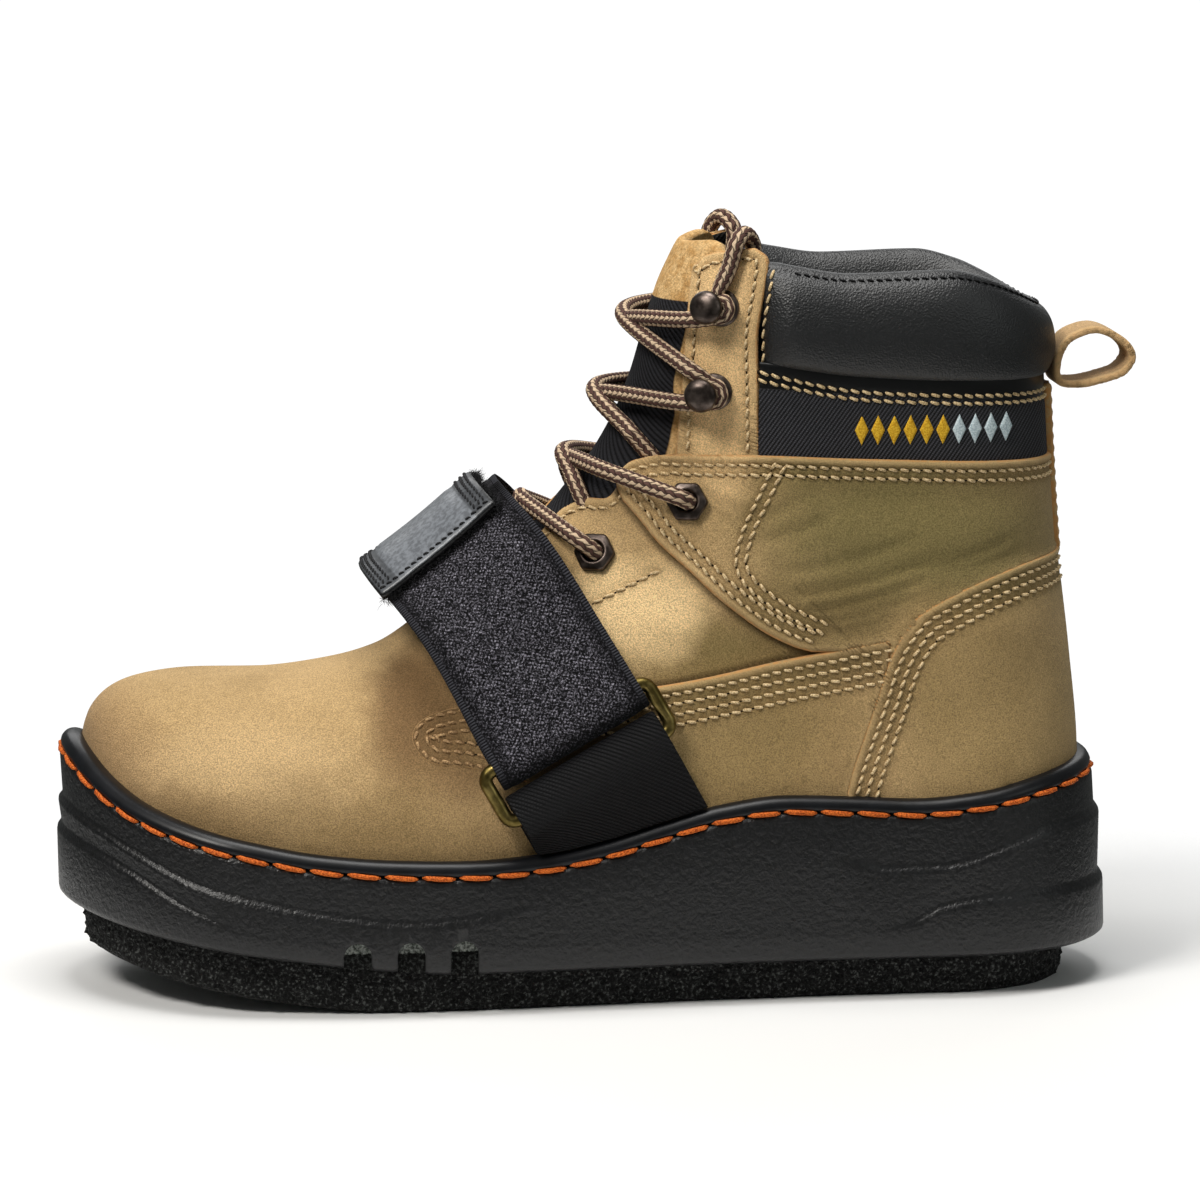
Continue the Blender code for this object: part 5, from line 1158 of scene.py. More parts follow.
def tongue_look():
    """Rough suede with a black cloth panel in the middle."""
    look = Look("tongue", roughness=0.9, specular_ior_level=0.2)
    fine, nap = look.noise(300.0, 4.0, 0.6), look.noise(1100.0, 3.0, 0.7)
    suede = look.mix(look.between(fine, 0.32, 0.68), srgb(190, 146, 88), srgb(226, 188, 132))
    suede = look.mix(1.0, suede, look.grey(look.between(nap, 0.25, 0.75, 0.66, 1.2)), "MULTIPLY")
    parts = look.axes()
    y, up = parts["Y"], parts["Z"]
    rib = look.wave(look.plus(y, up), 1.5 * MM)

    def step_at(value, edge, start, end):
        return look.between(value, edge - CLOTH_BLEND, edge + CLOTH_BLEND, start, end)

    tall = look.times(step_at(up, CLOTH_LOW, 0.0, 1.0), step_at(up, CLOTH_HIGH, 1.0, 0.0))
    panel = look.times(step_at(look.size(y), CLOTH_HALF, 1.0, 0.0), tall)
    look.set("Base Color", look.mix(panel, suede, look.mix(rib, srgb(6, 6, 7), srgb(44, 44, 48))))
    look.bump(nap, 0.8, 0.7)
    look.bump(look.times(rib, panel), 0.3, 0.7)
    return look


def metal_look(name, dark, light, rough):
    look = Look(name, metallic=1.0)
    worn = look.noise(240.0, 4.0)
    look.set("Base Color", look.mix(look.between(worn, 0.35, 0.68), dark, light))
    look.set("Roughness", look.between(look.noise(500.0, 3.0), 0.3, 0.7, rough - 0.06, rough + 0.12))
    return look


def thread_look(name, dark, light):
    look = Look(name, roughness=0.75, specular_ior_level=0.25)
    twist = look.noise(2200.0, 2.0)
    look.set("Base Color", look.mix(look.between(twist, 0.35, 0.65), dark, light))
    look.bump(twist, 0.2, 0.6)
    return look


def patch_look():
    look = Look("patch", roughness=0.36, specular_ior_level=0.6)
    grain = look.noise(700.0, 3.0)
    # Pale grey middle: the patch's grey with a painted highlight, darker by its stitched sides.
    top_with_painted_highlight = look.mix(look.between(grain, 0.35, 0.65), srgb(94, 97, 102), srgb(124, 128, 134))
    across = look.size(look.value("across"))
    half = (TAB_FRONT - TAB_REAR) * STRAP_HALF / 2
    top_with_painted_highlight = look.mix(look.between(across, half - 8.8, half - 8.0, 0.0, 0.6), top_with_painted_highlight, srgb(22, 22, 24))
    # Side walls and underside darker: painted shade.
    rim = look.between(look.value("edge"), 0.1, 0.5, 1.0, 0.0)
    look.set("Base Color", look.mix(rim, top_with_painted_highlight, srgb(6, 6, 7)))
    look.bump(grain, 0.15, 0.4)
    look.bump(look.noise(60.0, 2.0), 0.6, 0.3)
    return look


def plain_look(name, dark, light, rough, scale=400.0):
    look = Look(name, roughness=rough, specular_ior_level=0.3)
    grain = look.noise(scale, 3.0)
    look.set("Base Color", look.mix(look.between(grain, 0.35, 0.65), dark, light))
    look.bump(grain, 0.15, 0.4)
    return look


TAN_DARK, TAN_LIGHT, TAN_EDGE = srgb(176, 146, 100), srgb(198, 166, 118), srgb(200, 148, 90)


def make_looks():
    looks = {
        "nubuck": nubuck_look("nubuck", TAN_DARK, TAN_LIGHT, TAN_EDGE),
        "base": nubuck_look("nubuck_base", TAN_DARK, TAN_LIGHT, TAN_EDGE, shaded=True),
        "tongue": tongue_look(),
        "band": band_look(),
        "suede": nubuck_look("suede", srgb(178, 144, 100), srgb(208, 174, 128), srgb(212, 172, 122), 0.8),
        "lining": twill_look("lining", 1.1, 40.0, srgb(16, 16, 16), srgb(40, 39, 38)),
        "thread": thread_look("thread", srgb(176, 146, 100), srgb(240, 216, 172)),
        "brown_thread": thread_look("brown_thread", srgb(136, 104, 70), srgb(204, 168, 122)),
        # Dark lenses at the stitch ends: painted shade of the needle holes.
        "hole": plain_look("needle_hole_shade", srgb(22, 14, 6), srgb(40, 27, 14), 1.0),
        "collar": collar_look(),
        "black_thread": thread_look("black_thread", srgb(10, 10, 11), srgb(34, 34, 36)),
        "grey_thread": thread_look("grey_thread", srgb(18, 18, 19), srgb(44, 44, 46)),
        "rubber": rubber_look(),
        "bead": plain_look("rim_rubber", srgb(13, 14, 17), srgb(19, 20, 24), 0.34, 120.0),
        "foam": foam_look(),
        "felt": felt_look(),
        "bronze": metal_look("bronze", srgb(62, 54, 50), srgb(106, 95, 89), 0.34),
        "brass": metal_look("brass", srgb(92, 80, 42), srgb(148, 130, 78), 0.36),
        "lace": lace_look(),
        "strap": strap_look(),
        "webbing": webbing_look(),
        "patch": patch_look(),
        "thread_yellow": thread_look("thread_yellow", srgb(206, 150, 24), srgb(240, 196, 58)),
        "thread_white": thread_look("thread_white", srgb(176, 196, 204), srgb(226, 238, 242)),
        "orange": thread_look("orange_thread", srgb(150, 58, 10), srgb(228, 118, 42)),
    }
    return {key: look.material for key, look in looks.items()}


# Panels of the upper

EYELET_CUT, EYELET_CUT_SIDES = 3.2, 16
# Parts of the mouth's edge: throat and tab, front and back of the eyestay, collar
TOP_EDGE, STAY_FRONT = MOUTH_EDGE[:12], MOUTH_EDGE[11:18]
STAY_BACK, COLLAR_EDGE = MOUTH_EDGE[18:22], MOUTH_EDGE[21:]
BRANCH_ROW = [(-52.0, 157.5), (-47.4, 147.5), (-43.2, 138.5), (-40.6, 131.0), (-40.6, 125.6), (-43.8, 120.6),
              (-50.6, 114.9), (-57.8, 110.8), (-66.0, 107.0)]
TAB_ROW = [(4.0, 114.5), (-7.1, 120.0), (-18.6, 125.8)]


# Thickness of each sheet over the upper
BAND_LEVEL = 1.0
LEVELS = {"quarter": 1.6, "panel": 2.0, "counter": 2.4, "stay": 0.9, "band": BAND_LEVEL, "upper": 0.0}
UPPER_STEP, QUARTER_STEP = 1.8, 1.0
# Heights of panel edges on the heel seam, and how far stitch rows stop before it
QUARTER_BACK, QUARTER_UNDER, COUNTER_BACK = 155.5, 126.4, 127.6
BAND_LOW, BAND_HIGH, ROW_END = 154.5, 180.0, 0.4
UNDER_RIM, COUNTER_FRONT, PANEL_FRONT = 3.0, -72.1, 8.0
TOE_ROW, LOOP_STEP, TOE_STEPS, THROAT_STEPS, MOUTH_REACH = 2.0, 1.2, 40, 6, 40
ROUNDED, STRAIGHT = True, False


def back_point(z, ahead=0.0):
    """Side view point on the heel seam, or a little ahead of it."""
    return float(back_x(z)) + ahead, z


def rim_point(x):
    """Side view point a little under the rim."""
    return x, float(rim_z(x)) - UNDER_RIM


def back_run(z_from, z_to):
    return [back_point(z) for z in np.linspace(z_from, z_to, 24)]


def rim_run(x_from, x_to):
    return [rim_point(x) for x in np.linspace(x_from, x_to, 40)]


def eyelet_loop(level, side):
    """Map loop of the hole that an eyelet sits in."""
    place, normal = spot(level, side)
    across = unit(np.cross(normal, [0.0, 0.0, 1.0]))
    ring = place + EYELET_CUT * spokes(across, np.cross(normal, across), circle(EYELET_CUT_SIDES))
    return on_map(ring[:, [0, 2]])


def upper_loops(side):
    """Outer map loop of one side of the upper, with its eyelet holes."""
    mouth = [TOP_EDGE, STAY_FRONT, STAY_FRONT[-1:] + STAY_BACK, STAY_BACK[-1:] + COLLAR_EDGE[1:]]
    mouth_map = ring_map(side, [(run, ROUNDED) for run in mouth])
    first, last = on_map(np.array([MOUTH_EDGE[0], back_point(MOUTH_EDGE[-1].z)]))
    down = np.arange(last[0], TOE_ROW, -LOOP_STEP)
    up = np.arange(TOE_ROW, first[0], LOOP_STEP)
    back = np.column_stack([down, 0 * down + GIRTH])
    ridge = np.column_stack([up, 0 * up])
    toe = np.column_stack([np.full(TOE_STEPS, TOE_ROW), np.linspace(GIRTH, 0, TOE_STEPS + 1)[:-1]])
    throat = np.linspace(0, first[1], THROAT_STEPS + 1)[:-1]
    throat = np.column_stack([np.full(THROAT_STEPS, first[0]), throat])
    mouth_map = mouth_map[mouth_map[:, 0] < last[0] + MOUTH_REACH]
    loop = np.concatenate([mouth_map, back, toe[1:], ridge[1:], throat])
    return [loop] + [eyelet_loop(level, side) for level in EYELETS]


def panel_rows(side):
    """Stitch rows by the panel that carries them."""
    quarter = [back_point(QUARTER_BACK, ROW_END)] + QUARTER_TOP[1:] + QUARTER_FRONT
    counter = COUNTER_EDGE[:-1] + [back_point(COUNTER_BACK, ROW_END)]
    panel = SIDE_PANEL_TOP[:4] + [(12.0, 90.0)]
    stay = [(-24.6, 159.5)] + STAY_FRONT[1:] + STAY_BACK + [(-47.2, 159.5)]
    band = [(-47.6, 186.6)] + [(p.x, p.bottom) for p in PAD_LINE[2:-1]]
    band.append((float(back_x(178.0)) + ROW_END, 178.2))
    insets = {
        "quarter": [(quarter, (3.0, 5.8)), (BRANCH_ROW, (0.0, 2.9))],
        "panel": [(panel, (3.0, 5.8, 8.8, 11.7)), (SIDE_PANEL_TOP[4:12], (1.0, 4.1, 7.0))],
        "counter": [(counter, (-3.2, -6.1, -9.0))],
        "stay": [(stay, (-3.2,))],
        "band": [(band, (-3.6, -5.8))],
        "upper": [(TAB_ROW, (0.0,)), (MOUTH_EDGE[2:9], (-3.4,))],
    }
    return {key: [row_map(line, side, d) for line, all_d in lines for d in all_d]
            for key, lines in insets.items()}


def panel_loops():
    """Side view runs round each panel, for ring_map."""
    counter = COUNTER_EDGE[:-1] + [back_point(COUNTER_BACK)]
    low_back = rim_point(-144.0)[1]
    quarter_top = [back_point(QUARTER_BACK)] + QUARTER_TOP[1:]
    quarter_low = [(-62.0, 102.0), (-70.6, 101.4), (-84.6, 103.9)]
    under_counter = [(x - 1.0, z - 1.2) for x, z in counter[3:-1]] + [back_point(QUARTER_UNDER)]
    behind = [(x - 1.2, z) for x, z in counter[:4]]
    stay = [(-24.0, 157.0)] + STAY_FRONT[1:]
    stay_low = (-47.2, 157.0)
    band_low = [(-47.0, 157.9)] + [(x, z - 1.0) for x, z in quarter_top[2:0:-1]] + [back_point(BAND_LOW)]
    band_top = [back_point(BAND_HIGH), (-102.0, 181.4), (-73.0, 183.2), (-47.0, 186.0)]
    return {
        "counter": [
            (counter, ROUNDED),
            (back_run(COUNTER_BACK, low_back), STRAIGHT, GIRTH),
            (rim_run(back_point(low_back)[0], COUNTER_FRONT), STRAIGHT),
            ([rim_point(COUNTER_FRONT), counter[0]], STRAIGHT),
        ],
        "quarter": [
            (quarter_top, ROUNDED),
            (quarter_top[-1:] + QUARTER_FRONT, ROUNDED),
            (quarter_low, STRAIGHT),
            (quarter_low[-1:] + under_counter, STRAIGHT),
            (back_run(QUARTER_UNDER, QUARTER_BACK), STRAIGHT, GIRTH),
        ],
        "panel": [
            (SIDE_PANEL_TOP, ROUNDED),
            ([SIDE_PANEL_TOP[-1], rim_point(PANEL_FRONT)], STRAIGHT),
            (rim_run(PANEL_FRONT, behind[0][0]), STRAIGHT),
            ([rim_point(behind[0][0])] + behind, STRAIGHT),
            ([behind[-1], SIDE_PANEL_TOP[0]], STRAIGHT),
        ],
        "stay": [
            (stay, ROUNDED),
            (stay[-1:] + STAY_BACK, ROUNDED),
            ([STAY_BACK[-1], stay_low], STRAIGHT),
            ([stay_low, stay[0]], STRAIGHT),
        ],
        "band": [
            (band_low, STRAIGHT),
            (back_run(BAND_LOW, BAND_HIGH), STRAIGHT, GIRTH),
            (band_top, STRAIGHT),
            ([band_top[-1], band_low[0]], STRAIGHT),
        ],
    }


def make_upper_pieces(looks):
    """Upper with its lining, the panels laid over it, and all their stitch rows."""
    tan, dark = looks["nubuck"], looks["hole"]
    both = [side for side, _ in SIDES]
    rows = {side: panel_rows(side) for side in both}
    loops = {side: {key: ring_map(side, runs) for key, runs in panel_loops().items()} for side in both}

    def rows_of(key, sides):
        return [Row(side, places, LEVELS[key]) for side in sides for places in rows[side][key]]

    def lay(name, key, sides, nodes, look, joined=False, edge=0.8, roll=0.7):
        made = []
        for side in sides:
            holes = [eyelet_loop(EYELETS[1], side)] if key == "quarter" else []
            step = QUARTER_STEP if key == "quarter" else PATCH_STEP
            made.append(make_patch(side, [loops[side][key]] + holes, rows[side][key], step))
        slab(name, made, LEVELS[key], OVERLAY_FOOT, look, nodes, edge, 1.0, rows_of(key, sides), joined,
             roll=roll)

    patches = [make_patch(side, upper_loops(side), rows[side]["upper"], UPPER_STEP) for side in both]
    # Edges of the raised panels, beside which the upper gets a painted shadow.
    raised = [(side, key) for side in both for key in ("quarter", "panel", "counter")]
    edges = np.concatenate([last_points(*from_map(loops[side][key]), side) for side, key in raised])
    slab("upper", patches, 0.0, -WALL, looks["base"], ["upper"], 0.9, 1.2, rows_of("upper", both),
         True, looks["lining"], shaded_by=edges[edges[:, 0] < THIN_FROM])
    for side, word in SIDES:
        lay("quarter_" + word, "quarter", [side], ["quarter_" + word], tan)
        lay("side_panel_" + word, "panel", [side], ["side_panel_" + word], tan)
        lay("eyestay_" + word, "stay", [side], [], tan, edge=0.5, roll=0.2)
    lay("counter", "counter", both, ["counter"], tan, True)
    lay("collar_band", "band", both, ["collar_band"], looks["band"], True, 0.3, roll=0.0)
    for side, word in SIDES:
        lines = [row_points(r) for key in LEVELS for r in rows_of(key, [side])]
        toe = [line for line in lines if line[0][:, 0].min() > THIN_FROM]
        lines = [line for line in lines if line[0][:, 0].min() <= THIN_FROM]
        add_stitches("stitches_" + word, lines, looks["thread"], hole_look=dark)
        add_stitches("toe_stitches_" + word, toe, looks["brown_thread"], hole_look=dark)


# Sole

SOLE_STEP = 1.5
HEEL_OUT = HEEL_FLARE_START - BACK_LINE[0].x


class Plan:
    """Fine plan of the feather line, with outward directions."""

    def __init__(self, step=SOLE_STEP):
        v = np.linspace(0.0, HEEL_ROW, 400)
        outer, inner = (last_points(v, np.ones_like(v), side)[:, :2] for side in (LATERAL, MEDIAL))
        tip = [[TOE_X, float(swing(0))]]
        self.points = even(np.concatenate([tip, outer[:-1], inner[::-1][:-1], tip]), step)[:-1]
        ahead = sum(np.roll(self.points, -k, axis=0) - np.roll(self.points, k, axis=0) for k in (1, 2, 3, 4))
        self.out = unit(np.stack([ahead[:, 1], -ahead[:, 0]], axis=1))
        self.x = self.points[:, 0]
        self.heel = np.clip((HEEL_FLARE_START - self.x) / HEEL_OUT, 0.0, 1.0) ** 2

    def moved(self, offset):
        return self.points + self.out * np.broadcast_to(offset, self.x.shape)[:, None]

    def loop(self, offset, height):
        plan = self.moved(offset)
        return np.column_stack([plan, height(plan[:, 0])])

    def rim_loop(self, offset, below):
        return np.column_stack([self.moved(offset), rim_z(self.x) - below])

    def outward(self):
        return np.column_stack([self.out, 0 * self.x])


def softened(loops, radius):
    """Loops with each turn of the profile, apart from the first and last, rounded by three loops."""
    made = [loops[0]]
    for before, here, after in zip(loops, loops[1:], loops[2:]):
        ends = []
        for other in (before, after):
            run = other - here
            share = np.minimum(0.45, radius / np.maximum(np.linalg.norm(run, axis=1), 1e-6))
            ends.append(here + run * share[:, None])
        made += [ends[0], 0.25 * ends[0] + 0.5 * here + 0.25 * ends[1], ends[1]]
    return made + [loops[-1]]


def ring_piece(name, loops, looks, nodes, values=None):
    """Closed ring through loops that go around its own cross section."""
    faces = tube_faces(len(loops), len(loops[0]), True)
    return add_piece(name, np.concatenate(loops), faces, looks, nodes, values)


def across_faces(loop):
    """Faces across a closed loop of point numbers, in bands from its first point to the opposite one."""
    count = len(loop)
    faces = []
    for i in range(count // 2):
        face = []
        for place in (i, i + 1, count - i - 1, (count - i) % count):
            if loop[place] not in face:
                face.append(loop[place])
        if len(face) > 2:
            faces.append(face)
    return faces


def capped_piece(name, loops, look):
    """Piece through loops, closed across the first and the last one."""
    count = len(loops[0])
    last = (len(loops) - 1) * count
    faces = tube_faces(len(loops), count, caps=False)
    faces += across_faces(list(range(count))) + across_faces([last + i for i in range(count)])
    add_piece(name, np.concatenate(loops), faces, [look], [name])


NOTCH_FACE, NOTCH_REACH, NOTCH_UNDER, NOTCH_STEPS = 7.0, 20, 3.0, 17


def notch_block(plan, side, x):
    """Inner and outer arch of the block that cuts one notch into the wall."""
    near = np.argmin(np.abs(plan.x - x) + 1000 * (plan.points[:, 1] * side < 0))
    low = float(lip_z(x)) - NOTCH_UNDER
    arch = [(x - NOTCH_HALF_WIDTH, low), (x + NOTCH_HALF_WIDTH, low)]
    centre = NOTCH_TOP - NOTCH_HALF_WIDTH
    for a in np.linspace(0, np.pi, NOTCH_STEPS):
        arch.append((x + NOTCH_HALF_WIDTH * math.cos(a), centre + NOTCH_HALF_WIDTH * math.sin(a)))
    inside_y = plan.points[near, 1] + side * (NOTCH_FACE - NOTCH_DEPTH)
    return [[(p[0], y, p[1]) for p in arch] for y in (inside_y, inside_y + side * NOTCH_REACH)]


def cut_notches(obj, plan, look):
    """Cut the notches into the midsole and give their faces a look of their own."""
    blocks = [notch_block(plan, side, x) for side in (LATERAL, MEDIAL) for x in NOTCH_PLACES]
    size = len(blocks[0][0])
    mesh = bpy.data.meshes.new("notches")
    points = (np.array(blocks).reshape(-1, 3) * MM).tolist()
    mesh.from_pydata(points, [], repeated(tube_faces(2, size), len(blocks), 2 * size))
    turn_out(mesh)
    mesh.materials.append(look)
    cutter = bpy.data.objects.new("notches", mesh)
    bpy.context.scene.collection.objects.link(cutter)
    obj.data.materials.append(look)
    cut = obj.modifiers.new("notches", "BOOLEAN")
    cut.operation, cut.solver, cut.object = "DIFFERENCE", "EXACT", cutter
    cut.material_mode = "TRANSFER"
    made = bpy.data.meshes.new_from_object(obj.evaluated_get(bpy.context.evaluated_depsgraph_get()))
    obj.modifiers.clear()
    obj.data = made
    bpy.data.objects.remove(cutter)


def make_midsole(plan, looks):
    """Cup with a lip, two stepped ribs, a rim and a floor, with notches in its edge."""
    heel = plan.heel
    low_step, high_step = lower_rib_step(plan.x), upper_rib_step(plan.x)
    wall = [
        plan.loop(-6.0, lip_z),
        plan.loop(4.2 + 4.5 * heel, lip_z),
        plan.loop(6.6 + 5.0 * heel, lambda x: lip_z(x) + 1.6),
        plan.loop(6.9 + 4.2 * heel, lambda x: lower_rib_z(x) - 1.2),
        plan.loop(6.8 + 4.0 * heel - low_step, lambda x: lower_rib_z(x) + 0.4),
        plan.loop(6.5 + 3.2 * heel, lambda x: upper_rib_z(x) - 1.2),
        plan.loop(6.4 + 3.0 * heel - high_step, lambda x: upper_rib_z(x) + 0.4),
        plan.rim_loop(5.8 + 1.6 * heel, WELT_DROP + 1.6),
        plan.rim_loop(4.4 + 1.4 * heel, WELT_DROP + 0.2),
        plan.rim_loop(0.4, WELT_DROP),
    ]
    loops = softened(wall, 1.0) + [plan.loop(0.4, floor_z), plan.loop(-6.0, lambda x: floor_z(x) - 1.0)]
    obj = ring_piece("midsole", loops, [looks["rubber"]], ["midsole"])
    cut_notches(obj, plan, looks["felt"])


BeadPoint = namedtuple("BeadPoint", "offset below")
BEAD = table_of(
    BeadPoint, (-1.6, 2.6), (-1.2, 0.3), (0.6, -0.5), (2.2, -0.7), (3.8, -0.2), (5.0, 1.0), (5.4, 2.2),
    (4.9, 3.3), (2.0, 3.5),
)
SOLE_STITCH, SOLE_STITCH_GAP, SOLE_STITCH_RADIUS = 10.6, 1.1, 0.72


def make_welt(plan, looks):
    """Rim bead over the edge of the midsole, and the stitches under it."""
    profile = smooth_path(BEAD, 4, closed=True)
    loops = []
    for offset, below in profile:
        flare = 1.4 * plan.heel if offset > 2.5 else 0.0
        loops.append(plan.rim_loop(offset + flare, below))
    ring_piece("welt", loops, [looks["bead"]], ["welt"])
    path = plan.rim_loop(5.0 + 1.4 * plan.heel, WELT_DROP + 0.2)
    path, out = (np.concatenate([line, line[:1]]) for line in (path, plan.outward()))
    add_stitches("sole_stitches", [(path, out)], looks["orange"], SOLE_STITCH, SOLE_STITCH_GAP,
                 SOLE_STITCH_RADIUS, slant=0.5)


FOAM_STEP, FOAM_LEVELS, FOAM_GRAIN, FOAM_UNDER_GRAIN = 1.15, 11, 0.36, 0.4


def make_pad(looks):
    """Foam pad with a rough wall and a rough lower edge."""
    plan = Plan(FOAM_STEP)
    low = plan.loop(-1.4 - 0.4 * plan.heel, lambda x: spring_z(x) + 1.2)
    high = plan.loop(-0.8 + 0.4 * plan.heel, lambda x: lip_z(x) - GAP)
    walls = [low + (high - low) * s for s in np.linspace(0, 1, FOAM_LEVELS)]
    grain = rng.normal(size=(FOAM_LEVELS, len(plan.x)))
    grain[-1] = 0
    walls = [w + plan.outward() * (g * FOAM_GRAIN)[:, None] for w, g in zip(walls, grain)]
    walls[0][:, 2] += rng.normal(size=len(plan.x)) * FOAM_UNDER_GRAIN
    under = [plan.loop(-9.0, spring_z), plan.loop(-3.0, spring_z)]
    loops = under + walls + [plan.loop(-9.0, lambda x: lip_z(x) - GAP)]
    capped_piece("outsole_pad", loops, looks["foam"])


def make_insole(plan, looks):
    """Flat insole on the floor of the cup."""
    inset = -WALL - 2.0
    profile = [(inset, 0.0), (inset, 2.2), (inset - 0.8, 3.0), (inset - 6.0, 3.0), (inset - 14.0, 2.7)]
    loops = [plan.loop(o, lambda x, up=up: floor_z(x) + up) for o, up in profile]
    capped_piece("insole", loops, looks["lining"])


# Collar pad, tongue, backstay and pull loop

PAD_STEP, PAD_TUCK, PAD_EASE, PAD_INSIDE, PAD_OUTER_SHARE = 1.5, -47.6, 8.0, -1.2, 0.55
SEAM_PLACE, SEAM_WIDTH, SEAM_DEPTH = 0.93, 0.9, 0.5
FRONT_SEAM, FRONT_SEAM_SPAN = 1.5, (0.06, 0.44)


PAD_SAG, PAD_SAG_LONG, PAD_SAG_SHORT = 0.14, 13.0, 7.3


def collar_grid(section):
    """Points of the collar pad, a row for each place around it, and their outward directions in plan."""
    bottom, top = column_curve(PAD_LINE, "x", "bottom"), column_curve(PAD_LINE, "x", "top")
    start_x, _, end_x, _ = section_line(np.array([PAD_ROW]))
    t = np.linspace(float((PAD_TUCK - start_x[0]) / (end_x[0] - start_x[0])), 1.0, 900)
    half = [last_points(0 * t + PAD_ROW, t, side)[:, :2] for side in (LATERAL, MEDIAL)]
    around = even(np.concatenate([half[0], half[1][::-1][1:]]), PAD_STEP)
    ahead = np.gradient(around, axis=0)
    out = unit(np.stack([ahead[:, 1], -ahead[:, 0]], axis=1))
    x = around[:, 0]
    full = np.clip((PAD_TUCK - x) / PAD_EASE, 0.0, 1.0)[:, None] ** 0.5
    low, tall = bottom(x)[:, None], (top(x) - bottom(x))[:, None]
    height, offset = section.T[:, None, :]
    offset = np.where(offset > PAD_INSIDE, PAD_INSIDE + (offset - PAD_INSIDE) * full, offset)
    outer = np.arange(len(section)) < len(section) * PAD_OUTER_SHARE
    seam = np.exp(-((height - SEAM_PLACE) * tall / SEAM_WIDTH) ** 2) * outer
    run = run_lengths(around)[:, None]
    sag = PAD_SAG * np.sin(run / PAD_SAG_LONG + 3 * height) * np.sin(run / PAD_SAG_SHORT) * outer * full
    offset = offset - SEAM_DEPTH * seam * full + sag
    plan = around[:, None, :] + out[:, None, :] * offset[:, :, None]
    return np.concatenate([plan, (low + tall * height)[:, :, None]], axis=2), out


def collar_front_rows(grid, out):
    """Lines over the front of the pad on both sides, along the back of the eyestay."""
    turns, sides = grid.shape[:2]
    rise = np.linspace(sides * FRONT_SEAM_SPAN[0], sides * FRONT_SEAM_SPAN[1], 40)
    stay_x, stay_z = np.array(STAY_BACK[::-1]).T
    edge_x = np.interp(look_up(grid[:, :, 2], 0 * rise, rise), stay_z, stay_x)
    behind = (PAD_TUCK - edge_x + FRONT_SEAM) / PAD_STEP
    lines = []
    for turn in (behind, turns - 1 - behind):
        ways = look_up_points(np.repeat(out[:, None], sides, axis=1), turn, rise)
        lines.append((look_up_points(grid, turn, rise), np.column_stack([ways, 0 * rise])))
    return lines


def make_collar_pad(looks):
    """Padded collar with a seam under its top and a stitch row along the eyestay."""
    section = smooth_path(PAD_SECTION, 8, closed=True)
    grid, out = collar_grid(section)
    turns, sides = grid.shape[:2]
    points, faces = grid.reshape(-1, 3), tube_faces(turns, sides)
    pad = add_piece("collar_pad", points, faces, [looks["collar"]], ["collar_pad"])
    lines = collar_front_rows(grid, out)
    add_stitches("collar_front_rows", lines, looks["thread"], 3.3, 0.55, 0.42)
    outer = section[:sides // 2]
    column = int(np.argmin(np.abs(outer[:, 0] - SEAM_PLACE) + (outer[:, 1] < -3)))
    line = grid[:, column]
    normals = unit(np.cross(np.gradient(line, axis=0), np.gradient(grid, axis=1)[:, column]))
    normals *= np.sign(normals[:, 2:3] + 1e-6)
    seam = [(line[6:-6], normals[6:-6])]
    add_stitches("collar_seam", seam, looks["black_thread"], 2.6, 0.5, 0.3)


TONGUE_LOW, TONGUE_THICK, TONGUE_CLEAR, TONGUE_STEP = 99.8, 4.0, 0.4, 1.6


def make_tongue(looks):
    """Padded tongue under the throat."""
    v = np.linspace(0, LAST_ROW, 400)
    ridge = np.column_stack([top_x(v), top_z(v)])
    ridge = ridge[(ridge[:, 1] > TONGUE_LOW) & (ridge[:, 1] < TONGUE_TOP)]
    runs = [(TONGUE_BACK, ROUNDED), ([TONGUE_BACK[-1], ridge[0]], STRAIGHT), (ridge, STRAIGHT, 0.0),
            ([ridge[-1], (-33.0, TONGUE_TOP), TONGUE_BACK[0]], ROUNDED)]
    patches = [make_patch(side, [ring_map(side, runs)], step=TONGUE_STEP) for side, _ in SIDES]
    outer = -WALL - TONGUE_CLEAR
    obj = slab("tongue", patches, outer, outer - TONGUE_THICK, looks["tongue"], ["tongue"], 1.6, 2.0,
               joined=True)


def make_backstay(looks):
    """Strip over the heel seam, with a stitch row along each edge."""
    z = np.linspace(BACKSTAY_LOW, BACKSTAY_HIGH, 60)
    fine = np.linspace(HEEL_ROW, LAST_ROW, 400)
    v = np.interp(z, shaft_low_z(fine), fine)
    rows = np.interp(v, _v, ROW_LENGTH)
    inner = GIRTH * (1 - BACKSTAY_HALF / np.interp(v, _v, _girth[:, -1]))
    places = (inner, GIRTH, inner + BACKSTAY_ROW)
    edge, seam, stitch = (np.column_stack([rows, place + 0 * rows]) for place in places)
    low = np.column_stack([np.full(7, rows[0]), np.linspace(inner[0], GIRTH, 8)[1:]])
    high = np.column_stack([np.full(7, rows[-1]), np.linspace(GIRTH, inner[-1], 8)[1:]])
    loop = np.concatenate([edge[::-1], low[:-1], seam, high[:-1]])
    patches = [make_patch(side, [loop], [stitch]) for side, _ in SIDES]
    lines = [Row(side, stitch, BACKSTAY_LEVEL) for side, _ in SIDES]
    slab("backstay", patches, BACKSTAY_LEVEL, OVERLAY_FOOT, looks["nubuck"], ["backstay"], 0.6, 0.7,
         lines, True)
    lines = [row_points(r) for r in lines]
    add_stitches("backstay_stitches", lines, looks["thread"], 3.3, 0.55, 0.36, looks["hole"])


BACKSTAY_LEVEL, BACKSTAY_ROW = 3.0, 2.0


LOOP_FRAY, LOOP_GRAIN = 0.25, 0.03


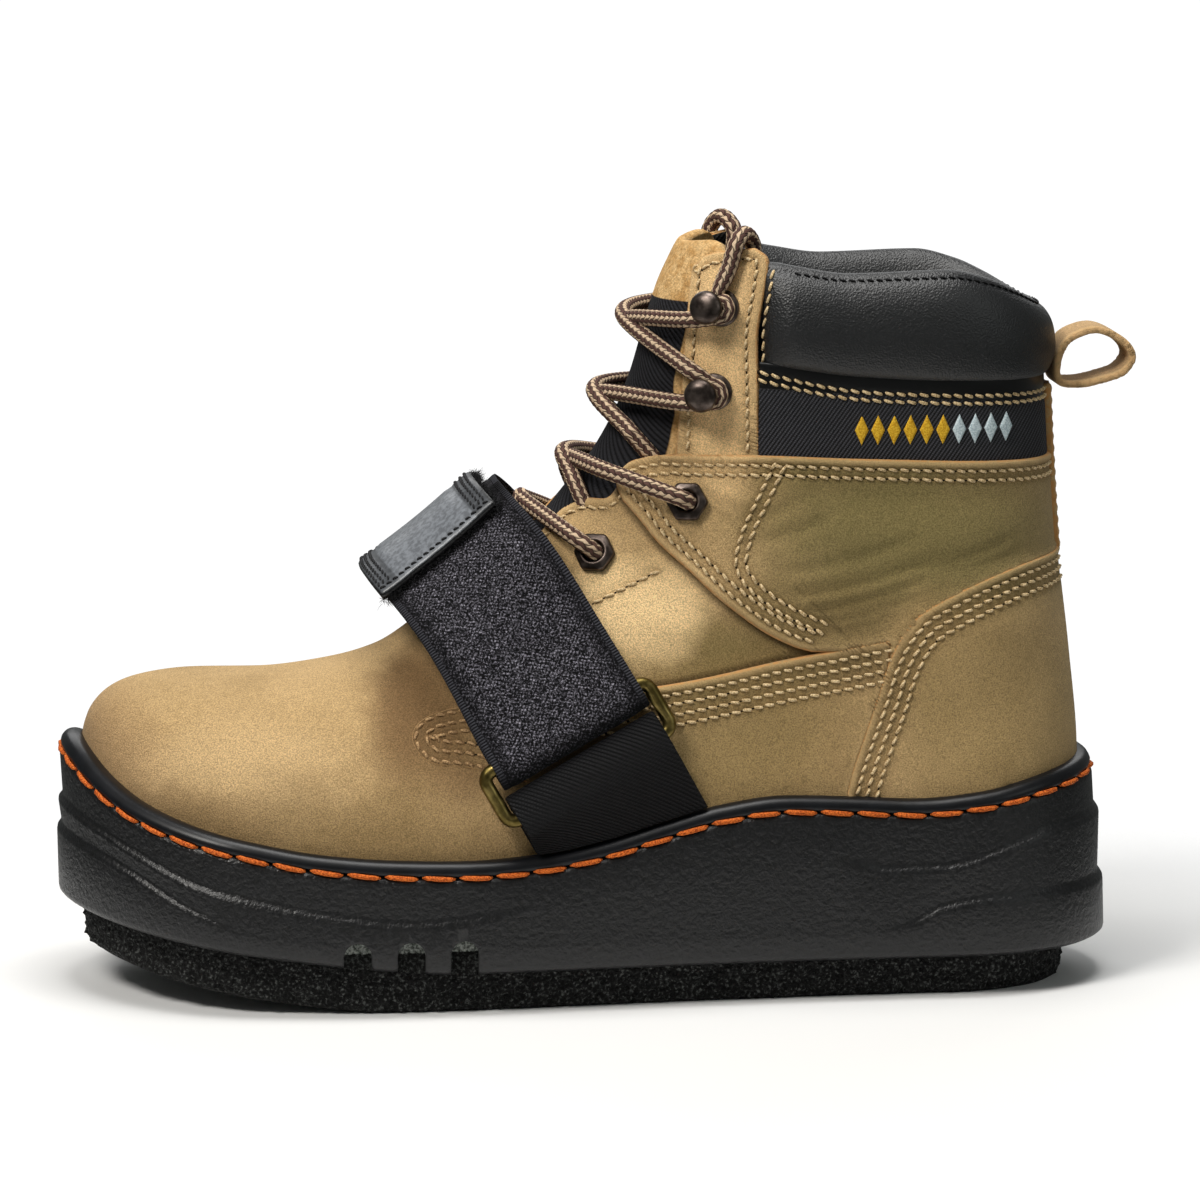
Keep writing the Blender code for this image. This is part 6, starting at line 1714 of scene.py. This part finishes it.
def make_pull_loop(looks):
    """Loop of suede with frayed edges."""
    path = smooth_path(PULL_LOOP, 12, closed=True)
    along = unit(np.roll(path, -1, axis=0) - np.roll(path, 1, axis=0))
    out = np.stack([-along[:, 1], along[:, 0]], axis=1)
    half, thick = LOOP_HALF_WIDTH, LOOP_THICK / 2
    flat = np.linspace(-half + 1.6, half - 1.6, 9)
    widths = [-half + 0.1, -half + 0.5, *flat, half - 0.5, half - 0.1]
    shares = [0.55, 0.9] + [1.0] * 9 + [0.9, 0.55]
    section = list(zip(widths, shares)) + [(w, -s) for w, s in zip(widths[::-1], shares[::-1])]
    loops, away = [], []
    for w, s in section:
        fray = rng.normal(size=len(path)) * (LOOP_FRAY if abs(w) > half - 1 else LOOP_GRAIN)
        plan = path + out * (s * thick)
        loops.append(np.column_stack([plan[:, 0], w + fray, plan[:, 1]]))
        away.append(np.full(len(path), half - abs(w)))
    ring_piece("pull_loop", loops, [looks["suede"]], ["pull_loop"], {"edge": np.concatenate(away)})


# Eyelets, hooks and laces

EyeletLoop = namedtuple("EyeletLoop", "radius height hexagon")
EYELET_LOOPS = table_of(
    EyeletLoop, (2.9, -4.0, 0.0), (2.9, 0.9, 0.0), (3.1, 1.5, 0.0), (3.7, 1.75, 0.0), (4.2, 1.5, 0.0),
    (5.3, 1.35, 1.0), (5.9, 1.1, 1.0), (6.2, 0.7, 1.0), (6.2, -1.0, 1.0), (3.3, -1.0, 0.0),
    (3.3, -4.0, 0.0),
)
HookLoop = namedtuple("HookLoop", "radius height forward")
HOOK_LOOPS = table_of(
    HookLoop, (5.4, 0.0, 0.0), (5.4, 0.5, 0.0), (5.0, 0.9, 0.0), (2.4, 1.1, 0.0), (1.8, 1.8, 0.0),
    (1.8, HOOK_LIFT - 0.6, 0.8), (2.6, HOOK_LIFT, 1.2), (4.5, HOOK_LIFT + 0.1, 1.6),
    (4.9, HOOK_LIFT + 0.6, 1.8), (4.75, HOOK_LIFT + 1.4, 1.8), (4.0, HOOK_LIFT + 2.3, 1.8),
    (2.6, HOOK_LIFT + 2.95, 1.8), (0.9, HOOK_LIFT + 3.2, 1.8),
)
ROUND_SIDES, HEX_BLUNT = 48, 0.965


def turned_loops(place, axis, loops, hexagon=False):
    """Loops about an axis, the hexagonal ones with blunt corners."""
    across = unit(np.cross(axis, [0.0, 0.0, 1.0]))
    angle = circle(ROUND_SIDES)
    way = spokes(across, np.cross(axis, across), angle)
    six = np.minimum(math.cos(math.pi / 6) / np.cos(angle % (math.pi / 3) - math.pi / 6), HEX_BLUNT)
    made = []
    for loop in loops:
        radius = loop.radius * (six if hexagon and loop.hexagon else np.ones(ROUND_SIDES))
        made.append(place + axis * loop.height + way * radius[:, None])
    return made


def spot(level, side):
    """Place of a lace level on the upper, and its normal."""
    place, normal = skin(np.array([level.x]), np.array([level.z]), side)
    return place[0], normal[0]


def make_hardware(looks):
    """Eyelets and lace hooks on both sides."""
    bronze = [looks["bronze"]]
    for side, word in SIDES:
        for level in EYELETS:
            place, normal = spot(level, side)
            name = "eyelet_%s_%s" % (level.name, word)
            loops = turned_loops(place + normal * (level.layer + PLATE_CLEAR), normal, EYELET_LOOPS, True)
            ring_piece(name, loops, bronze, [name])
        for level in HOOKS:
            place, normal = spot(level, side)
            name = "hook_%s_%s" % (level.name, word)
            loops = turned_loops(place + normal * PLATE_CLEAR, normal, HOOK_LOOPS)
            ahead = unit(np.array([1.0, 0.0, 0.0]) - normal * normal[0])
            loops = [loop + ahead * row.forward for loop, row in zip(loops, HOOK_LOOPS)]
            faces = tube_faces(len(loops), ROUND_SIDES)
            add_piece(name, np.concatenate(loops), faces, bronze, [name])


BRAID_COLUMNS, BRAID_PITCH, BRAID_STEP, BRAID_SIDES = 12, 2.3, 0.6, 48
HOOK_SQUEEZE, HOOK_REACH, HOOK_TURN = 0.48, 6.5, 3.0


def add_lace(name, path, node, looks):
    """Braided cord along a path, with a map that runs around and along it."""
    path = even(smooth_path(path, 20), BRAID_STEP)
    along = unit(np.gradient(path, axis=0))
    across = np.empty_like(path)
    way = np.cross(along[0], [0.3, 0.2, 0.93])
    for i, a in enumerate(along):
        way = way - a * np.dot(way, a)
        way = way / np.linalg.norm(way)
        across[i] = way
    turn = np.arange(BRAID_SIDES) / BRAID_SIDES
    run = run_lengths(path)[:, None] / BRAID_PITCH
    column = np.floor(turn * BRAID_COLUMNS)[None, :]
    lean = (turn * BRAID_COLUMNS)[None, :] - column - 0.5
    odd = column % 2
    bump = np.abs(np.sin(np.pi * (run + (1 - 2 * odd) * lean * 0.7 + 0.5 * odd))) ** 0.6
    posts = np.array([spot(level, side)[0] for level in HOOKS for side, _ in SIDES])
    thin = 1.0 - HOOK_SQUEEZE * np.exp(-(nearest(posts, path) / HOOK_REACH) ** 4)
    radius = LACE_RADIUS * thin[:, None] * (0.9 + 0.1 * bump * np.sqrt(1 - (1.6 * lean) ** 2))
    points = path[:, None] + spokes(across, np.cross(along, across), 2 * np.pi * turn) * radius[:, :, None]
    faces = tube_faces(len(path), BRAID_SIDES)
    obj = add_piece(name, points.reshape(-1, 3), faces, [looks["lace"]], [node], outward=False)
    layer = obj.data.uv_layers.new(name="braid")
    first = np.arange(BRAID_SIDES)
    u = np.stack([first, first + 1, first + 1, first], axis=1) / BRAID_SIDES * BRAID_COLUMNS
    u = np.tile(u, (len(path) - 1, 1))
    v = np.stack([run[:-1, 0], run[:-1, 0], run[1:, 0], run[1:, 0]], axis=1)
    v = np.repeat(v, BRAID_SIDES, axis=0)
    uv = np.concatenate([np.stack([u, v], axis=2).reshape(-1, 2), np.zeros((2 * BRAID_SIDES, 2))])
    layer.data.foreach_set("uv", uv.ravel())
    return obj, path


def skin_at(x, z, side, offset):
    return skin(np.array([x]), np.array([z]), side, np.array([offset]))[0][0]


def toward(level, ridge, run):
    way = np.array([ridge[0] - level.x, ridge[1] - level.z])
    way = way / np.linalg.norm(way)
    return level.x + run * way[0], level.z + run * way[1]


HOOK_SEAT, HOOK_NEAR, HOOK_EASE = PLATE_CLEAR + 1.0 + GAP + LACE_RADIUS, 9.0, 0.6


def hook_turn(level, side, ridge):
    """Lace round the back of a hook's post, from below it to above it."""
    points = []
    for angle in np.radians([-90, -45, 0, 45, 90]):
        x, z = level.x - HOOK_TURN * math.cos(angle), level.z + HOOK_TURN * math.sin(angle)
        points.append(skin_at(x, z, side, HOOK_SEAT))
    near = toward(level, ridge, HOOK_NEAR)
    return points + [skin_at(near[0], near[1] + HOOK_TURN * HOOK_EASE, side, HOOK_SEAT)]


def lace_start(level, side, ridge):
    """Lace leaving a level: from a hook, or from under the edge beside an eyelet."""
    if level in HOOKS:
        return hook_turn(level, side, ridge)
    under, edge, over = (toward(level, ridge, level.edge_run + d) for d in (-6.0, 0.0, 3.0))
    return [skin_at(*under, side, -WALL - 0.6), skin_at(*edge, side, 0.3), skin_at(*over, side, 1.0)]


def lace_finish(level, side, ridge):
    """Lace coming to a level: to the underside of a hook, or down through an eyelet."""
    if level in HOOKS:
        near = toward(level, ridge, HOOK_NEAR)
        return [skin_at(near[0], near[1] - HOOK_TURN * HOOK_EASE, side, HOOK_SEAT),
                skin_at(level.x, level.z - HOOK_TURN, side, HOOK_SEAT)]
    seat = level.layer + PLATE_CLEAR + EYELET_PLATE + 0.4
    place, normal = spot(level, side)
    near, half = toward(level, ridge, 5.5), toward(level, ridge, level.edge_run)
    return [skin_at(*half, side, level.layer + LACE_RADIUS + 1.4), skin_at(*near, side, seat + 3.4),
            place + normal * (seat + 1.0), place - normal * 3.0]


def make_laces(looks):
    """Lace crossings, and the two ends that go over the tongue into the boot."""
    for crossing in LACE_CROSSINGS:
        ridge = (crossing.ridge_x, crossing.ridge_z)
        name = "lace_crossing_%d" % crossing.number
        for side, lift, word in ((LATERAL, 2.0, "over"), (MEDIAL, 0.0, "under")):
            middle = np.array([ridge[0] + 0.7 * lift, 0.0, ridge[1] + 0.7 * lift])
            path = lace_start(crossing.lower, side, ridge) + [middle]
            path += lace_finish(crossing.upper, -side, ridge)
            add_lace(name + "_" + word, path, name, looks)
    for side, word in SIDES:
        path = hook_turn(HOOKS[1], side, (-12.4, 215.0))[:5]
        for x, z, offset, rise in LACE_OVER:
            path.append(skin_at(x, z, side, offset) + np.array([0.0, 0.0, rise]))
        obj, line = add_lace("lace_end_" + word, path, "lace_end_" + word, looks)


# Strap, ring and webbing

ridge_z = Curve([s.top_x for s in ALL_SECTIONS[2:]], [s.top_z for s in ALL_SECTIONS[2:]])


STRAP_ABOVE, STRAP_BELOW = 40.0, 20.0


def strap_path(across):
    """Side view path of the strap at a place across it, from the ridge down."""
    middle = smooth_path(STRAP_LINE, 8)
    along = unit(np.gradient(middle, axis=0))
    path = middle + np.stack([-along[:, 1], along[:, 0]], axis=1) * across * STRAP_HALF
    above = path[0] - along[0] * np.arange(STRAP_ABOVE, 0.0, -0.5)[:, None]
    below = path[-1] + along[-1] * np.arange(0.5, STRAP_BELOW, 0.5)[:, None]
    path = even(np.concatenate([above, path, below]), 0.25)
    return path[np.nonzero(path[:, 1] < ridge_z(path[:, 0]))[0][0]:]


def first_run(path, test):
    """Run along a path at which a test is first passed, or the whole run."""
    fine = np.linspace(0.0, run_lengths(path)[-1], 600)
    passed = np.nonzero(test(at_runs(path, fine)))[0]
    return fine[passed[0]] if len(passed) else fine[-1]


def past(distance):
    """Test for places further down the strap than the ring's middle by a distance."""
    centre = np.array(STRAP_LINE[RING_POINT])
    along = unit(np.array(STRAP_LINE[RING_POINT + 1]) - np.array(STRAP_LINE[RING_POINT - 1]))
    return lambda p: (p - centre) @ along > distance


def at_rim(p):
    """Test for places where a strap ends over the rim."""
    return p[:, 1] < rim_z(p[:, 0]) + STRAP_CLEAR


def strap_lift(across, run):
    """Lift of the strap over the laces, which fades out down the side."""
    share = (1.0 - across) / 2
    lift = STRAP_LIFT_FRONT + (STRAP_LIFT_REAR - STRAP_LIFT_FRONT) * share
    return lift * 0.5 * (1 + np.cos(np.pi * np.clip(run / STRAP_LIFT_RUN, 0.0, 1.0)))


class RingPlace:
    """Middle, long axis, down axis and outward axis of the strap's ring."""

    def __init__(self):
        lift = STRAP_BASE + STRAP_THICK + GAP + BAR_RADIUS
        corners = {}
        for across in (-1, 1):
            path = strap_path(across)
            for down in (-1, 1):
                x, z = at_runs(path, [first_run(path, past(down * RING_HALF_WIDTH))])[0]
                corners[across, down] = skin_at(x, z, LATERAL, lift)
        self.long = unit(corners[1, 1] + corners[1, -1] - corners[-1, 1] - corners[-1, -1])
        down = corners[1, 1] + corners[-1, 1] - corners[1, -1] - corners[-1, -1]
        self.down = unit(down - self.long * np.dot(down, self.long))
        self.out = np.cross(self.down, self.long)
        if self.out[1] < 0:
            self.out = -self.out
        self.middle = sum(corners.values()) / 4 + self.out * RING_LIFT

    def turn(self, near, down, steps=16):
        """Half turn about the upper (-1) or lower (1) bar, from under it to over it."""
        along = self.long * np.dot(near - self.middle, self.long)
        bar = self.middle + along + self.down * down * RING_HALF_WIDTH
        radius = BAR_RADIUS + GAP + FOLD_CLEAR + STRAP_THICK / 2
        angle = np.linspace(-np.pi / 2, np.pi / 2, steps)[:, None]
        past_bar = -down * (radius + FOLD_SLACK) * np.cos(angle) * self.down
        return bar + past_bar + radius * np.sin(angle) * self.out


ACROSS = np.concatenate([[-1.0, -0.985], np.linspace(-0.96, 0.96, 35), [0.985, 1.0]])


def strap_points(across, runs, side, level):
    """Points of the strap on one side, at runs from the ridge and a level over the upper."""
    place = at_runs(strap_path(across), runs)
    points, normals = skin(place[:, 0], place[:, 1], side, level)
    way = unit(normals + np.array([0.0, 0.0, LIFT_UPWARD]))
    return points + way * strap_lift(across, runs)[:, None]


# Distance of each line from the strap's edge, as far as its thickness changes
STRAP_EDGE = np.clip((1.0 - np.abs(ACROSS)) * STRAP_HALF, 0, 5)
KINK_ROUNDS, GRID_ROUNDS = 6, 12


def eased(lines, rounds):
    """Points or lines drawn towards their neighbours, the first and the last one kept."""
    for _ in range(rounds):
        lines = np.concatenate([lines[:1], (lines[:-2] + 2 * lines[1:-1] + lines[2:]) / 4, lines[-1:]])
    return lines


def strap_grid(ring):
    """Middle surface of the instep strap: up the inner side, over, round the ring and back to the ridge."""
    lines = []
    level = STRAP_BASE + STRAP_THICK / 2
    for across in ACROSS:
        path = strap_path(across)
        inner = first_run(path, at_rim) * np.linspace(1.0, 0.0, 70) ** RUN_POWER
        bar = first_run(path, past(-RING_HALF_WIDTH)) - BAR_APPROACH
        outer = bar * np.linspace(0.0, 1.0, 61) ** RUN_POWER
        up = strap_points(across, inner, MEDIAL, level)
        over = strap_points(across, outer[1:], LATERAL, level)
        turn = ring.turn(over[-1], -1)
        flap = strap_points(across, outer[-10:9:-1], LATERAL, level + STRAP_THICK + GAP)
        lines.append(eased(np.concatenate([up, over, turn, flap]), KINK_ROUNDS))
    return eased(np.array(lines), GRID_ROUNDS)


def webbing_grid(ring):
    """Middle surface of the ring's webbing: up from the rim, round the lower bar and down again."""
    lines = []
    level = STRAP_BASE + STRAP_THICK / 2
    for across in ACROSS:
        path = strap_path(across)
        low_end = first_run(path, at_rim)
        bar = min(first_run(path, past(RING_HALF_WIDTH)) + WEBBING_APPROACH, low_end - STRAP_THICK)
        p = at_runs(path, np.linspace(low_end, bar, 24))
        up = skin(p[:, 0], p[:, 1], LATERAL, level)[0]
        turn = ring.turn(up[-1], 1)
        over = level + STRAP_THICK + GAP + WEBBING_BULGE * np.linspace(1.0, 0.0, 24)
        down = skin(p[::-1, 0], p[::-1, 1], LATERAL, over)[0]
        lines.append(np.concatenate([up, turn, down]))
    return np.array(lines)


def tab_grid():
    """Middle surface of the patch on the strap's end: from the outer side over the ridge."""
    level = STRAP_BASE + 2 * (STRAP_THICK + GAP) + TAB_CLEAR + TAB_THICK / 2
    shares = np.linspace(1.0, 0.0, 20) ** RUN_POWER
    lines = []
    for across in np.interp(ACROSS, [-1.0, 1.0], [TAB_REAR, TAB_FRONT]):
        outer = strap_points(across, TAB_OUTER_RUN * shares, LATERAL, level)
        inner = strap_points(across, TAB_INNER_RUN * shares[-2::-1], MEDIAL, level)
        line = np.concatenate([outer, inner])
        lines.append(values_at(TAB_SHARES, run_lengths(line) / run_lengths(line)[-1], line))
    return eased(np.array(lines), GRID_ROUNDS)


def sheet_faces(wide, long):
    """Faces of a closed sheet: a grid of points, the same grid again under it, and the rim between them."""
    under = wide * long
    a, s = np.meshgrid(np.arange(wide - 1), np.arange(long - 1), indexing="ij")
    first = (a * long + s).ravel()
    quads = np.stack([first, first + 1, first + long + 1, first + long], axis=1)
    rim = list(range(long)) + [i * long + long - 1 for i in range(1, wide)]
    rim += [(wide - 1) * long + s for s in range(long - 2, -1, -1)]
    rim += [i * long for i in range(wide - 2, 0, -1)]
    faces = quads.tolist() + (quads[:, ::-1] + under).tolist()
    return faces + [[i, j, under + j, under + i] for i, j in zip(rim, rim[1:] + rim[:1])]


def band_normals(grid):
    return unit(np.cross(np.gradient(grid, axis=1), np.gradient(grid, axis=0)))


def add_band(name, grid, thick, look, nodes, edge=None):
    """Strip of some thickness about a grid of lines, with its places across and along for the weave."""
    wide, long = grid.shape[:2]
    half = band_normals(grid) * np.broadcast_to(thick, (wide, long))[:, :, None] / 2
    points = np.concatenate([(grid + half * way).reshape(-1, 3) for way in (1, -1)])
    side, run = run_lengths(grid[:, long // 2]), run_lengths(grid[wide // 2])
    values = {"across": np.tile(np.repeat(side - side[-1] / 2, long), 2), "along": np.tile(run, 2 * wide)}
    if edge is not None:
        values["edge"] = edge.ravel()
    return add_piece(name, points, sheet_faces(wide, long), [look], nodes, values)


def grid_line(grid, normals, across, along, rise):
    """Line over a band from row and column shares to others, with its normals."""
    rows = np.linspace(across[0], across[1], 60) * (grid.shape[0] - 1)
    columns = np.linspace(along[0], along[1], 60) * (grid.shape[1] - 1)
    out = unit(look_up_points(normals, rows, columns))
    return look_up_points(grid, rows, columns) + out * rise, out


FIBRE_SIDES, FIBRE_THICK = 3, 0.07


def fibres(name, roots, ways, length, look):
    """Short curved fibres as one piece."""
    count = len(roots)
    side = unit(np.cross(ways, rng.normal(size=(count, 3))))
    long = length * rng.uniform(0.4, 1.0, size=(count, 1))
    bend = rng.uniform(-0.7, 0.7, size=(count, 1))
    ring = spokes(side, np.cross(ways, side), circle(FIBRE_SIDES)) * FIBRE_THICK
    points = []
    for s in (0.0, 0.5, 1.0):
        centre = roots + ways * long * s + side * long * bend * s * s
        points.append(centre[:, None] + ring * (1.0 - 0.6 * s))
    block = len(points) * FIBRE_SIDES
    faces = repeated(tube_faces(len(points), FIBRE_SIDES), count, block)
    add_piece(name, np.stack(points, axis=1).reshape(-1, 3), faces, [look])


# Column of the strap's grid at the middle of its turn round the ring, and how fast the shade there fades
FOLD_COLUMN, FOLD_SHADE = 138, 1.7


PILE_DEPTH, WIRE_SIDES = 0.12, 20


def make_strap(looks):
    """Instep strap with thin edges, shaded by its end and by its fold; then webbing, patch and ring."""
    ring = RingPlace()
    grid = strap_grid(ring)
    thick = np.interp(STRAP_EDGE, [0.0, 0.3, 3.2, 3.9], [0.5, 0.9, 1.0, STRAP_THICK])[:, None]
    pile = np.where(STRAP_EDGE > 3.6, 1.0, 0.0)[:, None] * rng.normal(size=grid.shape[:2]) * PILE_DEPTH
    # Distance to the strap's end under the patch and to its fold, which sets its painted shade.
    run = run_lengths(grid[len(grid) // 2])
    shade = np.minimum(run[-1] - run, FOLD_SHADE * np.abs(run - run[FOLD_COLUMN]))
    shade = np.tile(shade, (2 * len(grid), 1))
    add_band("strap_weave", grid, thick + pile, looks["strap"], ["strap"], shade)
    make_webbing(ring, looks)
    make_tab(looks)
    make_ring(ring, looks)


def make_webbing(ring, looks):
    """Webbing that holds the ring, with two stitch rows across it."""
    web = webbing_grid(ring)
    thick = np.interp(STRAP_EDGE, [0.0, 0.3, 1.0], [0.6, 1.1, STRAP_THICK])[:, None]
    add_band("webbing_weave", web, thick, looks["webbing"], ["ring_webbing"])
    normals = band_normals(web)
    lines = [grid_line(web, normals, (0.06, 0.94), (a, a), STRAP_THICK / 2) for a in (0.84, 0.90)]
    add_stitches("webbing_stitches", lines, looks["grey_thread"], 2.4, 0.4, 0.35)


def make_ring(ring, looks):
    """Rectangular ring of round wire with rounded corners."""
    outline = []
    for sx, sy, start in ((1, 1, 0), (-1, 1, 90), (-1, -1, 180), (1, -1, 270)):
        for angle in np.radians(np.linspace(start, start + 90, 9)):
            along = sx * (RING_HALF_LENGTH - RING_CORNER) + RING_CORNER * math.cos(angle)
            down = sy * (RING_HALF_WIDTH - RING_CORNER) + RING_CORNER * math.sin(angle)
            outline.append(ring.middle + ring.long * along + ring.down * down)
    path = even(np.array(outline + outline[:1]), 1.0)[:-1]
    along = unit(np.roll(path, -1, axis=0) - np.roll(path, 1, axis=0))
    outward = np.cross(along, ring.out)
    loops = [path + BAR_RADIUS * (math.cos(a) * outward + math.sin(a) * ring.out) for a in circle(WIRE_SIDES)]
    ring_piece("ring_wire", loops, [looks["brass"]], ["ring"])


# Patch: distances of its stitch lines and of its raised middle from its edges, and its roundness
TAB_STITCHES = (2.6, 4.7, 6.8)
TAB_SHARES = np.concatenate([[0.0, 0.02, 0.06], np.linspace(0.1, 0.9, 25), [0.94, 0.98, 1.0]])


TAB_MIDDLE_ACROSS, TAB_MIDDLE_ALONG, TAB_MIDDLE_BLEND, TAB_ROUND, TAB_LIFT = 8.2, 3.4, 1.2, 0.8, 1.35
FRAY_COUNT, FRAY_SPREAD, FRAY_LENGTH = 12, 0.6, 2.6


def make_tab(looks):
    """Thick patch on the strap's end: raised middle, stitch lines by each short side, edge stitching."""
    grid = tab_grid()
    width = (TAB_FRONT - TAB_REAR) * STRAP_HALF
    depth = run_lengths(grid[len(grid) // 2])[-1]
    edge_across = ((1.0 - np.abs(ACROSS)) * width / 2)[:, None]
    edge_along = (np.minimum(TAB_SHARES, 1 - TAB_SHARES) * depth)[None, :]
    edge = np.minimum(edge_across, edge_along)
    round_off = np.sqrt(1 - (1 - np.clip(edge / TAB_ROUND, 0, 1)) ** 2)
    middle = np.clip((edge_across - TAB_MIDDLE_ACROSS) / TAB_MIDDLE_BLEND, 0, 1)
    middle = middle * np.clip((edge_along - TAB_MIDDLE_ALONG) / TAB_MIDDLE_BLEND, 0, 1)
    thick = TAB_THICK - 0.8 + 0.6 * round_off - 0.4 * (1 - round_off) + 0.7 * middle
    # The underside has no edge distance, so it takes the full painted shade.
    edges = np.stack([edge, 0 * edge])
    add_band("strap_tab_patch", grid, thick, looks["patch"], ["strap_tab"], edges)
    normals = band_normals(grid)
    places = [a for d in TAB_STITCHES for a in (d / width, 1 - d / width)]
    lines = [grid_line(grid, normals, (a, a), (0.08, 0.92), TAB_LIFT) for a in places]
    lines += [grid_line(grid, normals, (0.03, 0.97), (s, s), TAB_LIFT) for s in (0.06, 0.94)]
    add_stitches("tab_stitches", lines, looks["grey_thread"], 2.2, 0.4, 0.32)
    low = grid_line(grid, normals, (0.0, 1.0), (0.0, 0.0), -1.0)
    end = grid_line(grid, normals, (0.0, 0.0), (0.0, 1.0), -0.8)
    under, out = (np.repeat(np.concatenate(part), FRAY_COUNT, axis=0) for part in zip(low, end, end))
    roots = under + rng.normal(size=under.shape) * FRAY_SPREAD
    ways = unit(-out * 0.6 + rng.normal(size=roots.shape))
    fibres("strap_fray", roots, ways, FRAY_LENGTH, looks["black_thread"])


# Plain row of embroidered diamonds on the collar band

DIAMONDS, YELLOW_SHARE = 10, 6


DIAMOND_X, DIAMOND_Z, DIAMOND_STEP, DIAMOND_HALF, DIAMOND_RISE = -76.5, 166.2, -4.7, (2.0, 4.4), 0.55


def make_diamonds(looks):
    """Row of raised diamonds on each side, in two colours."""
    fine = np.linspace(-1, 1, 13)
    a, b = (g.ravel() for g in np.meshgrid(fine, fine, indexing="ij"))
    rise = DIAMOND_RISE * np.sqrt(np.clip(1 - np.maximum(np.abs(a), np.abs(b)) ** 4, 0, 1))
    z = DIAMOND_Z + DIAMOND_HALF[1] * (a - b) / 2
    block = sheet_faces(len(fine), len(fine))
    for colour, numbers in (("yellow", range(YELLOW_SHARE)), ("white", range(YELLOW_SHARE, DIAMONDS))):
        points = []
        for side, _ in SIDES:
            for n in numbers:
                x = DIAMOND_X + DIAMOND_STEP * n + DIAMOND_HALF[0] * (a + b) / 2
                points += [skin(x, z, side, BAND_LEVEL + lift)[0] for lift in (rise, OVERLAY_FOOT + 0 * rise)]
        faces = repeated(block, len(points) // 2, 2 * len(a))
        add_piece("diamonds_" + colour, np.concatenate(points), faces, [looks["thread_" + colour]])


# Stage

TARGET, DISTANCE, ELEVATION, YAW = Vector((0.0, 0.0, 0.108)), 1.70, 9.0, 5.0
FOCAL_PX, FRAME_PX, SENSOR = 5778.93, 1200.0, 36.0
CENTRE_PX = (585.64, 613.80)


def add_camera():
    data = bpy.data.cameras.new("camera")
    camera = bpy.data.objects.new("camera", data)
    bpy.context.scene.collection.objects.link(camera)
    yaw, up = math.radians(YAW), math.radians(ELEVATION)
    away = Vector((math.sin(yaw) * math.cos(up), math.cos(yaw) * math.cos(up), math.sin(up)))
    camera.location = TARGET + DISTANCE * away
    camera.rotation_euler = (-away).to_track_quat("-Z", "Y").to_euler()
    data.sensor_width = SENSOR
    data.lens = FOCAL_PX / FRAME_PX * SENSOR
    data.shift_x = (FRAME_PX / 2 - CENTRE_PX[0]) / FRAME_PX
    data.shift_y = (CENTRE_PX[1] - FRAME_PX / 2) / FRAME_PX
    bpy.context.scene.camera = camera


AreaLight = namedtuple("AreaLight", "name x y z size_x size_y power colour")
LIGHTS = table_of(
    AreaLight,
    ("key", 0.75, 0.75, 1.25, 0.45, 0.45, 15.5, (1.0, 0.97, 0.92)),
    ("top", 0.0, 0.15, 1.5, 0.8, 0.6, 14.5, (1.0, 0.99, 0.97)),
    ("fill", -1.2, 0.9, 0.7, 0.6, 0.9, 2.0, (0.95, 1.0, 0.97)),
    ("back", -0.2, -1.6, 1.2, 2.0, 1.0, 12.0, (1.0, 1.0, 1.0)),
)
WORLD_COLOUR = (0.95, 1.0, 0.96, 1.0)
WORLD_LIGHT, WORLD_SEEN = 0.12, 1.05
FLOOR_FADE = (0.17, 0.36)


def add_light(light):
    """Area light aimed at the boot."""
    data = bpy.data.lights.new(light.name, "AREA")
    data.shape = "RECTANGLE"
    data.size, data.size_y = light.size_x, light.size_y
    data.energy = light.power
    data.color = light.colour
    lamp = bpy.data.objects.new(light.name, data)
    lamp.location = (light.x, light.y, light.z)
    lamp.rotation_euler = (TARGET - lamp.location).to_track_quat("-Z", "Y").to_euler()
    bpy.context.scene.collection.objects.link(lamp)


def add_world():
    """Dim light from all around, and a white background where the camera sees the world."""
    world = bpy.data.worlds.new("studio")
    bpy.context.scene.world = world
    world.use_nodes = True
    tree = world.node_tree
    kinds = ("ShaderNodeBackground", "ShaderNodeBackground", "ShaderNodeMixShader", "ShaderNodeLightPath")
    lit, seen, mixed, path = (tree.nodes.new(kind) for kind in kinds)
    white = (1.0, 1.0, 1.0, 1.0)
    for node, colour, strength in ((lit, WORLD_COLOUR, WORLD_LIGHT), (seen, white, WORLD_SEEN)):
        node.inputs["Color"].default_value = colour
        node.inputs["Strength"].default_value = strength
    for i, socket in enumerate((path.outputs["Is Camera Ray"], lit.outputs[0], seen.outputs[0])):
        tree.links.new(socket, mixed.inputs[i])
    tree.links.new(mixed.outputs[0], tree.nodes["World Output"].inputs["Surface"])


def add_stage():
    """White floor that fades out around the boot, lights and world."""
    look = Look("floor", roughness=0.9, base_color=(0.86, 0.86, 0.86, 1.0))
    far = look.add("ShaderNodeVectorMath", {0: look.place}, operation="LENGTH").outputs["Value"]
    look.set("Alpha", look.between(far, FLOOR_FADE[0], FLOOR_FADE[1], 1.0, 0.0))
    bpy.ops.mesh.primitive_plane_add(size=4.0 * FLOOR_FADE[1], location=(0.0, 0.0, 0.0))
    floor = bpy.context.object
    floor.name = "floor"
    floor.data.materials.append(look.material)
    for light in LIGHTS:
        add_light(light)
    add_world()
    bpy.context.scene.view_settings.view_transform = "Standard"


def main():
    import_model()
    looks = make_looks()
    add_camera()
    add_stage()
    plan = Plan()
    make_midsole(plan, looks)
    make_welt(plan, looks)
    make_pad(looks)
    make_insole(plan, looks)
    make_upper_pieces(looks)
    make_collar_pad(looks)
    make_tongue(looks)
    make_backstay(looks)
    make_pull_loop(looks)
    make_hardware(looks)
    make_laces(looks)
    make_strap(looks)
    make_diamonds(looks)


main()
